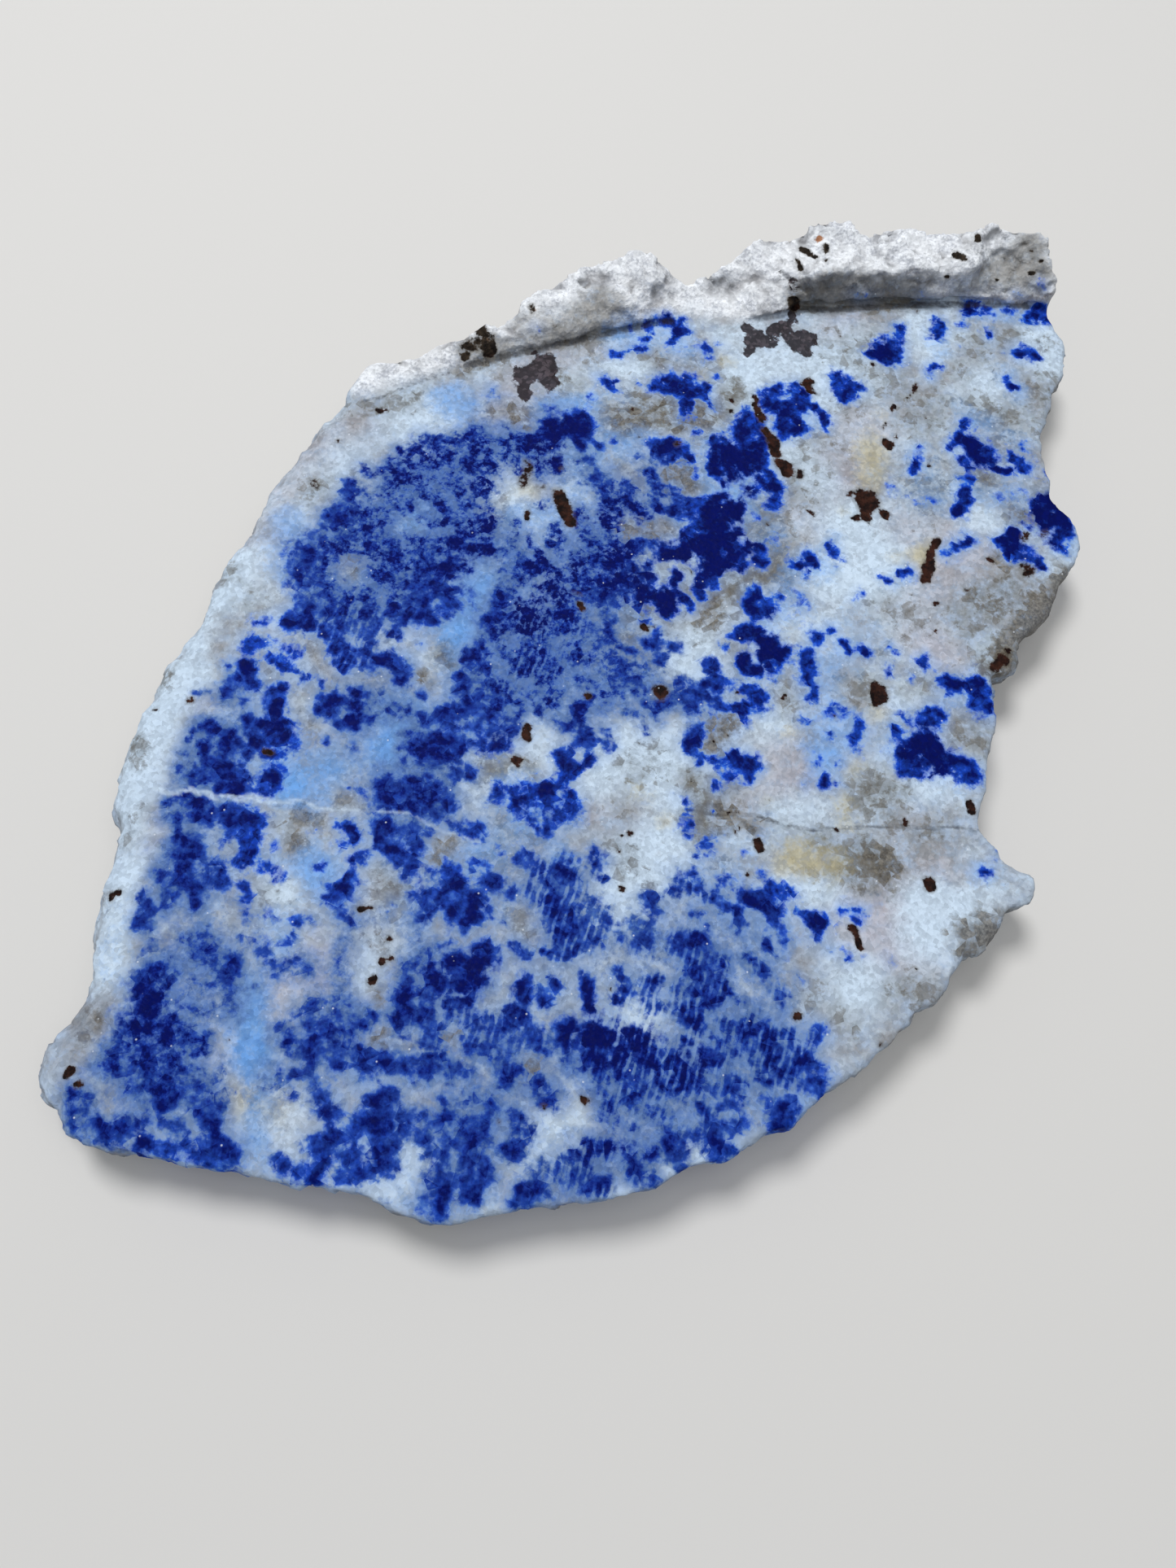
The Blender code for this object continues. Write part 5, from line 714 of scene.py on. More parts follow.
# Dark reddish-brown to black specks
SPECKS = [
    (0.9, 0.6, -54.2, 28.7), (0.8, 0.45, -53.3, 29.3), (0.95, 0.55, -54.6, 9.1), (0.9, 0.5, -53.3, 7.9),
    (0.7, 0.25, -37.9, 13.4), (0.8, 0.3, -25.5, 28.9, -24.3, 29), (0.35, 0.5, -21.3, 31.9, -21, 31),
    (0.8, 0.35, -21.7, 25.7), (0.5, 0.5, -23.8, 24.7), (0.95, 0.5, -22.1, 22.9), (0.9, 0.3, -21.1, 23.4),
    (0.95, 0.5, -23.1, 20.8), (0.35, 0.3, -22, 19.3, -22, 18.2), (0.4, 0.4, -55, 20, -55, 18.8),
    (0.4, 0.4, -54.7, 16.2), (0.5, 0.3, -52.2, 14.5), (0.9, 0.4, 1.4, 8.8), (0.7, 0.3, 1.8, 8.9),
    (0.7, 0.35, -3, 8.2), (0.5, 0.4, -7.6, 6.2), (0.5, 0.5, -20.8, 13.5), (0.5, 0.3, -5.2, 27),
    (0.95, 0.4, 4.8, 32.9), (0.7, 0.15, 3.7, 21.1), (0.35, 0.6, 7, 33.5, 7.7, 33.1),
    (0.4, 0.3, -17.9, 13.8), (0.9, 0.5, 20.3, 39.4, 20.5, 38.7), (0.85, 0.28, 19.2, 35.3),
    (0.4, 0.5, 19.2, 34.2, 19.2, 33.8), (0.55, 0.35, 37.3, 37.2), (0.3, 0.35, 38, 36.7, 39.3, 35.8),
    (0.95, 0.6, 40.6, 35.6, 40.6, 34.9), (0.95, 0.42, 31, 29.7, 31.6, 29.4, 31.9, 28.4, 32.2, 27.5),
    (0.95, 0.55, 24.6, 19.4), (0.6, 0.22, 38.4, 25.3), (0.7, 0.3, 34.1, 16.7), (0.9, 0.5, -49.2, 53.8),
    (0.7, 0.28, -53.9, 52.7, -53.5, 52.5), (0.95, 0.36, -39, 47.6, -38.4, 47.6), (0.4, 0.4, -33.3, 39.4),
    (0.6, 0.45, -21.3, 58.1, -20.8, 58.7), (0.45, 0.4, -22.1, 56.8), (0.85, 0.8, 51.7, 65.5, 50.6, 64.5),
    (0.7, 0.5, 52.6, 66.6), (0.95, 0.42, -7.8, 52.7, -8, 52.1), (0.95, 0.42, -8.1, 51.4, -7.7, 51.1),
    (0.95, 0.6, -8.8, 48.3), (0.6, 0.3, -8.7, 47.3), (0.9, 0.42, -0.8, 57.2), (0.95, 1, 8.4, 58.2),
    (0.9, 0.35, 5.8, 67.4, 6.2, 67.1), (0.6, 0.3, 7.2, 67.4), (0.95, 0.38, 5.4, 39.7),
    (0.8, 0.2, 4.4, 39.3), (0.7, 0.2, 4.1, 37.3), (0.6, 0.15, 6.6, 43.7), (0.55, 0.3, 8.8, 37.2),
    (0.95, 0.42, 4.8, 32.9), (0.5, 0.45, 9.3, 41.4), (0.5, 0.12, 6, 51.2), (0.45, 0.15, 0.8, 43.6),
    (0.6, 0.15, 9.1, 38.7), (0.45, 0.6, 12.7, 46.8), (0.6, 0.4, 18, 58.9),
    (0.85, 0.3, 23.8, 58.9, 23.5, 58.4), (0.98, 0.95, 35.9, 59.8, 36, 59.3),
    (0.9, 0.6, 35.4, 58.2, 35.3, 60.7), (0.7, 0.15, 30, 56.3), (0.6, 0.12, 30.2, 55.8),
    (0.6, 0.15, 34.8, 55.9), (0.7, 0.12, 15.1, 52), (0.7, 0.12, 17.1, 52.8),
    (0.9, 0.5, 46, 45.6, 46.1, 44.8), (0.9, 0.4, 38.1, 43.2, 38.1, 42.7), (0.95, 0.33, 29.8, 41.5),
    (0.95, 0.5, 20.3, 39.2, 20.6, 38.6), (0.5, 0.12, 37, 40.4), (0.6, 0.2, 16.8, 40),
    (0.7, 0.2, 18.1, 40.9, 17.5, 40.3), (0.6, 0.1, 21.8, 44.8), (0.4, 0.35, 25.3, 46.2),
    (0.4, 0.2, 23.7, 46.7), (0.55, 0.4, 16.8, 42.6, 17.8, 43), (0.35, 0.3, 36.8, 60.3, 38.5, 60.4),
    (0.6, 0.5, -36, 93.2), (0.55, 0.8, -38.8, 86.7, -38.3, 86), (0.6, 0.4, -43.3, 86.4),
    (0.55, 0.3, -46.2, 78.4), (0.6, 0.3, -33, 98), (0.75, 0.35, -31.7, 98.8, -31, 98.6, -30.5, 98.9),
    (0.5, 0.3, -18.2, 99.7), (0.55, 0.3, -18.7, 97.8),
    (0.6, 0.8, -10.5, 91.2, -10.3, 90, -10.8, 88.6, -10.8, 87.8), (0.6, 0.5, -8.7, 87.5, -8.2, 87.7),
    (0.85, 0.9, -6, 86.7, -5.7, 85.5, -5, 84.5, -4.5, 83.3, -4.2, 82.3), (0.75, 0.4, -6, 90.6),
    (0.75, 0.4, -9.9, 83.4, -10, 82.5), (0.9, 0.45, -2.3, 70, -2, 69.5), (0.4, 0.4, -3, 71.8, -2.3, 71.5),
    (0.8, 0.4, 3.3, 101.3), (0.5, 0.3, 4.5, 96.5), (0.5, 0.25, 1.4, 97.8), (0.5, 0.3, 8.6, 99),
    (0.7, 0.35, 9.9, 96, 9.6, 95.5), (0.7, 0.35, 17.1, 101.6), (0.7, 0.6, 21, 101.3),
    (0.55, 0.2, 9.3, 75.3), (0.6, 0.25, 11.8, 73.3), (0.6, 0.2, 12, 75.5), (0.5, 0.15, 14.9, 72),
    (0.4, 0.15, 16.1, 75.3), (0.5, 0.2, 8.6, 82, 8.3, 81.7), (0.5, 0.3, -12, 101.8),
    (0.4, 0.3, -12.8, 86.5), (0.4, 0.2, -4.3, 88.4), (0.5, 0.15, -6.3, 83),
    (1, 1.5, 35.2, 88.5, 35.5, 87.7), (0.97, 0.8, 35.1, 86.3, 35, 85.6), (0.9, 0.35, 33.5, 85.2, 34, 85.3),
    (0.9, 0.35, 33.1, 89.2, 32.8, 88.8), (0.95, 0.5, 37.4, 86.2, 38, 85.9), (0.5, 0.3, 35.6, 84.3),
    (0.75, 0.25, 27.4, 86, 28.1, 85.3), (0.4, 0.25, 36.2, 83.2, 35.9, 82.4),
    (0.95, 0.55, 44.3, 82.3, 43.9, 81.4), (0.95, 0.6, 43.5, 80.7, 43.2, 79.3, 43, 78),
    (0.95, 0.6, 42.9, 77.3, 42.5, 76.3), (0.9, 0.3, 51, 80, 51.5, 79.7), (0.4, 0.45, 52.3, 84),
    (0.4, 0.2, 52.5, 85.2), (0.7, 0.7, 55.7, 79, 56.5, 78.7, 56, 78), (0.7, 0.5, 58.3, 84.2, 58.9, 84.6),
    (0.75, 0.5, 56, 83.6, 56.3, 84.2), (0.8, 0.3, 47.9, 75.2), (0.6, 0.2, 40.4, 74.1, 40.8, 73.8),
    (0.9, 0.35, 43.4, 72.9, 43.7, 72.8), (0.85, 0.3, 43.2, 69), (0.9, 0.6, 38.3, 98, 38.7, 97.2, 39, 97.6),
    (0.8, 0.25, 39.6, 98.9), (0.6, 0.22, 38.6, 101, 38, 100), (0.9, 0.3, 39.7, 103.9, 39.4, 103.5),
    (0.5, 0.2, 39.4, 102.8), (0.85, 0.25, 44.1, 102.2), (0.85, 0.3, 43, 107.8, 42.6, 106.7),
    (0.6, 0.2, 42.3, 106.1, 41.8, 105.5), (0.85, 0.28, 37, 111), (0.35, 0.3, 46, 106.7),
    (0.85, 0.7, 28, 107.6, 27.3, 107.3), (0.85, 0.5, 28, 106.5, 28.3, 105.9), (0.5, 0.4, 29.2, 105.3),
    (0.7, 0.4, 44.2, 94.3), (0.4, 0.25, 54.5, 100.7), (0.45, 0.3, 52.5, 98.7),
    (0.5, 0.2, 58, 105.1, 59, 105.6), (0.5, 0.3, 58.5, 97.7), (0.7, 0.25, 62.5, 111.2),
    (0.6, 0.2, 62, 109.6), (0.9, 0.6, 21.8, 98.7, 22.5, 97.8), (0.92, 0.9, 22.8, 97, 23, 96, 23.2, 95),
    (0.95, 0.7, 23.6, 93.5, 24.6, 92.8, 24.8, 91.8), (0.9, 0.42, 26.3, 92, 26.3, 91.4),
    (0.85, 0.5, 20.4, 104.3, 20.5, 103, 20.8, 101.8, 21.3, 100.5), (0.6, 0.3, 22.6, 100.7),
    (0.85, 0.3, 17.1, 103.6, 17.2, 103.2), (0.7, 0.25, 17.1, 101.8), (0.6, 0.4, 13.9, 106.3),
    (0.35, 0.25, 6.5, 110.3), (0.6, 0.35, 32.8, 116.4, 32.6, 115.8), (0.4, 0.2, 37.5, 116),
    (0.5, 0.3, 43, 118), (0.7, 0.35, 43.6, 121), (0.35, 0.4, 34.6, 118.8), (0.5, 0.3, 31, 97),
    (0.5, 0.15, 46.9, 99.7), (0.35, 0.45, 32, 86.3), (0.4, 0.2, 27.7, 94.5), (0.45, 0.35, 23.3, 73.4),
    (0.75, 0.3, 21.9, 83.6), (0.55, 0.3, 20.8, 101.5), (0.5, 0.3, -18, 99.7), (0.6, 0.2, -18.6, 97.8),
    (0.35, 0.3, -17.7, 102.5),
]
# Grey to olive clouds
GREY = [
    (0.6, 1.1, -32.3, 6.4), (0.5, 1.3, -53.8, 14.5), (0.5, 1, -50.5, 6.5), (0.4, 1, -21.5, 14.6, -18, 13.6),
    (0.4, 0.8, -29, 10.6), (0.5, 1, -7.4, 29.2, -6.5, 28), (0.4, 0.8, -8.8, 17.7), (0.55, 1.2, -4.3, 12.7),
    (0.45, 0.8, -14, 15, -12.8, 15), (0.35, 1, -1.8, 16.8), (0.3, 0.8, 8.8, 24.5),
    (0.3, 1.5, -3, 23, 3, 24), (0.35, 1.3, -37, 8, -35, 11), (0.3, 1.6, -39, 26, -36, 30),
    (0.35, 2, -23, 30.5, -21, 27), (0.3, 1, -1.5, 18.5), (0.5, 1.2, 25.7, 21.2), (0.4, 1.6, 27.5, 37.5),
    (0.4, 0.8, 16.3, 36), (0.45, 1.1, 36.4, 22.1), (0.45, 1, 37.3, 23.6, 39.7, 23.3), (0.4, 1, 30, 19.3),
    (0.5, 1.6, 33.5, 36, 34, 38), (0.5, 1.2, 31.7, 36.3), (0.55, 0.7, -53.7, 56.1, -53, 57.3),
    (0.4, 0.9, -33.3, 39.4, -32.5, 39.3), (0.45, 0.6, -34.4, 36.3, -33.8, 35.8), (0.4, 0.6, -21.2, 31.7),
    (0.35, 1.2, -36.2, 38.7), (0.4, 1.2, -28.8, 41.4, -27.9, 41.2), (0.4, 1.2, -40, 58.5, -41, 58.8),
    (0.35, 0.8, -32.4, 57), (0.35, 1.5, -28, 58), (0.5, 0.8, -55.5, 48.8),
    (0.45, 1, -54.5, 47.3, -54.5, 46.3), (0.35, 0.6, -51.7, 39.2, -52.5, 38.3), (0.4, 0.5, -53.8, 35.8),
    (0.35, 1, -26.9, 63.3), (0.3, 1.5, -35, 53, -34.5, 56), (0.3, 1.6, -37, 62.5, -35.5, 61),
    (0.3, 1.4, -43.5, 36.5, -41.5, 35.5), (0.3, 1.2, -25.5, 57, -24, 56.2), (0.7, 1.5, 50.5, 92.3),
    (0.75, 0.7, -19, 62.7, -18.3, 61.5, -17.8, 60.5), (0.5, 1.2, -18.5, 63, -17.3, 61.8),
    (0.55, 0.8, -11.5, 47.3, -10.4, 47.3, -9.5, 47.5), (0.5, 0.9, -12.8, 46.8),
    (0.6, 0.5, -7.2, 47.2, -6.8, 46.3), (0.45, 1.3, 3.2, 66.5, 4, 65.5),
    (0.5, 1.2, 1.5, 62.3, 5, 63, 6, 62.5), (0.35, 1.2, -3, 55.2), (0.3, 2, -13.5, 42.5, -12, 44),
    (0.45, 1, -9.5, 39.7), (0.5, 0.9, -11, 35.5, -9.3, 35), (0.35, 2, -8, 37.5, -4, 38),
    (0.6, 0.7, 5.2, 36.5, 4.4, 35.3), (0.5, 0.5, 7.2, 34, 7.6, 33.2), (0.5, 0.7, 3.7, 43.3, 4.2, 43),
    (0.45, 1.5, 5.5, 47.5, 7.5, 49), (0.4, 0.6, 3.5, 38.3), (0.5, 0.9, 12.2, 47.3),
    (0.6, 0.9, 13, 43.5, 12.8, 42), (0.6, 0.9, 12.7, 40.2), (0.35, 1.2, -22.5, 33, -21.5, 31.5),
    (0.4, 1, 9.7, 60.8, 10.5, 59.5), (0.5, 1, 16.3, 54.2, 15.3, 51.8, 16.2, 51),
    (0.55, 1.2, 13.5, 45.5, 14.8, 44.2, 13.3, 43, 14, 40.5), (0.45, 1.2, 16.5, 47.3, 17, 46.3),
    (0.5, 0.8, 18, 63, 17.5, 65), (0.45, 0.9, 20, 65.8), (0.5, 0.8, 17.7, 59, 18, 58.2),
    (0.5, 1.6, 33.8, 60.2, 33, 61), (0.55, 1.1, 33.6, 48, 34.6, 47.2, 34.2, 46),
    (0.4, 1.2, 32.3, 45, 36, 44.8), (0.45, 1.5, 45.5, 54.5, 47, 53.3, 47, 57), (0.4, 1.2, 37, 46.5, 38, 49),
    (0.4, 1, 28.5, 40.3, 29.3, 37.2), (0.5, 1.5, 33.3, 38, 34, 36.5), (0.4, 1, 36, 65.5),
    (0.6, 0.4, 45.3, 63.2), (0.9, 0.6, 49.3, 63.7, 50.8, 65.4, 52, 66), (0.45, 1.3, 24, 61, 24.5, 58),
    (0.4, 1.2, 40, 60.5, 41, 62), (0.4, 1.2, 36, 42, 41, 42), (0.35, 1, 24.5, 40.3),
    (0.5, 0.8, -25.7, 81, -25.2, 80.5), (0.65, 0.6, -32.5, 73.5, -31.7, 72.7, -31.2, 72),
    (0.4, 1.4, -33.5, 74, -31.5, 74), (0.5, 0.9, -47.6, 71.8), (0.45, 1.4, -38, 85.7, -37, 84.2),
    (0.4, 1, -31, 86.5, -33, 87), (0.35, 1.3, -20.5, 68.7, -20, 67.7), (0.4, 1.8, 2.5, 90.5, 2, 88, 4, 90),
    (0.6, 1.3, 8.2, 90, 9.5, 89.5, 11.5, 89, 10, 91.3), (0.65, 1.1, 3.3, 82.5, 4, 81.7),
    (0.55, 1.4, 6.3, 81.7, 7.3, 82.3, 8.5, 82.3), (0.4, 1.3, 4.5, 79.5, 4, 77.5, 4.7, 76),
    (0.35, 1.5, 6, 79, 8.5, 76, 8.7, 74), (0.45, 1.5, 11.5, 76.5, 11.5, 74), (0.5, 2, 17.5, 75, 19, 76),
    (0.45, 2.5, 3, 100, 6, 99, 9, 100, 5, 102), (0.4, 2, 13.5, 97.5, 16, 99),
    (0.4, 2, -0.5, 99.5, 1.5, 98.5), (0.4, 1.8, -13.5, 99, -10.5, 98.5),
    (0.4, 2.5, 16, 70.5, 13, 69, 18.5, 73), (0.45, 2, 4.5, 68, 4, 66.5, 7, 68.5), (0.5, 1.5, 21.3, 87.3),
    (0.45, 2.5, 20.5, 82.5, 21, 79), (0.55, 1.5, -7.5, 72.7, -8, 71.5), (0.6, 1.2, -13.5, 83.3, -13, 82),
    (0.4, 1.5, -5, 90.5, -4.5, 93), (0.4, 1.5, 13, 89.7, 15, 88.5), (0.4, 1.5, 12.5, 101, 15, 101),
    (0.4, 1.2, -35, 98.8, -29, 99.7), (0.3, 1.5, -44, 68.5), (0.35, 1.2, 3, 78, 2.5, 75.3),
    (0.3, 1.5, 6.5, 87, 8.5, 86.5), (0.6, 1.2, 42.6, 89.2), (0.7, 1.4, 17.4, 105),
    (0.5, 1.2, 55.2, 87.5, 56.5, 88.3, 58.5, 91), (0.4, 1.4, 44.5, 86.3), (0.4, 2, 45.5, 93.5, 43, 92),
    (0.4, 1.5, 52.5, 92.3, 51, 93.5), (0.5, 1.5, 49, 74, 51.5, 75.5, 54, 76), (0.4, 2, 47, 70, 50, 71.5),
    (0.4, 2, 27, 89, 28, 96, 30, 97.5), (0.4, 1.2, 24, 77, 22, 79), (0.4, 1.5, 23, 74.5, 22, 84),
    (0.4, 1.5, 37.5, 72, 40.5, 70), (0.4, 2, 45.5, 104, 43, 101.5), (0.4, 2, 54, 102.8, 56, 104),
    (0.5, 0.9, 55, 102.8), (0.4, 1.5, 53, 113, 51.5, 113.5), (0.5, 1.2, 52.3, 117.3), (0.5, 1.2, 57.5, 118),
    (0.5, 0.7, 62, 116.3), (0.4, 1.5, 37, 110, 40, 108), (0.4, 1.2, 32.5, 103, 36, 104.5),
    (0.4, 2, 52.5, 98.8, 54.5, 98), (0.4, 1.2, 48.7, 110), (0.35, 1.5, 62, 107, 61, 101),
    (0.5, 1.3, 51, 105), (0.45, 1.5, 6, 111, 7, 109.5), (0.45, 1.3, 12, 109.3, 14.3, 108.7),
    (0.5, 1.3, 8.5, 101.5, 7.5, 99.5), (0.4, 1.5, 36, 115.3, 34.8, 114.3), (0.6, 0.7, 0.7, 114.5, 3, 115.3),
    (0.4, 1, -3.7, 109.5), (0.5, 1, -6, 104.7, -4.5, 104.6), (0.6, 0.8, -7.3, 106.8),
    (0.4, 1.3, -26.5, 101.5), (0.35, 1.2, -14.5, 106.3), (0.35, 1.5, 59, 109.5, 61.3, 110.3),
    (0.4, 1, 44.8, 90.8), (0.3, 2, 33, 112, 30, 114),
]
# Pale yellow stains
YELLOW = [
    (0.6, 1.5, -35.4, 7.7), (0.5, 1.2, -33, 6.6), (0.5, 0.6, -33.9, 7.9), (0.3, 0.8, -32.5, 6.5),
    (0.2, 1, -30, 7.5), (0.5, 1.2, 24.8, 37.5), (0.3, 0.6, -38.5, 47.9), (0.5, 0.7, 35.8, 56.6),
    (0.5, 0.7, 30.8, 44.8, 31, 42.5), (0.55, 1.3, 24.8, 37.8, 26.8, 37.7, 28.8, 37.2),
    (0.35, 0.8, 32, 50, 33.8, 52.5), (0.4, 0.5, 21.7, 44.3), (0.4, 0.6, 24, 53.5),
    (0.3, 0.7, 6.3, 45, 6.8, 44.5), (0.35, 0.8, 34.5, 55), (0.3, 0.8, 31.6, 63.3), (0.5, 0.5, 9.3, 41.6),
    (0.5, 0.6, -9.5, 86.5), (0.35, 1.5, -9.5, 88, -10.5, 86), (0.35, 0.5, -32, 72.5), (0.3, 1, 11.5, 89),
    (0.3, 0.6, 3.8, 82), (0.5, 1.2, 36.3, 96, 36.7, 93.5), (0.4, 1.2, 36, 98, 35.5, 91.5),
    (0.8, 0.9, 42, 79.8, 42.6, 80.6), (0.45, 0.5, 16.3, 110.2), (0.35, 0.6, 37.7, 102.2),
    (0.35, 0.7, 38.8, 79.5), (0.35, 1, 12.5, 107.5), (0.3, 0.5, 31.8, 86.3),
]
# Pinkish-white clouds
PINK = [
    (0.7, 1.5, -37.7, 12), (0.5, 1.3, -33.7, 9.3), (0.8, 1.6, -31, 17.6), (0.6, 2.2, -33, 19, -31, 19.5),
    (0.4, 1.5, -29.5, 24), (0.4, 1.5, -30, 4.5), (0.3, 1.5, -25, 30.5), (0.4, 1.5, -47, 53.5),
    (0.4, 2, -47.5, 38, -50, 37.5), (0.5, 3, 34, 31, 37, 28), (0.3, 1.5, 33, 28.5, 30, 30.5),
    (0.5, 2, 23.5, 50.5, 24.5, 48), (0.4, 2, 44.5, 65.5, 42, 66.8), (0.35, 2.5, 42, 36, 37, 33),
    (0.3, 1.5, 35, 41, 39, 44), (0.35, 1.5, 20, 46, 18, 44), (0.3, 1.2, 0.8, 42, 3.5, 43.5),
    (0.35, 3, -14, 100, -11, 99.5), (0.4, 1.5, 6, 81.7, 8.3, 81.7), (0.3, 2.5, 17, 68, 13, 67),
    (0.35, 2.5, -43, 86, -40, 91, -35, 96), (0.3, 3, -44, 78, -46, 73), (0.35, 1, -37, 79),
    (0.45, 3, 31, 93, 33, 99, 35.5, 100.5), (0.4, 2.5, 49, 81, 47, 78.5, 44, 76.5),
    (0.4, 2, 40, 71, 43, 67.5), (0.4, 2.5, 41, 84, 46, 84), (0.3, 2, 31, 89), (0.4, 2, -3.5, 112, -13, 106),
    (0.4, 2, 32, 117, 34, 119), (0.35, 1.5, 25.5, 85, 28, 84),
]
# Clear bluish-white calcite, and painted light on the left rim's outward slope and on the ledge's front
WHITE_AND_PAINTED_LIGHT = [
    (0.5, 1.4, -37.7, 12), (0.5, 1.4, -31, 17.6), (0.7, 1.8, 7.5, 18.2), (0.7, 2.5, 5, 31.5),
    (0.6, 0.8, 13.5, 4.5), (0.6, 1.5, -4, 4, 0, 6), (0.6, 1.5, -16.5, 2.5), (0.5, 1.5, -20, -1),
    (0.8, 1.6, -34.8, 30.3), (0.5, 1.5, -23.4, 22, -23.2, 23.5), (0.6, 2, -30, 3.5, -31, 6.5),
    (0.9, 1.2, 7.5, 18), (0.8, 1.6, 3.5, 31.5), (0.6, 1.8, -2.5, 6, -4, 3.2), (0.6, 1.5, -19, -1, -17, 2),
    (0.9, 0.7, 5.5, -0.3), (0.9, 0.8, 13.5, 3.9), (0.8, 0.7, 11, 2.5),
    (0.9, 1.5, -53.6, 20, -53.4, 26, -53.2, 32), (0.9, 1.6, -54, 37, -54.8, 43, -54.6, 50, -53, 56),
    (0.8, 1.4, -51, 62, -49, 68, -47, 74), (0.8, 2.4, 31.5, 22.5), (0.9, 2, 40, 29.5, 39.5, 32.5),
    (0.7, 1.5, 43.5, 33), (0.9, 2, -52, 56, -50, 57), (0.7, 1.5, -52, 50, -54, 44),
    # The three strokes on the next line are painted light on the ledge's front
    (0.95, 1.3, 50, 126.2, 51.8, 126.3), (0.9, 1.3, 15.2, 125.2), (0.7, 1, 41.6, 126.5),
    (0.7, 1.2, -0.2, 114), (0.95, 2.4, 12.5, 64.5, 11.5, 63), (0.85, 1.8, 7.5, 37.5, 8.5, 35.5),
    (0.6, 1.5, -6, 51.5, -5, 50.5), (0.8, 2.5, 2, 47.5, 4, 50.5, 7.5, 51.5), (0.6, 2, 4, 31.5, 6, 33),
    (0.7, 1.5, 8.5, 45.5, 9.5, 49), (0.6, 1.5, 10.8, 37.5, 10.5, 42), (0.6, 1.5, 23.5, 42.5, 26, 43.5),
    (0.6, 1.5, 24, 34, 28, 34), (0.6, 1.5, 40.5, 47.5, 44, 47.5), (0.6, 1.5, 46.5, 33.5, 47.5, 35),
    (0.5, 1.2, 39.5, 59.5, 38.5, 58.5), (0.5, 1.2, 22, 54.5), (0.6, 2.5, -24, 97.5, -27, 95.5),
    (0.85, 2, -8.5, 83, -7.5, 81.5), (0.7, 2, -13, 88.5, -14, 86.5, -12, 86),
    (0.6, 1.5, -3.5, 88, -2.5, 86.3), (0.5, 2, -45, 70, -43, 74), (0.5, 2.5, -35, 88, -34, 91),
    (0.5, 1.2, 17, 68.7, 16.5, 70), (0.45, 1.3, -14.5, 73.3, -18, 72.7), (0.4, 1.5, -36.5, 101, -39, 97),
    (0.3, 2, 2.5, 93.5, 4, 92), (0.85, 3, 31, 76.5, 33.5, 80, 33, 84), (0.7, 2, 37, 79, 35.5, 75.5),
    (0.7, 1.5, 25.5, 95, 29, 91), (0.6, 2, 61.8, 81.5, 60.5, 80), (0.85, 2, 61, 118, 62, 113),
    (0.7, 2.5, 53, 109, 52, 107), (0.7, 1.5, 45, 114.5, 44, 119.5), (0.5, 1.5, 51, 66.5),
    (0.7, 2.5, 25, 111, 30, 110.5, 20, 109.5), (0.7, 1.5, 17.5, 107.5, 18.5, 105),
    (0.6, 2, 36, 108.5, 35.5, 115), (0.7, 1.5, 30, 104.5, 31.5, 110), (0.5, 3, -24, 97, -30, 105),
    (0.8, 1.2, 4, 108, 1.5, 108), (0.6, 1, 20.5, 117, 16, 114.5), (0.6, 2, 50, 86.3),
]
# Purple-brown crusts on the face near the ledge; the first two strokes are painted shade on the steep step
# near x 26, which faces right
CRUSTS_AND_STEP_SHADE = [
    (0.4, 0.5, 26.1, 126, 26.4, 124.5, 26.2, 122.5), (0.5, 0.8, 26.3, 121.8, 26, 119.5, 25.2, 117.6),
    (0.95, 0.5, 19.2, 116.5, 19.8, 115.5, 21, 115.2),
    (0.95, 0.9, 19.7, 114.5, 20.8, 114.2, 21.8, 113.9, 22.5, 113.8),
    (0.95, 0.5, 19.8, 113.3, 19.6, 112.3, 19.3, 111.7),
    (0.95, 0.7, 23, 115.8, 23.8, 117, 24.6, 116.6, 24.5, 115.8),
    (0.95, 1, 26.3, 115.3, 27.3, 115.2, 28.2, 114.7), (0.95, 0.7, 25.7, 114.2, 26.7, 113.6, 27.5, 113),
    (0.9, 1, -10, 108.5, -9, 108.3, -8.4, 107.3), (0.9, 1.2, -10.3, 107, -11.5, 105.8, -12, 105),
    (0.9, 1.1, -9, 105.8, -8.3, 104.9), (0.9, 0.8, -12, 103.7, -11.9, 102.7),
    (0.6, 0.3, -10.6, 110, -10.2, 109.3),
]

# Marks on the ledge, in the same terms
# Grey and olive on the ledge, and painted shade on its lower front along its foot
LEDGE_GREY_AND_SHADE = [
    (0.6, 1.4, -6, 113, -3, 115), (0.8, 1.5, -4.5, 118, -2, 120, 0, 119),
    (0.8, 1.3, -20, 110, -17.5, 110.5), (0.6, 1.3, -13, 115.5, -11, 115.5),
    (0.7, 1.6, 29, 123.5, 34, 123.5, 39, 124, 44, 124.5), (0.9, 2.2, 59.7, 131.8, 62, 134.8),
    (0.9, 1.2, 35.8, 126, 33.8, 126.1, 31.5, 126), (0.9, 1.3, 60, 128.7, 62.5, 129.5),
    (0.5, 1.5, 53, 127, 58, 127), (0.5, 1.2, 26.5, 122, 27.5, 125), (0.5, 1.2, 59.5, 127, 61.5, 130),
    (0.8, 1.3, 27, 122.5, 32, 123, 38, 123.5), (0.5, 1.2, 38, 123.5, 44, 124.2),
    (0.8, 1.6, 55.8, 129.4, 57.5, 130.5), (0.8, 1.8, -2.5, 119.5, -1, 116, -7, 115),
    (0.7, 1, -18, 109.5, -13, 111.2, -9, 112.4),
]
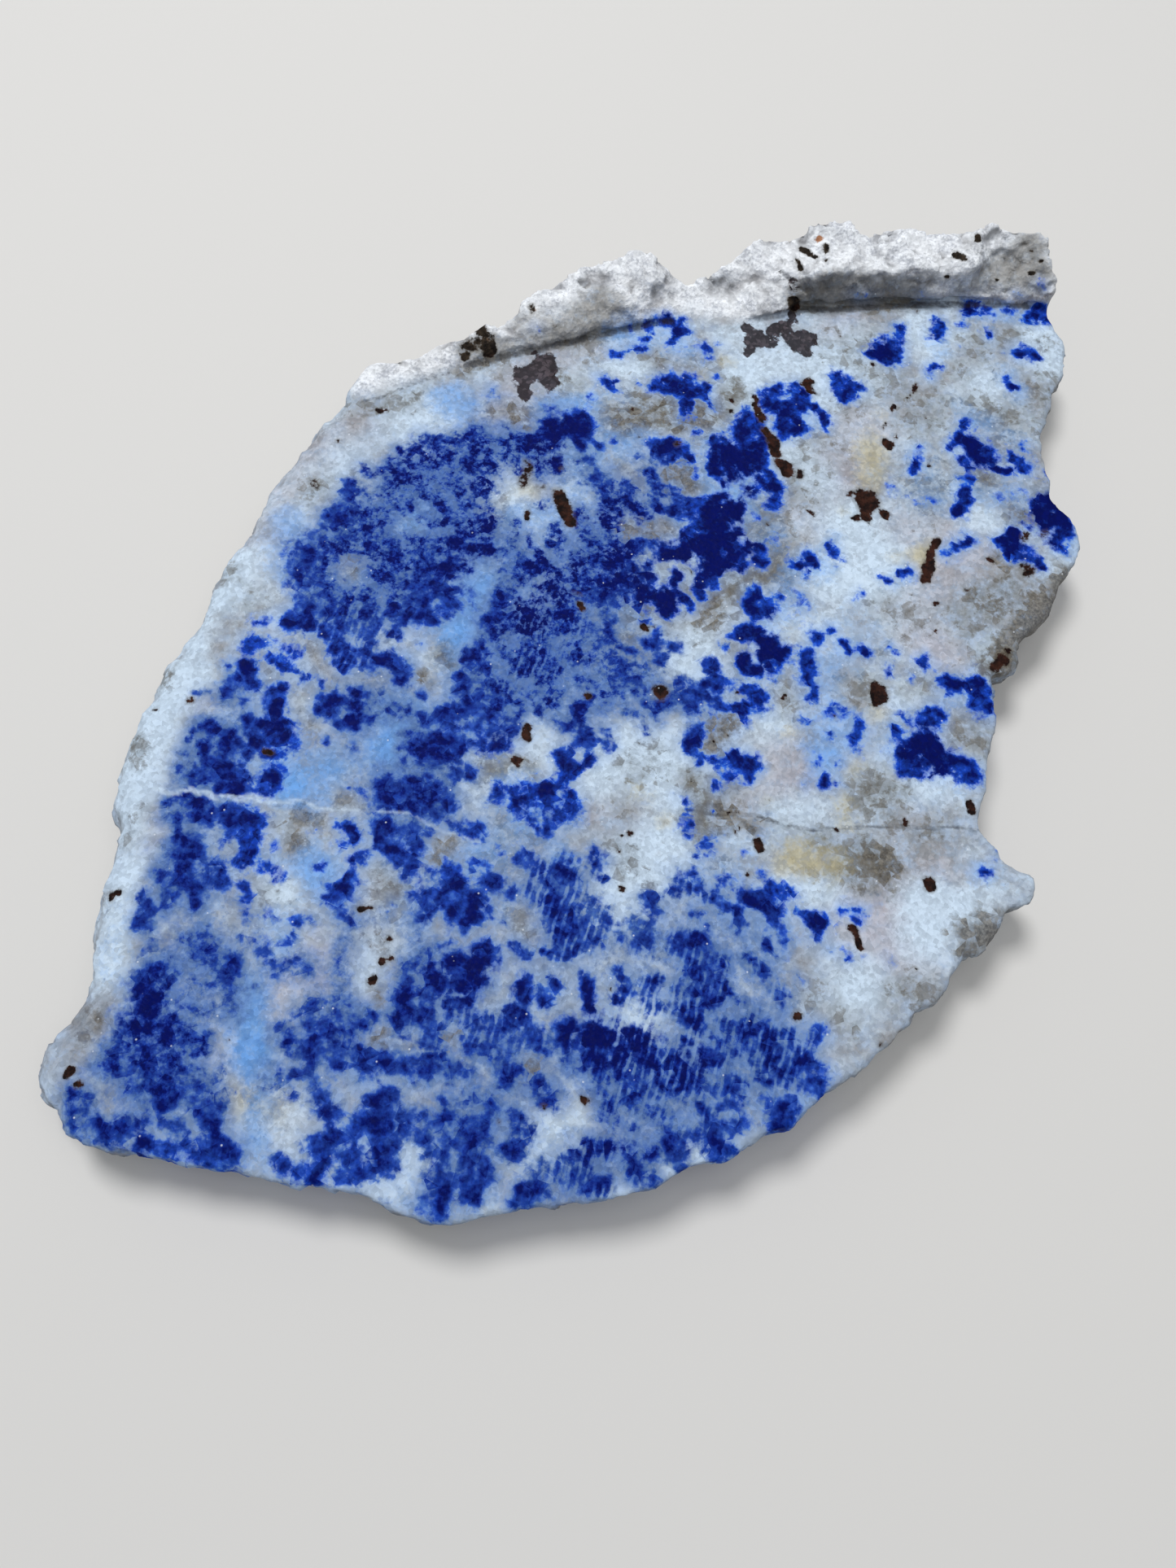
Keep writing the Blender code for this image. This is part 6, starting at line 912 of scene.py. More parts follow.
LEDGE_SPECKS = [
    (0.95, 0.5, 27.4, 131.6, 28.1, 131.3), (0.9, 0.4, 28.5, 130.8), (0.9, 0.4, 31, 132.8, 31, 131.8),
    (0.9, 0.35, 31, 129.9), (0.9, 0.3, 26.8, 129.4, 27.2, 127.8), (0.8, 0.35, 48.7, 127.7),
    (0.95, 0.45, 53.9, 136.2, 53.9, 135.4), (0.95, 0.7, 50.6, 132, 51.1, 131.9), (0.9, 0.35, 61.5, 133.8),
    (0.9, 0.4, 62.7, 131.7), (0.9, 0.45, 61.2, 129.3), (0.8, 0.3, 55.8, 127.8),
    (0.98, 0.8, -18.9, 113.8, -18.6, 113.2), (0.98, 1, -17.3, 110.5, -17.2, 109.7),
    (0.95, 0.6, -20.6, 108.9, -20.3, 108.3), (0.7, 0.5, -11.8, 118, -11.7, 117.2), (0.6, 0.5, -6.4, 112.4),
    (0.6, 0.6, -8, 115), (0.98, 0.7, 26, 122.2, 26.3, 120.8), (0.9, 0.35, 28.6, 131, 29.6, 130.4),
    (0.5, 0.3, -29.8, 107, -28.3, 106.7), (0.4, 0.25, -30.5, 101.5), (0.72, 1.5, -20, 110.6, -17.6, 111.6),
]
LEDGE_BLUE = [
    (0.6, 0.6, 62.5, 128, 62.5, 127), (0.6, 0.4, 58.8, 125.5), (0.7, 0.9, 35.3, 123.6, 36.7, 123.4),
    (0.45, 0.8, 44.5, 124), (0.6, 0.4, -10.5, 114.7),
]
RUST = [(0.9, 0.5, 30, 133.9), (0.8, 0.6, -17.8, 111.8, -17.6, 110.8), (0.6, 0.4, -11.5, 117.6)]

# Stretches where pale saw and fibre lines comb through the blue
COMBED = [
    (1, 3, -3, 32, -1.5, 27), (0.5, 3, -11, 16.5, -6, 14.5), (0.9, 2, 0.5, 3, 4, 1), (1, 3.5, 7, 16, 7, 11),
    (1, 3.5, 12, 22, 12.5, 12), (0.9, 3, 18, 17, 21.5, 15, 22, 19), (0.8, 3, -6, 66, -8, 60),
    (0.6, 3, -31, 66, -33, 61), (0.6, 3, 15, 26, 14, 30),
]

# Stretches where the blue breaks up into a fine mottle on a denim ground; below a strength of about a
# half only the ground is tinted
MOTTLED = [
    (1, 6, -30, 74, -24, 86, -14, 92), (0.9, 6, -14, 84, -6, 72, -8, 62), (0.8, 4, -6, 88, 0, 80, 4, 88),
    (0.7, 5, -4, 60, 6, 58), (0.5, 6, -20, 24, -8, 12, 4, 8, 14, 16, 10, 28, -4, 30),
    (0.4, 6, -16, 2, 6, 4), (0.7, 5, -50, 8, -42, 14, -44, 22), (0.55, 5, -34, 8, -26, 20),
    (0.6, 4, -49, 34, -46, 52), (0.6, 5, -26, 54, -20, 44), (0.4, 4, 20, 24, 22, 14),
]

# Where the blue is deepest
DARKEST = [
    (1, 2.2, 16.2, 79.5, 17.8, 83.9), (1, 2, 10.9, 77.2, 7.9, 72.8, 3.6, 75),
    (0.8, 1.5, 5.4, 83.1, -0.2, 82.8), (1, 1.9, 58.6, 86.7, 56.8, 84.4, 60.3, 89.1),
    (1, 1.4, 40.9, 52.5, 42.2, 51), (1, 1.2, 50.7, 97, 52, 95.1), (1, 0.8, 38.6, 113.4),
    (0.8, 1.4, -6.1, 97.3, -7.6, 92.7), (0.7, 2, -30.9, 90.4, -26.8, 91.4),
    (0.7, 2, -9.7, 21.5, -13.6, 20.7), (0.9, 2, 5.7, 15.5, 3, 16.9), (0.6, 2, 13, 14.1),
    (0.7, 2, -4.9, 75.4, -7.2, 69.5, -9.7, 67.6), (0.8, 1.5, 17.2, 94.2, 18.9, 87.8),
    (0.7, 2, -49.5, 17, -46.3, 14.5), (0.4, 1.5, -46.7, 3.5), (0.6, 1.5, -33.5, 12.6),
    (0.9, 1.2, 23.6, 68.4, 22, 66, 20.4, 64.7), (0.8, 0.8, 32.9, 67.8), (0.6, 2, -15.9, 79.9, -18.6, 74.2),
    (0.5, 1.5, -8.5, 51.9, -12.2, 48.4), (0.6, 1.5, 5.3, 5.2, 0, 6.6),
]

# Granular dusty brown patches on the face and the ledge's front; on the flared right rim and at the foot
# of the left ledge they are painted shade
BROWN_DUST_AND_SHADE = [
    (0.8, 0.8, 3.2, 82, 4.4, 81.8), (0.7, 0.8, 6.6, 82.2, 8, 82), (0.8, 1.2, 9.2, 90.2, 10.6, 89.2),
    (0.6, 1.6, 2, 99, 5, 101), (0.7, 1.6, 9, 99.5, 12.5, 100), (0.6, 1, 4.1, 68.9, 5.8, 70.3),
    (0.9, 0.8, -18.4, 62.2, -18, 61), (0.7, 0.6, -25, 81.2, -24.6, 80.6),
    (0.8, 0.7, -32.2, 73.8, -31.5, 72.8), (0.7, 0.5, -21.3, 58.6, -20.7, 58),
    (0.8, 0.9, 15.6, 52.2, 16.4, 54.7), (0.7, 1, 11.2, 91.5), (0.8, 1, 17, 42.6, 19.8, 41.9),
    (0.9, 0.8, 56.5, 86.9), (1, 1.4, 45, 29.3, 46.6, 30.4),
    (1, 1.5, 61.2, 77.6, 58.2, 73, 55.6, 69.8, 53.8, 67), (0.7, 1.3, 28.5, 124.6, 33, 125.4, 37, 125.6),
    (0.8, 0.8, -20.6, 106.7, -17, 108), (0.6, 0.8, -22.3, 24.8), (0.7, 1.2, 36.6, 36.8, 35.4, 38),
    (0.7, 0.6, -34, 39.8, -33.2, 39.4), (0.6, 0.5, -34.3, 36.2), (0.6, 0.8, -17, 35.9, -16, 37.4),
    (0.7, 0.5, -21.5, 14.7), (0.6, 0.5, -22.2, 19.1), (0.7, 0.6, -52.4, 14.4), (0.5, 0.5, -21.4, 31.9),
    (0.6, 0.3, -25.1, 28.7), (0.5, 0.6, -34.6, 7.8), (0.6, 0.9, -4.3, 12.2), (0.5, 0.7, -13.4, 14.5),
    (0.6, 1, -12, 98.2), (0.5, 0.8, -14.2, 99.9), (0.5, 0.8, -6, 92.6), (0.7, 0.8, 14.4, 69.4, 15.2, 71.4),
    (0.6, 1, 52.6, 79.8), (0.6, 0.8, 50.5, 73.6), (0.8, 0.9, 52.4, 65.5, 51, 64.6),
]

# The white vein across the left of the face, and the grey crack that runs on from it to the right rim
VEIN = [
    (1, 0.2, -52.1, 42.1, -48, 41.9, -44.2, 41.6, -41, 41.5, -38.7, 41.3),
    (0.8, 0.2, -38.7, 41.3, -34, 41, -30.2, 40.8),
    (0.6, 0.2, -30.2, 40.8, -27.8, 41, -24, 40.8, -21.7, 40.6),
    (0.5, 0.2, -21.7, 40.6, -17.9, 39, -15, 38.3, -12.4, 37.7),
]
CRACK = [
    (12, 43), (15, 42.6), (20, 42.8), (24, 41.6), (27, 41.2), (30, 41.7), (34, 42), (38, 42.4),
    (41.5, 42.2), (43, 42.6), (46.8, 42.3),
]
LEFT_CRACK = [(-34, 99.9), (-31, 101), (-28.5, 102.7), (-26, 104), (-24, 105), (-22, 105.8)]

# Painted shadow along the foot of the ledge, under its overhang, as lines of (x, y), and how wide it is
FOOT_SHADOW_LINES = [
    [(26.4, 119.7), (27.4, 120.3), (33, 120.7), (40.4, 121.8), (47.6, 122.6), (54.2, 123), (60, 123.1)],
    [(-20, 107), (-15.4, 108.9), (-9.4, 110.8), (-2.2, 113.5), (5.6, 116.3), (8.5, 117)],
]
FOOT_SHADOW_WIDTH = 0.9

# How far noise pushes the strokes out of line, as (size, distance)
WARPS = [(2.6, 0.7), (1.1, 0.4)]

# A stroke keeps its full strength over the core of its half width. From there it fades out over an edge
# in millimetres and a spread that is a part of its half width. The halo is the paler blue round the grains
CORE = 0.6
SOFT_EDGE = 0.3
SOFT_SPREAD = 0.8
HALO_EDGE = 1.3
HALO_SPREAD = 1.2
CLOUD_EDGE = 0.8
CLOUD_SPREAD = 1.6
SPECK_EDGE = 0.25
VEIN_EDGE = 0.2

# The furthest distance from a crack that is told apart
LINE_REACH = 3.0

# How the markings wander between the sawn face and the underside, as (size, distance)
DRIFT = (16.0, 9.0)

# How deep a speck goes into the stone, how far it is sunk where it is stronger than its brink, and the
# half width under which a spot is given a vertex of its own
SPECK_DEPTH = 1.6
SPECK_PIT = 0.35
SPECK_BRINK = 0.5
SMALL_SPECK = 0.5

# Specks scattered in the sides, as (distance between them, reach as a part of it), and the part of the
# way down the side at which they begin
DEEP_SPECKS = (7.0, 0.10)
DEEP_FROM = 0.3


def through(rows, spacing):
    """Points every `spacing` along a smooth curve through the rows, measured on their first two values."""
    rows = np.array(rows, dtype=float)
    last = len(rows) - 1
    fine = []
    for i in range(last):
        a, b, c, d = (rows[min(max(i + k, 0), last)] for k in (-1, 0, 1, 2))
        for t in np.linspace(0.0, 1.0, CURVE_STEPS, endpoint=False):
            fine.append(0.5 * (2 * b + (c - a) * t + (2 * a - 5 * b + 4 * c - d) * t**2
                               + (3 * b - a - 3 * c + d) * t**3))
    fine.append(rows[-1])
    fine = np.array(fine)
    along = np.concatenate([[0.0], np.cumsum(np.hypot(*np.diff(fine[:, :2], axis=0).T))])
    pieces = max(int(round(along[-1] / spacing)), 1)
    wanted = np.linspace(0.0, along[-1], pieces + 1)
    return np.column_stack([np.interp(wanted, along, column) for column in fine.T])


def smoothed(loop, reach, spacing):
    """A closed loop of rows with each value averaged over `reach` to either side."""
    half = max(int(round(reach / spacing)), 1)
    weights = np.hanning(2 * half + 3)[1:-1]
    total = np.zeros_like(loop)
    for shift, weight in zip(range(-half, half + 1), weights):
        total += weight * np.roll(loop, shift, axis=0)
    return total / weights.sum()


def outward(loop):
    """Unit normals of a counter-clockwise loop of plan points, pointing out of it."""
    along = np.roll(loop, -1, axis=0) - np.roll(loop, 1, axis=0)
    along /= np.linalg.norm(along, axis=1)[:, None]
    return np.column_stack([along[:, 1], -along[:, 0]])


def lumps(point, layers):
    """Height of the stone's roughness at a point, as a sum of noise layers."""
    return sum(height * noise.noise(Vector(point) / size) for size, height in layers)


def facets(point, size, lift):
    """Height of flat tilted facets, each round its own scattered point."""
    place = Vector(point) / size
    middle = noise.voronoi(place)[1][0]
    tilt = noise.noise_vector(middle * FACET_SCATTER)
    return lift * (place - middle).dot(tilt)


def roughness_share(width):
    """How much of the full roughness the ledge has where it is this wide."""
    return min(max((width - SMOOTH_WIDTH) / (ROUGH_WIDTH - SMOOTH_WIDTH), 0.0), 1.0)


def stone_outline(spacing):
    """The rim and the ledge as one counter-clockwise loop: plan points, side shapes, and ledge sections."""
    sections = through(LEDGE, spacing)
    rims = [through(LEFT_RIM + NEAR_RIM[:1], spacing)[:-1], through(NEAR_RIM + RIGHT_RIM[:1], spacing)[:-1],
            through(RIGHT_RIM, spacing)]
    plan = np.vstack([sections[:, 2:4]] + rims)
    shapes = [LEDGE_SIDE] * len(sections)
    for rim, shape in zip(rims, (LEFT_SIDE, NEAR_SIDE, RIGHT_SIDE)):
        shapes += [shape] * len(rim)
    shapes = smoothed(np.array(shapes), SHAPE_BLEND, spacing)
    return plan, shapes, sections


def flare(x, y):
    """How much further than usual the side reaches out at a plan point."""
    return sum(size * np.exp(-((x - fx) ** 2 + (y - fy) ** 2) / reach**2) for fx, fy, reach, size in FLARES)


def wall_rows(plan, shapes, top, spacing):
    """Rows of wall points from the underside to the edge of the sawn face or the ledge's crest."""
    is_crest = top > SLAB_THICKNESS
    broad = smoothed(plan, WALL_SMOOTHING, spacing)
    rows = []
    for part, detail in zip(WALL_ROWS, WALL_DETAIL):
        base = plan * detail + broad * (1 - detail)
        normals = outward(smoothed(base, DIRECTION_BLEND, spacing))
        row = []
        for i in range(len(plan)):
            slope, widest, reach, undercut = shapes[i]
            reach += flare(*plan[i])
            out = -undercut + (reach + undercut) * np.sin(part * np.pi / 2)
            x, y = base[i] + normals[i] * out
            z = part * widest * top[i] / SLAB_THICKNESS
            row.append((x, y, z))
        rows.append(row)
    edge = []
    shoulder = []
    for i in range(len(plan)):
        inset = 0.0 if is_crest[i] else shapes[i][0] + lumps((*plan[i], 0.0), RIM_ROUGHNESS)
        x, y = plan[i] - normals[i] * inset
        edge.append((x, y, top[i]))
        between = (np.array(edge[i]) + np.array(rows[-1][i])) / 2
        swell = SHOULDER_SWELL * min(shapes[i][0], 1.0)
        shoulder.append((*(between[:2] + normals[i] * swell), between[2] + swell))
    return rows + [shoulder, edge]


def ledge_column(section):
    """Points of one section of the ledge from its foot, behind the saw kerf, to just before its crest."""
    foot = np.array(section[0:2])
    across = np.array(section[2:4]) - foot
    front, front_height, crest_height = section[4:7]
    width = np.linalg.norm(across)
    kerf = min(KERF_DEPTH * min(front_height / KERF_FULL_HEIGHT, 1.0) / width, KERF_WIDEST)
    slot = min(KERF_HEIGHT, KERF_WIDEST * front_height)
    points = [(kerf, 0.0), (kerf * 0.9, slot * 0.8), (LIP, slot)]
    for part in FRONT_ROWS:
        points.append((LIP + (front - LIP) * part**FRONT_HOLLOW, slot + (front_height - slot) * part))
    for part in TOP_ROWS:
        height = front_height + (crest_height - front_height) * part**TOP_SWELL
        points.append((front + (1 - front) * part, height))
    return [(*(foot + across * t), SLAB_THICKNESS + rise) for t, rise in points]


def build_stone(spacing):
    """The whole stone as one closed bmesh, with the kind of surface kept on each vertex."""
    plan, shapes, sections = stone_outline(spacing)
    top = np.full(len(plan), SLAB_THICKNESS)
    top[:len(sections)] += sections[:, 6]
    widths = np.linalg.norm(sections[:, 2:4] - sections[:, 0:2], axis=1)
    bm = bmesh.new()
    kind = bm.verts.layers.int.new("kind")
    rough = bm.verts.layers.float.new("rough")
    rows = []
    for number, row in enumerate(wall_rows(plan, shapes, top, spacing)):
        verts = [bm.verts.new(point) for point in row]
        for i, vert in enumerate(verts):
            is_ledge = i < len(sections)
            vert[rough] = roughness_share(widths[i]) if is_ledge else SIDE_CALM[number]
            if 0 < number <= len(WALL_ROWS):
                vert[kind] = SIDE
            elif number > len(WALL_ROWS) and is_ledge:
                vert[kind] = LEDGE_TOP
        rows.append(verts)
    count = len(plan)
    bm.faces.new(list(reversed(rows[0])))
    for lower, upper in zip(rows, rows[1:]):
        for i in range(count):
            j = (i + 1) % count
            bm.faces.new((lower[i], lower[j], upper[j], upper[i]))
    columns = []
    for i, section in enumerate(sections):
        column = [bm.verts.new(point) for point in ledge_column(section)]
        for vert in column[2:]:
            vert[kind] = LEDGE_TOP
            vert[rough] = roughness_share(widths[i])
        columns.append(column + [rows[-1][i]])
    for right, left in zip(columns, columns[1:]):
        for k in range(len(right) - 1):
            bm.faces.new((right[k], right[k + 1], left[k + 1], left[k]))
    rim = rows[-1][len(sections):]
    for corner, column in ((rim[0], columns[-1]), (rim[-1], columns[0])):
        for low, high in zip(column, column[1:]):
            bm.faces.new((low, high, corner) if column is columns[-1] else (low, corner, high))
    bm.faces.new(rim + [column[0] for column in columns])
    return bm


def roughen(bm):
    """Push the walls and the ledge in and out along their normals."""
    kind = bm.verts.layers.int["kind"]
    rough = bm.verts.layers.float["rough"]
    bm.normal_update()
    moves = {}
    for vert in bm.verts:
        if vert[kind] == SAWN:
            continue
        is_ledge = vert[kind] == LEDGE_TOP
        push = lumps(vert.co, LEDGE_ROUGHNESS if is_ledge else SIDE_ROUGHNESS)
        push += facets(vert.co, *(LEDGE_FACETS if is_ledge else SIDE_FACETS))
        for x, y, z, reach, depth in HOLLOWS:
            push -= depth * np.exp(-(vert.co - Vector((x, y, z))).length_squared / reach**2)
        moves[vert] = vert.normal * push * vert[rough]
    for vert, move in moves.items():
        vert.co += move


def points_of(mesh):
    """The mesh's vertices as an array of rows."""
    flat = np.empty(len(mesh.vertices) * 3)
    mesh.vertices.foreach_get("co", flat)
    return flat.reshape(-1, 3)


def push_out(mesh, distances):
    """Move every vertex along its normal by its own distance."""
    normals = np.empty(len(mesh.vertices) * 3)
    mesh.vertices.foreach_get("normal", normals)
    moved = points_of(mesh) + normals.reshape(-1, 3) * distances[:, None]
    mesh.vertices.foreach_set("co", moved.ravel())
    mesh.update()


def plan_middle():
    """The middle of the solid model's plan box, in plan millimetres."""
    bm = build_stone(COARSE_SPACING)
    roughen(bm)
    places = np.array([vert.co for vert in bm.verts])
    bm.free()
    return (places.min(axis=0) + places.max(axis=0))[:2] / 2


def fine_stone():
    """The stone as an even mesh of small faces on top and round its sides, and larger ones underneath."""
    bm = build_stone(FINE_SPACING)
    roughen(bm)
    bmesh.ops.triangulate(bm, faces=bm.faces[:])
    rough_mesh = bpy.data.meshes.new("rough_stone")
    bm.to_mesh(rough_mesh)
    bm.free()
    stone = bpy.data.objects.new("stone_blank", rough_mesh)
    bpy.context.scene.collection.objects.link(stone)
    remesh = stone.modifiers.new("even_faces", "REMESH")
    remesh.mode = "VOXEL"
    remesh.voxel_size = VOXEL
    remesh.adaptivity = 0.0
    soften = stone.modifiers.new("no_steps", "SMOOTH")
    soften.factor = SMOOTH_SHARE
    soften.iterations = SMOOTH_ROUNDS
    even = bpy.data.meshes.new_from_object(stone.evaluated_get(bpy.context.evaluated_depsgraph_get()))
    stone.modifiers.clear()
    stone.data = even
    underside = stone.vertex_groups.new(name="underside")
    low = np.flatnonzero(points_of(even)[:, 2] < VOXEL / 2)
    underside.add(low.tolist(), 1.0, "REPLACE")
    even.calc_loop_triangles()
    thin = stone.modifiers.new("fewer_faces_below", "DECIMATE")
    thin.ratio = TRIANGLES / len(even.loop_triangles)
    thin.vertex_group = underside.name
    fine = bpy.data.meshes.new_from_object(stone.evaluated_get(bpy.context.evaluated_depsgraph_get()))
    bpy.data.objects.remove(stone)
    return fine


def crumble(mesh):
    """Crumble the ledge and the sides but not the flat faces, and say how deep each point's hollow is."""
    distances = np.zeros(len(mesh.vertices))
    for i, place in enumerate(points_of(mesh)):
        above = place[2] - SLAB_THICKNESS
        is_ledge = above > 0
        rise = above - KERF_HEIGHT if is_ledge else min(-above, place[2])
        share = min(max(rise / CRUMB_FADE, 0.0), 1.0)
        if share > 0.0:
            push = lumps(place, LEDGE_CRUMBS if is_ledge else SIDE_CRUMBS)
            push += facets(place, *(LEDGE_CRYSTALS if is_ledge else SIDE_CRYSTALS))
            distances[i] = push * share
    push_out(mesh, distances)
    return np.clip(-distances / HOLLOW_DEPTH, 0.0, 1.0)


def fall(distance, half, soft):
    """1 in the middle of a stroke, falling to 0 past its half width."""
    return np.clip(1.0 - (distance - half * CORE) / soft, 0.0, 1.0)


def to_path(points, path):
    """Each point's distance to the line through the path's points."""
    if len(path) == 1:
        return np.hypot(*(points - path[0]).T)
    nearest = np.full(len(points), np.inf)
    for start, end in zip(path, path[1:]):
        along = end - start
        share = np.clip((points - start) @ along / (along @ along), 0.0, 1.0)
        nearest = np.minimum(nearest, np.hypot(*(points - start - share[:, None] * along).T))
    return nearest


def painted(points, strokes, edge=SOFT_EDGE, spread=SOFT_SPREAD):
    """The strongest stroke at each plan point, between 0 and 1."""
    field = np.zeros(len(points))
    for strength, half, *places in strokes:
        path = np.array(places, dtype=float).reshape(-1, 2)
        soft = half * spread + edge
        reach = half * CORE + soft
        low, high = path.min(axis=0) - reach, path.max(axis=0) + reach
        near = np.flatnonzero(((points > low) & (points < high)).all(axis=1))
        value = strength * fall(to_path(points[near], path), half, soft)
        field[near] = np.maximum(field[near], value)
    return field


def clouds(points, strokes):
    """Broad soft strokes added up, between 0 and 1."""
    clear = np.ones(len(points))
    for stroke in strokes:
        clear *= 1.0 - painted(points, [stroke], CLOUD_EDGE, CLOUD_SPREAD)
    return 1.0 - clear


def line_distance(points, path):
    """Distance to a line, no more than LINE_REACH."""
    return np.minimum(to_path(points, np.array(path, dtype=float)), LINE_REACH)


def wander(place, size, distance):
    """A smooth random step in plan of about this distance, turning over this size."""
    return np.array(noise.noise_vector(Vector(place) / size)[:2]) * distance


def marking_places(places):
    """Where on the face each vertex's markings come from, the same pushed about by noise, and the depth."""
    plan = places[:, :2].copy()
    height = places[:, 2]
    raised = height > SLAB_THICKNESS
    plan[raised] *= ((CAMERA_HEIGHT - SLAB_THICKNESS) / (CAMERA_HEIGHT - height[raised]))[:, None]
    depth = np.clip((SLAB_THICKNESS - height) / SLAB_THICKNESS, 0.0, 1.0)
    for i, place in enumerate(places):
        if depth[i] > 0:
            plan[i] += wander(place, *DRIFT) * depth[i]
    warped = plan.copy()
    for warp in WARPS:
        for i, place in enumerate(places):
            warped[i] += wander(place, *warp)
    return plan, warped, depth


def seat_specks(mesh):
    """Move the nearest vertex of the face onto each small speck, so that none is missed."""
    places = points_of(mesh)
    tree = kdtree.KDTree(len(places))
    for i, place in enumerate(places):
        tree.insert(place, i)
    tree.balance()
    for strength, half, x, y, *rest in SPECKS:
        if half < SMALL_SPECK and not rest:
            place, i, distance = tree.find((x, y, SLAB_THICKNESS))
            if distance < VOXEL:
                mesh.vertices[i].co = (x, y, place.z)


def add_attribute(mesh, name, *columns):
    """Keep three values on every vertex."""
    layer = mesh.attributes.new(name, "FLOAT_VECTOR", "POINT")
    layer.data.foreach_set("vector", np.column_stack(columns).astype(np.float32).ravel())


def mark(mesh, hollows):
    """Work out the stone's markings and keep them on the mesh's points."""
    places = points_of(mesh)
    plan, warped, depth = marking_places(places)
    blue = painted(warped, BLUE + LEDGE_BLUE)
    halo = painted(warped, BLUE + LEDGE_BLUE, HALO_EDGE, HALO_SPREAD)
    add_attribute(mesh, "pigment", blue, halo, clouds(warped, HAZE))
    grey = clouds(warped, GREY + LEDGE_GREY_AND_SHADE)
    add_attribute(mesh, "wash", grey, clouds(warped, YELLOW), clouds(warped, PINK))
    specks = painted((plan + warped) / 2, SPECKS + LEDGE_SPECKS, SPECK_EDGE)
    specks *= np.exp(-((depth * SLAB_THICKNESS / SPECK_DEPTH) ** 2))
    size, reach = DEEP_SPECKS
    for i in np.flatnonzero(depth > DEEP_FROM):
        near = noise.voronoi(Vector(places[i]) / size)[0][0]
        specks[i] = max(specks[i], min(max(2.0 - near / reach, 0.0), 1.0))
    add_attribute(mesh, "spot", specks, painted(warped, CRUSTS_AND_STEP_SHADE), painted(plan, RUST))
    cracks = np.minimum(line_distance(plan, CRACK), line_distance(plan, LEFT_CRACK))
    # The foot lines add a painted shadow along the foot of the ledge to the cracks
    for line in FOOT_SHADOW_LINES:
        cracks = np.minimum(cracks, np.maximum(line_distance(plan, line) - FOOT_SHADOW_WIDTH / 2, 0.0))
    add_attribute(mesh, "line", painted(warped, VEIN, VEIN_EDGE), cracks, clouds(warped, WHITE_AND_PAINTED_LIGHT))
    raised = np.clip((places[:, 2] - SLAB_THICKNESS) / KERF_HEIGHT, 0.0, 1.0)
    add_attribute(mesh, "form", clouds(plan, COMBED), raised, clouds(plan, MOTTLED))
    add_attribute(mesh, "depth", clouds(warped, DARKEST), hollows, clouds(warped, BROWN_DUST_AND_SHADE))
    return specks


def sink_specks(mesh, specks):
    """Let the dark specks lie a little below the face."""
    on_top = points_of(mesh)[:, 2] > SLAB_THICKNESS / 2
    push_out(mesh, -SPECK_PIT * np.clip(specks - SPECK_BRINK, 0.0, 1.0) * on_top)


class Shading:
    """Short calls that add and join the shader nodes of one material."""

    def __init__(self, name):
        self.material = bpy.data.materials.new(name)
        self.material.use_nodes = True
        self.tree = self.material.node_tree
        self.shader = self.tree.nodes["Principled BSDF"]

    def node(self, kind, **settings):
        made = self.tree.nodes.new(kind)
        for key, value in settings.items():
            setattr(made, key, value)
        return made

    def put(self, socket, value):
        """Join a socket to an output, or set it to a plain value."""
        if isinstance(value, bpy.types.NodeSocket):
            self.tree.links.new(value, socket)
        else:
            socket.default_value = value

    def math(self, operation, first, second):
        made = self.node("ShaderNodeMath", operation=operation)
        self.put(made.inputs[0], first)
        self.put(made.inputs[1], second)
        return made.outputs[0]

    def add(self, first, second):
        return self.math("ADD", first, second)

    def less(self, first, second):
        return self.math("SUBTRACT", first, second)

    def times(self, first, second):
        return self.math("MULTIPLY", first, second)

    def scaled(self, value, low, high, to_low=0.0, to_high=1.0):
        """The value brought from one range into another, and kept inside it."""
        made = self.node("ShaderNodeMapRange", clamp=True)
        for socket, number in zip(made.inputs, (value, low, high, to_low, to_high)):
            self.put(socket, number)
        return made.outputs[0]

    def mix(self, share, first, second):
        made = self.node("ShaderNodeMix", data_type="RGBA")
        self.put(made.inputs["Factor"], share)
        self.put(made.inputs[6], first)
        self.put(made.inputs[7], second)
        return made.outputs[2]

    def swing(self, value, size):
        """Noise round zero, `size` times as strong."""
        return self.times(self.less(value, 0.5), size)

    def raggedly(self, cover, ragged, share, most, low=0.1, high=0.8):
        """A cover up to `most` between `low` and `high`, broken up by noise but none where there is none."""
        rough = self.add(cover, self.times(ragged, share))
        return self.times(self.scaled(rough, low, high, 0.0, most), self.scaled(cover, 0.0, 0.2))

    def ramp(self, value, stops):
        made = self.node("ShaderNodeValToRGB")
        elements = made.color_ramp.elements
        while len(elements) < len(stops):
            elements.new(0.5)
        for element, (place, colour) in zip(elements, stops):
            element.position = place
            element.color = colour
        self.put(made.inputs[0], value)
        return made.outputs[0]

    def noise(self, place, size, detail=2.0, roughness=0.5):
        """Smooth noise whose lumps are about `size` across."""
        made = self.node("ShaderNodeTexNoise")
        self.put(made.inputs["Vector"], place)
        self.put(made.inputs["Scale"], 1.0 / size)
        self.put(made.inputs["Detail"], detail)
        self.put(made.inputs["Roughness"], roughness)
        return made.outputs["Fac"]

    def cells(self, place, size):
        """Crystals about `size` across: the distance to each one's middle, and its three random values."""
        made = self.node("ShaderNodeTexVoronoi")
        self.put(made.inputs["Vector"], place)
        self.put(made.inputs["Scale"], 1.0 / size)
        own = self.node("ShaderNodeSeparateColor")
        self.put(own.inputs[0], made.outputs["Color"])
        return made.outputs["Distance"], own.outputs

    def kept(self, name):
        """The three values kept on the mesh under this name."""
        source = self.node("ShaderNodeAttribute", attribute_name=name)
        parts = self.node("ShaderNodeSeparateXYZ")
        self.put(parts.inputs[0], source.outputs["Vector"])
        return parts.outputs[:]


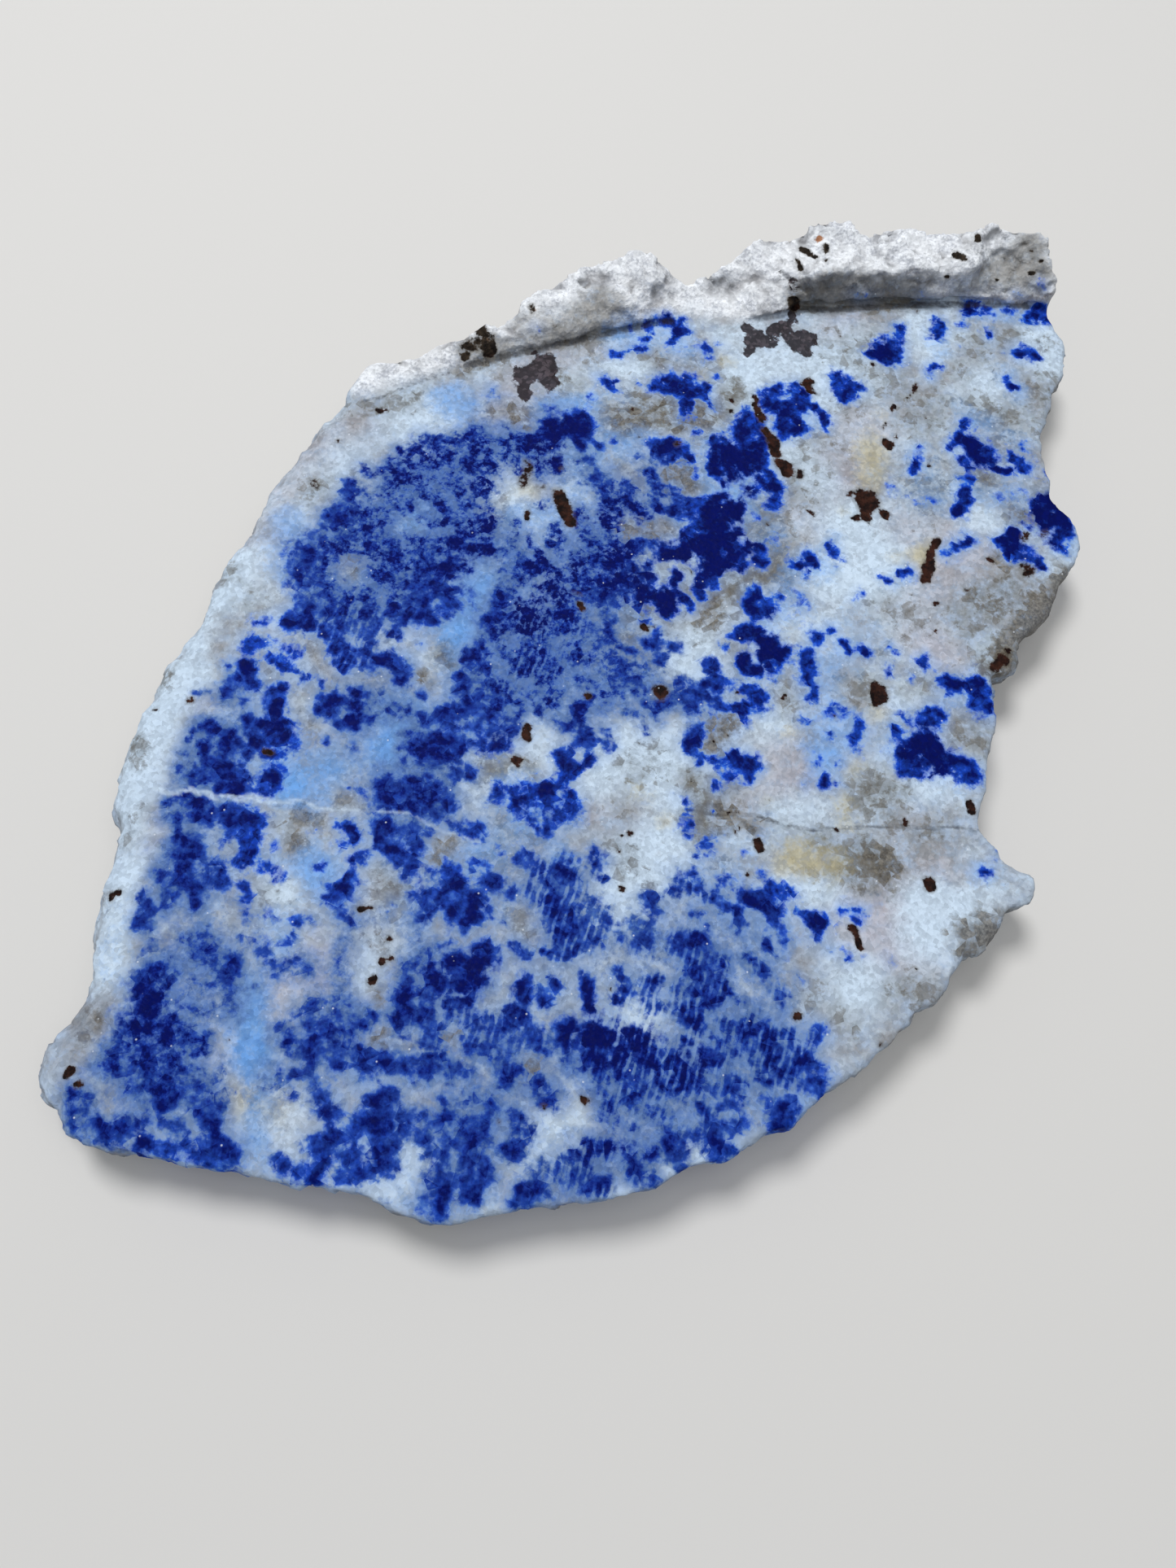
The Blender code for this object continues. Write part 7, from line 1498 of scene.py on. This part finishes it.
def rgb(red, green, blue):
    """A colour given as it looks on a screen, from 0 to 255, as the shader's linear values."""
    def linear(value):
        value /= 255
        return value / 12.92 if value <= 0.04045 else ((value + 0.055) / 1.055) ** 2.4
    return (linear(red), linear(green), linear(blue), 1.0)


# Colours of the stone
COOL_WHITE = rgb(169, 186, 208)
CLEAR_WHITE = rgb(205, 224, 242)
WARM_GREY = rgb(152, 155, 160)
DULL_GREY = rgb(122, 128, 130)
OLIVE = rgb(94, 84, 66)
DUST_AND_SHADE_DARK = rgb(78, 72, 64)
DUST_AND_SHADE_PALE = rgb(126, 122, 114)
PALE_YELLOW = rgb(192, 184, 150)
PINK_WHITE = rgb(186, 180, 190)
VIVID_SKY = rgb(104, 164, 234)
PALE_DENIM = rgb(98, 130, 184)
PALE_SKY = rgb(146, 174, 214)
SKY_GLOW = rgb(134, 172, 230)
CLEAR_BLUE = rgb(62, 118, 220)
BRIGHT_ROYAL = rgb(8, 60, 190)
DENIM = rgb(64, 100, 170)
ROYAL = rgb(8, 56, 158)
NAVY = rgb(0, 30, 126)
DEEP = rgb(0, 12, 90)
SPECK_BROWN = rgb(62, 36, 28)
SPECK_BLACK = rgb(24, 16, 16)
CRUST_AND_SHADE_PURPLE = rgb(42, 34, 38)
CRUST_AND_SHADE_PALE = rgb(80, 70, 76)
RUST_ORANGE = rgb(168, 104, 48)
# Grey of the cracks, and of the painted shadow along the ledge's foot
CRACK_AND_FOOT_SHADOW_GREY = rgb(42, 38, 38)
LEDGE_WHITE = rgb(248, 251, 255)
LEDGE_SHADE = rgb(204, 207, 214)
FRONT_BROWN = rgb(148, 136, 130)
FRONT_GREY = rgb(204, 206, 212)
FRONT_PALE = rgb(246, 250, 255)
# Painted shade in the hollows of the ledge and the sides
HOLLOW_SHADE_GREY = rgb(132, 130, 132)
DIRT_AND_SHADE_BROWN = rgb(64, 54, 44)
DIRT_BLACK = rgb(26, 22, 20)
SIDE_SHADE_GREY = rgb(128, 124, 118)
PAINTED_GLINT_WHITE = rgb(240, 246, 255)

# The deepening of the blue, where it is broken up on a denim ground and where it lies in clear calcite
DULL_BLUES = [(0.0, PALE_DENIM), (0.28, DENIM), (0.56, ROYAL), (0.8, NAVY), (1.0, DEEP)]
CLEAN_BLUES = [(0.0, PALE_SKY), (0.2, CLEAR_BLUE), (0.45, BRIGHT_ROYAL), (0.75, NAVY), (1.0, DEEP)]

# The front of the ledge, from its brown dirt and painted shade to its clean crystals
FRONT_DIRT_AND_SHADE = [(0.0, DIRT_AND_SHADE_BROWN), (0.3, FRONT_BROWN), (0.6, FRONT_GREY), (1.0, FRONT_PALE)]

# Sizes of the shader's noises and crystals, in millimetres
FINE = 0.4
GRAIN = 1.3
SOFT = 1.35
DEPTHS = 2.3
PATCHES = 3.2
BROAD = 11.0
CRYSTAL = 0.5

# The comb's lines; the wave texture repeats every pi / 10 divided by its scale
COMB_SPACING = 0.95
COMB_SCALE = math.pi / 10 / COMB_SPACING
COMB_TURN = math.radians(14)
COMB_BEND = 3.5
COMB_BREAKS = 2.2

# How much of the blue the comb, the broken ledge, the stains and the dust with its painted shade take away
COMB_TAKES = 0.5
LEDGE_TAKES = 0.25
STAINS_TAKE = 0.2
DUST_AND_SHADE_TAKE = 0.9

# The share of the crystals that get a painted white glint, the surface's dull shine, and its grain: how
# strong and how high in millimetres, and how many times as high on the broken faces
PAINTED_GLINT_SHARE = 0.008
SHINE = 0.05
RELIEF_STRENGTH = 0.7
RELIEF_HEIGHT = 0.15
BROKEN_RELIEF = 2.6


class StoneShading(Shading):
    """The stone's shader: the marks kept on its mesh, and the noises and crystals that break them up."""

    def __init__(self, name):
        super().__init__(name)
        coordinates = self.node("ShaderNodeTexCoord")
        in_mm = self.node("ShaderNodeVectorMath", operation="SCALE")
        self.put(in_mm.inputs[0], coordinates.outputs["Object"])
        self.put(in_mm.inputs["Scale"], 1 / MM)
        self.place = in_mm.outputs[0]
        self.blue, self.halo, self.haze = self.kept("pigment")
        self.grey, self.yellow, self.pink = self.kept("wash")
        self.speck, self.crust, self.rust = self.kept("spot")
        self.vein, self.crack, self.white = self.kept("line")
        self.combed, self.raised, self.mottled = self.kept("form")
        self.darkest, self.hollow, self.brown_dust_and_shade = self.kept("depth")
        self.fine = self.noise(self.place, FINE, 2.0, 0.6)
        self.grain = self.noise(self.place, GRAIN, 5.0, 0.68)
        self.patches = self.noise(self.place, PATCHES, 4.0, 0.6)
        self.broad = self.noise(self.place, BROAD, 3.0, 0.55)
        self.crystal, self.own = self.cells(self.place, CRYSTAL)
        self.grain_own = self.cells(self.place, GRAIN)[1]
        self.ragged = self.add(self.swing(self.grain, 1.7), self.swing(self.fine, 0.6))
        dusty = self.add(self.ragged, self.swing(self.grain_own["Green"], 0.6))
        self.dust_and_shade_share = self.raggedly(self.brown_dust_and_shade, dusty, 1.0, 0.85, 0.25, 0.85)
        self.faces = self.node("ShaderNodeSeparateXYZ")
        self.put(self.faces.inputs[0], self.node("ShaderNodeNewGeometry").outputs["Normal"])
        self.is_side = self.scaled(self.faces.outputs["Z"], 0.25, 0.7, 1.0, 0.0)


def calcite_colour(s):
    """The face's white with clear, pink, grey, olive, yellow and dusty clouds, and painted light and shade.
    """
    shade = s.scaled(s.add(s.patches, s.swing(s.grain, 0.7)), 0.34, 0.62)
    colour = s.mix(shade, COOL_WHITE, WARM_GREY)
    clear = s.scaled(s.add(s.broad, s.swing(s.grain, 0.9)), 0.42, 0.7, 0.0, 0.75)
    colour = s.mix(clear, colour, CLEAR_WHITE)
    colour = s.mix(s.raggedly(s.pink, s.ragged, 0.6, 0.7), colour, PINK_WHITE)
    # The white strokes include painted light on the left rim and the ledge's front
    colour = s.mix(s.raggedly(s.white, s.ragged, 0.6, 0.9), colour, CLEAR_WHITE)
    colour = s.mix(s.raggedly(s.grey, s.ragged, 1.3, 0.65), colour, DULL_GREY)
    colour = s.mix(s.raggedly(s.grey, s.ragged, 1.0, 0.8, 0.6, 1.15), colour, OLIVE)
    granular = s.add(s.grey, s.swing(s.grain_own["Green"], 1.0))
    colour = s.mix(s.raggedly(granular, s.ragged, 0.8, 0.45, 0.55, 0.75), colour, OLIVE)
    colour = s.mix(s.raggedly(s.yellow, s.ragged, 0.6, 0.75), colour, PALE_YELLOW)
    # Dusty brown, which on the flared right rim and at the foot of the left ledge is painted shade
    dust_and_shade = s.mix(s.scaled(s.fine, 0.35, 0.65), DUST_AND_SHADE_DARK, DUST_AND_SHADE_PALE)
    return s.mix(s.dust_and_shade_share, colour, dust_and_shade)


def with_ledge(s, colour):
    """White crystals on top of the ledge, dirt and painted shade on its front, painted shade in its hollows.
    """
    sugary = s.add(s.times(s.patches, 0.6), s.times(s.grain, 0.4))
    sugary = s.scaled(s.add(sugary, s.swing(s.fine, 0.4)), 0.34, 0.5)
    crystals = s.mix(sugary, LEDGE_SHADE, LEDGE_WHITE)
    # Faces that look forward and down, away from the lamps, take the front's dirt and painted shade
    upright = s.add(s.faces.outputs["Z"], s.times(s.faces.outputs["Y"], 0.5))
    in_front = s.times(s.scaled(upright, -0.1, 0.5, 1.0, 0.0), s.less(1.0, s.white))
    dirt_and_shade = s.scaled(s.add(s.patches, s.swing(s.grain, 0.9)), 0.28, 0.58)
    crystals = s.mix(s.times(in_front, 0.8), crystals, s.ramp(dirt_and_shade, FRONT_DIRT_AND_SHADE))
    # Painted shade in the hollows of the crumbled ledge
    shaded = s.times(s.hollow, s.scaled(s.patches, 0.3, 0.6, 0.3, 0.9))
    crystals = s.mix(shaded, crystals, HOLLOW_SHADE_GREY)
    return s.mix(s.times(s.raised, s.scaled(s.grey, 0.2, 0.9, 0.9, 0.3)), colour, crystals)


def with_sides(s, colour):
    """Sides greyed with painted shade, and painted shade in their hollows."""
    # The steeper a face, the more painted shade it takes
    dull = s.scaled(s.add(s.patches, s.swing(s.grain, 0.8)), 0.35, 0.65, 0.1, 0.75)
    colour = s.mix(s.times(s.is_side, dull), colour, SIDE_SHADE_GREY)
    # Painted shade in the hollows of the sides
    in_hollow = s.times(s.hollow, s.less(0.7, s.times(s.raised, 0.7)))
    return s.mix(in_hollow, colour, HOLLOW_SHADE_GREY)


def with_haze(s, colour):
    """Soft sky-blue hazes over the calcite."""
    return s.mix(s.raggedly(s.haze, s.ragged, 0.5, 0.9, 0.15, 0.85), colour, VIVID_SKY)


def comb_lines(s):
    """Fine leaning lines about a millimetre apart, broken here and there."""
    turned = s.node("ShaderNodeMapping")
    turned.inputs["Rotation"].default_value = (0.0, 0.0, COMB_TURN)
    s.put(turned.inputs["Vector"], s.place)
    wave = s.node("ShaderNodeTexWave")
    s.put(wave.inputs["Vector"], turned.outputs[0])
    wave.inputs["Scale"].default_value = COMB_SCALE
    wave.inputs["Distortion"].default_value = COMB_BEND
    wave.inputs["Detail"].default_value = 1.0
    lines = s.scaled(wave.outputs["Fac"], 0.05, 0.5, 1.0, 0.0)
    lines = s.times(lines, s.scaled(s.noise(s.place, COMB_BREAKS, 1.0), 0.35, 0.55))
    return s.times(lines, s.combed)


def blue_amount(s, broken, washed):
    """How much blue there is, from the strokes and what breaks them up and takes from them."""
    busy = s.times(s.scaled(s.halo, 0.0, 0.5, 0.25, 1.0), s.scaled(broken, 0.0, 1.0, 1.0, 1.4))
    amount = s.add(s.blue, s.times(s.halo, 0.25))
    amount = s.less(amount, s.scaled(broken, 0.0, 1.0, 0.12, 0.3))
    soft = s.swing(s.noise(s.place, SOFT, 3.0, 0.6), 1.8)
    soft = s.add(soft, s.times(s.swing(s.fine, 1.0), s.scaled(broken, 0.0, 1.0, 0.35, 1.3)))
    wide = s.times(s.swing(s.patches, 1.2), s.scaled(broken, 0.0, 1.0, 1.0, 0.5))
    angular = s.add(s.swing(s.grain_own["Red"], 0.4), s.swing(s.own["Blue"], 0.1))
    uneven = s.add(s.add(soft, wide), angular)
    amount = s.add(amount, s.times(uneven, busy))
    amount = s.less(amount, s.times(comb_lines(s), COMB_TAKES))
    amount = s.less(amount, s.times(s.raised, LEDGE_TAKES))
    amount = s.less(amount, s.times(washed, STAINS_TAKE))
    return s.less(amount, s.times(s.dust_and_shade_share, DUST_AND_SHADE_TAKE))


def with_blue(s, colour):
    """The glow round the blue, its denim ground where it is mottled, and the blue itself."""
    tinted = s.scaled(s.mottled, 0.0, 0.6)
    washed = s.math("MINIMUM", s.add(s.grey, s.add(s.yellow, s.white)), 1.0)
    unwashed = s.less(1.0, s.math("MAXIMUM", s.times(washed, 0.7), s.dust_and_shade_share))
    glow = s.times(s.raggedly(s.halo, s.ragged, 0.35, 0.65), unwashed)
    colour = s.mix(glow, colour, s.mix(tinted, SKY_GLOW, PALE_SKY))
    between = s.times(tinted, s.raggedly(s.add(s.halo, 0.25), s.ragged, 0.7, 0.9))
    ground = s.mix(s.scaled(s.add(s.mottled, s.ragged), 0.4, 1.2), PALE_DENIM, DENIM)
    colour = s.mix(s.times(between, unwashed), colour, ground)
    broken = s.scaled(s.mottled, 0.5, 1.0)
    amount = blue_amount(s, broken, washed)
    deeper = s.add(amount, s.swing(s.noise(s.place, DEPTHS, 3.0, 0.62), 1.2))
    deeper = s.add(deeper, s.scaled(s.darkest, 0.0, 0.8, 0.0, 0.3))
    dull = s.ramp(s.scaled(deeper, 0.05, 1.3), DULL_BLUES)
    clean = s.ramp(s.scaled(deeper, 0.1, 1.15), CLEAN_BLUES)
    milky = s.scaled(s.add(s.fine, s.swing(s.own["Blue"], 0.2)), 0.2, 0.8, 0.0, 0.3)
    milky = s.times(milky, s.scaled(deeper, 0.6, 1.2, 1.0, 0.0))
    stained = s.mix(milky, s.mix(tinted, clean, dull), s.mix(tinted, CLEAR_BLUE, PALE_DENIM))
    covered = s.scaled(amount, 0.0, s.scaled(broken, 0.0, 1.0, 0.6, 0.8))
    return s.mix(covered, colour, stained)


def with_lines_and_crusts(s, colour):
    """The vein, cracks, crusts and rust, with painted shade along the ledge's foot and on one step."""
    colour = s.mix(s.raggedly(s.vein, s.ragged, 0.35, 0.6, 0.2, 0.8), colour, CLEAR_WHITE)
    # The cracks, and the painted shadow along the foot of the ledge
    crack_and_foot_shadow_share = s.scaled(s.add(s.crack, s.swing(s.grain, 0.9)), 0.0, 0.3, 0.7, 0.0)
    colour = s.mix(crack_and_foot_shadow_share, colour, CRACK_AND_FOOT_SHADOW_GREY)
    # The crusts, with painted shade on the steep step near x 26
    crust_edge = s.add(s.ragged, s.swing(s.grain_own["Green"], 0.5))
    crust_share = s.raggedly(s.crust, crust_edge, 0.8, 0.95, 0.25, 0.45)
    crust_grain = s.add(s.swing(s.fine, 0.6), s.add(s.own["Red"], s.swing(s.grain, 1.0)))
    crust_colour = s.mix(s.scaled(crust_grain, 0.55, 1.15), CRUST_AND_SHADE_PURPLE, CRUST_AND_SHADE_PALE)
    colour = s.mix(crust_share, colour, crust_colour)
    return s.mix(s.raggedly(s.rust, s.ragged, 0.8, 0.9, 0.35, 0.65), colour, RUST_ORANGE)


def with_specks(s, colour):
    """Dark specks with an olive edge, reddish on the face and earthy on the ledge."""
    chips = s.times(s.scaled(s.speck, 0.0, 0.6, 0.0, 0.8), s.scaled(s.speck, 0.7, 1.0, 1.0, 0.4))
    chipped = s.add(s.speck, s.times(s.ragged, chips))
    colour = s.mix(s.scaled(chipped, 0.2, 0.6, 0.0, 0.5), colour, OLIVE)
    dark = s.scaled(s.grain, 0.4, 0.6)
    on_face = s.mix(dark, SPECK_BROWN, SPECK_BLACK)
    on_ledge = s.mix(dark, DIRT_AND_SHADE_BROWN, DIRT_BLACK)
    return s.mix(s.scaled(chipped, 0.5, 0.66), colour, s.mix(s.raised, on_face, on_ledge))


def with_crystals(s, colour):
    """Single crystals that differ a little in brightness, a few of which get a painted white glint."""
    lit = s.add(s.own["Red"], s.swing(s.grain_own["Blue"], 0.5))
    bright = s.scaled(s.add(lit, s.swing(s.fine, 1.0)), 0.0, 1.0, 0.8, 1.1)
    sugar = s.node("ShaderNodeVectorMath", operation="SCALE")
    s.put(sugar.inputs[0], colour)
    s.put(sugar.inputs["Scale"], bright)
    is_painted_glint = s.math("GREATER_THAN", s.own["Green"], 1.0 - PAINTED_GLINT_SHARE)
    painted_glint = s.times(is_painted_glint, s.scaled(s.crystal, 0.1, 0.3, 0.6, 0.0))
    return s.mix(painted_glint, sugar.outputs[0], PAINTED_GLINT_WHITE)


def set_surface(s):
    """A dull shine, and a grain that is coarser on the broken faces."""
    s.put(s.shader.inputs["Roughness"], s.scaled(s.fine, 0.3, 0.7, 0.5, 0.75))
    s.shader.inputs["Specular IOR Level"].default_value = SHINE
    relief = s.add(s.times(s.grain, 0.8), s.times(s.crystal, 0.4))
    broken_face = s.math("MAXIMUM", s.raised, s.is_side)
    bump = s.node("ShaderNodeBump")
    bump.inputs["Strength"].default_value = RELIEF_STRENGTH
    bump.inputs["Distance"].default_value = RELIEF_HEIGHT * MM
    height = s.times(relief, s.scaled(broken_face, 0.0, 1.0, 1.0, BROKEN_RELIEF))
    s.put(bump.inputs["Height"], height)
    s.put(s.shader.inputs["Normal"], bump.outputs[0])


def stone_material():
    """The stone's finish, laid on from the calcite up to the crystals' painted glints."""
    s = StoneShading("lapis_stone_finish")
    colour = calcite_colour(s)
    layers = [
        with_ledge, with_sides, with_haze, with_blue, with_lines_and_crusts, with_specks, with_crystals,
    ]
    for layer in layers:
        colour = layer(s, colour)
    s.put(s.shader.inputs["Base Color"], colour)
    set_surface(s)
    return s.material


def make_slab():
    """The dressed stone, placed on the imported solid."""
    middle = plan_middle()
    mesh = fine_stone()
    hollows = crumble(mesh)
    seat_specks(mesh)
    specks = mark(mesh, hollows)
    sink_specks(mesh, specks)
    low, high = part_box(NODE)
    to_frame = Matrix.Translation(((low.x + high.x) / 2, (low.y + high.y) / 2, low.z))
    mesh.transform(to_frame @ Matrix.Scale(MM, 4) @ Matrix.Translation((-middle[0], -middle[1], 0.0)))
    mesh.name = "lapis_slab_visual"
    mesh.materials.clear()
    mesh.materials.append(stone_material())
    mesh.shade_smooth()
    slab = bpy.data.objects.new("lapis_slab_visual", mesh)
    bpy.context.scene.collection.objects.link(slab)
    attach(slab, "root")
    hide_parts(NODE)
    return middle


# The camera, found from the board's seams: its height over the table and the plan point below it are
# known, and it looks down and away with a slight roll
CAMERA_TILT = math.radians(69.6)
CAMERA_ROLL = math.radians(3.03)
FOCAL_PIXELS = 1336.0
IMAGE_HEIGHT = 1927
SENSOR = 36.0
NEAREST = 0.001


def make_camera(middle):
    """The photograph's view: over plan point (0, 0), turned down by its tilt and rolled."""
    ahead = Vector((0.0, math.cos(CAMERA_TILT), -math.sin(CAMERA_TILT)))
    right = Vector((1.0, 0.0, 0.0))
    up = right.cross(ahead)
    rolled_right = math.cos(CAMERA_ROLL) * right + math.sin(CAMERA_ROLL) * up
    rolled_up = math.cos(CAMERA_ROLL) * up - math.sin(CAMERA_ROLL) * right
    data = bpy.data.cameras.new("view")
    data.sensor_width = SENSOR
    data.lens = FOCAL_PIXELS * SENSOR / IMAGE_HEIGHT
    data.clip_start = NEAREST
    camera = bpy.data.objects.new("view", data)
    place = Vector((-middle[0], -middle[1], CAMERA_HEIGHT)) * MM
    camera.matrix_world = Matrix((
        (rolled_right.x, rolled_up.x, -ahead.x, place.x),
        (rolled_right.y, rolled_up.y, -ahead.y, place.y),
        (rolled_right.z, rolled_up.z, -ahead.z, place.z),
        (0.0, 0.0, 0.0, 1.0),
    ))
    bpy.context.scene.collection.objects.link(camera)
    bpy.context.scene.camera = camera


# Lights, as (name, place in metres, size in metres, power in watts)
LIGHTS = [
    ("window", (-0.18, 0.31, 0.80), 0.30, 4.5),
    ("ceiling", (0.15, -0.05, 0.80), 0.70, 1.3),
]
SKY_LIGHT = 0.3
SKY_COLOUR = (0.93, 0.96, 1.0, 1.0)
FLOOR_SIZE = 4.0
FLOOR_COLOUR = (0.72, 0.71, 0.69, 1.0)
FLOOR_ROUGHNESS = 0.9


def make_floor():
    """A pale floor under the stone."""
    mesh = bpy.data.meshes.new("floor")
    half = FLOOR_SIZE / 2
    corners = [(-half, -half, 0), (half, -half, 0), (half, half, 0), (-half, half, 0)]
    mesh.from_pydata(corners, [], [(0, 1, 2, 3)])
    finish = bpy.data.materials.new("floor_finish")
    finish.use_nodes = True
    shader = finish.node_tree.nodes["Principled BSDF"]
    shader.inputs["Base Color"].default_value = FLOOR_COLOUR
    shader.inputs["Roughness"].default_value = FLOOR_ROUGHNESS
    mesh.materials.append(finish)
    floor = bpy.data.objects.new("floor", mesh)
    bpy.context.scene.collection.objects.link(floor)


def make_lights():
    """A soft light from beyond the ledge and a broad one overhead, both turned to the stone."""
    for name, place, size, power in LIGHTS:
        data = bpy.data.lights.new(name, "AREA")
        data.shape = "DISK"
        data.size = size
        data.energy = power
        light = bpy.data.objects.new(name, data)
        light.location = place
        light.rotation_euler = (-Vector(place)).to_track_quat("-Z", "Y").to_euler()
        bpy.context.scene.collection.objects.link(light)


def make_sky():
    """Even light all round, and colours shown as they are."""
    world = bpy.data.worlds.new("even_light")
    world.use_nodes = True
    background = world.node_tree.nodes["Background"]
    background.inputs["Color"].default_value = SKY_COLOUR
    background.inputs["Strength"].default_value = SKY_LIGHT
    bpy.context.scene.world = world
    bpy.context.scene.view_settings.view_transform = "Standard"


noise.seed_set(NOISE_SEED)
plan_centre = make_slab()
make_camera(plan_centre)
make_floor()
make_lights()
make_sky()
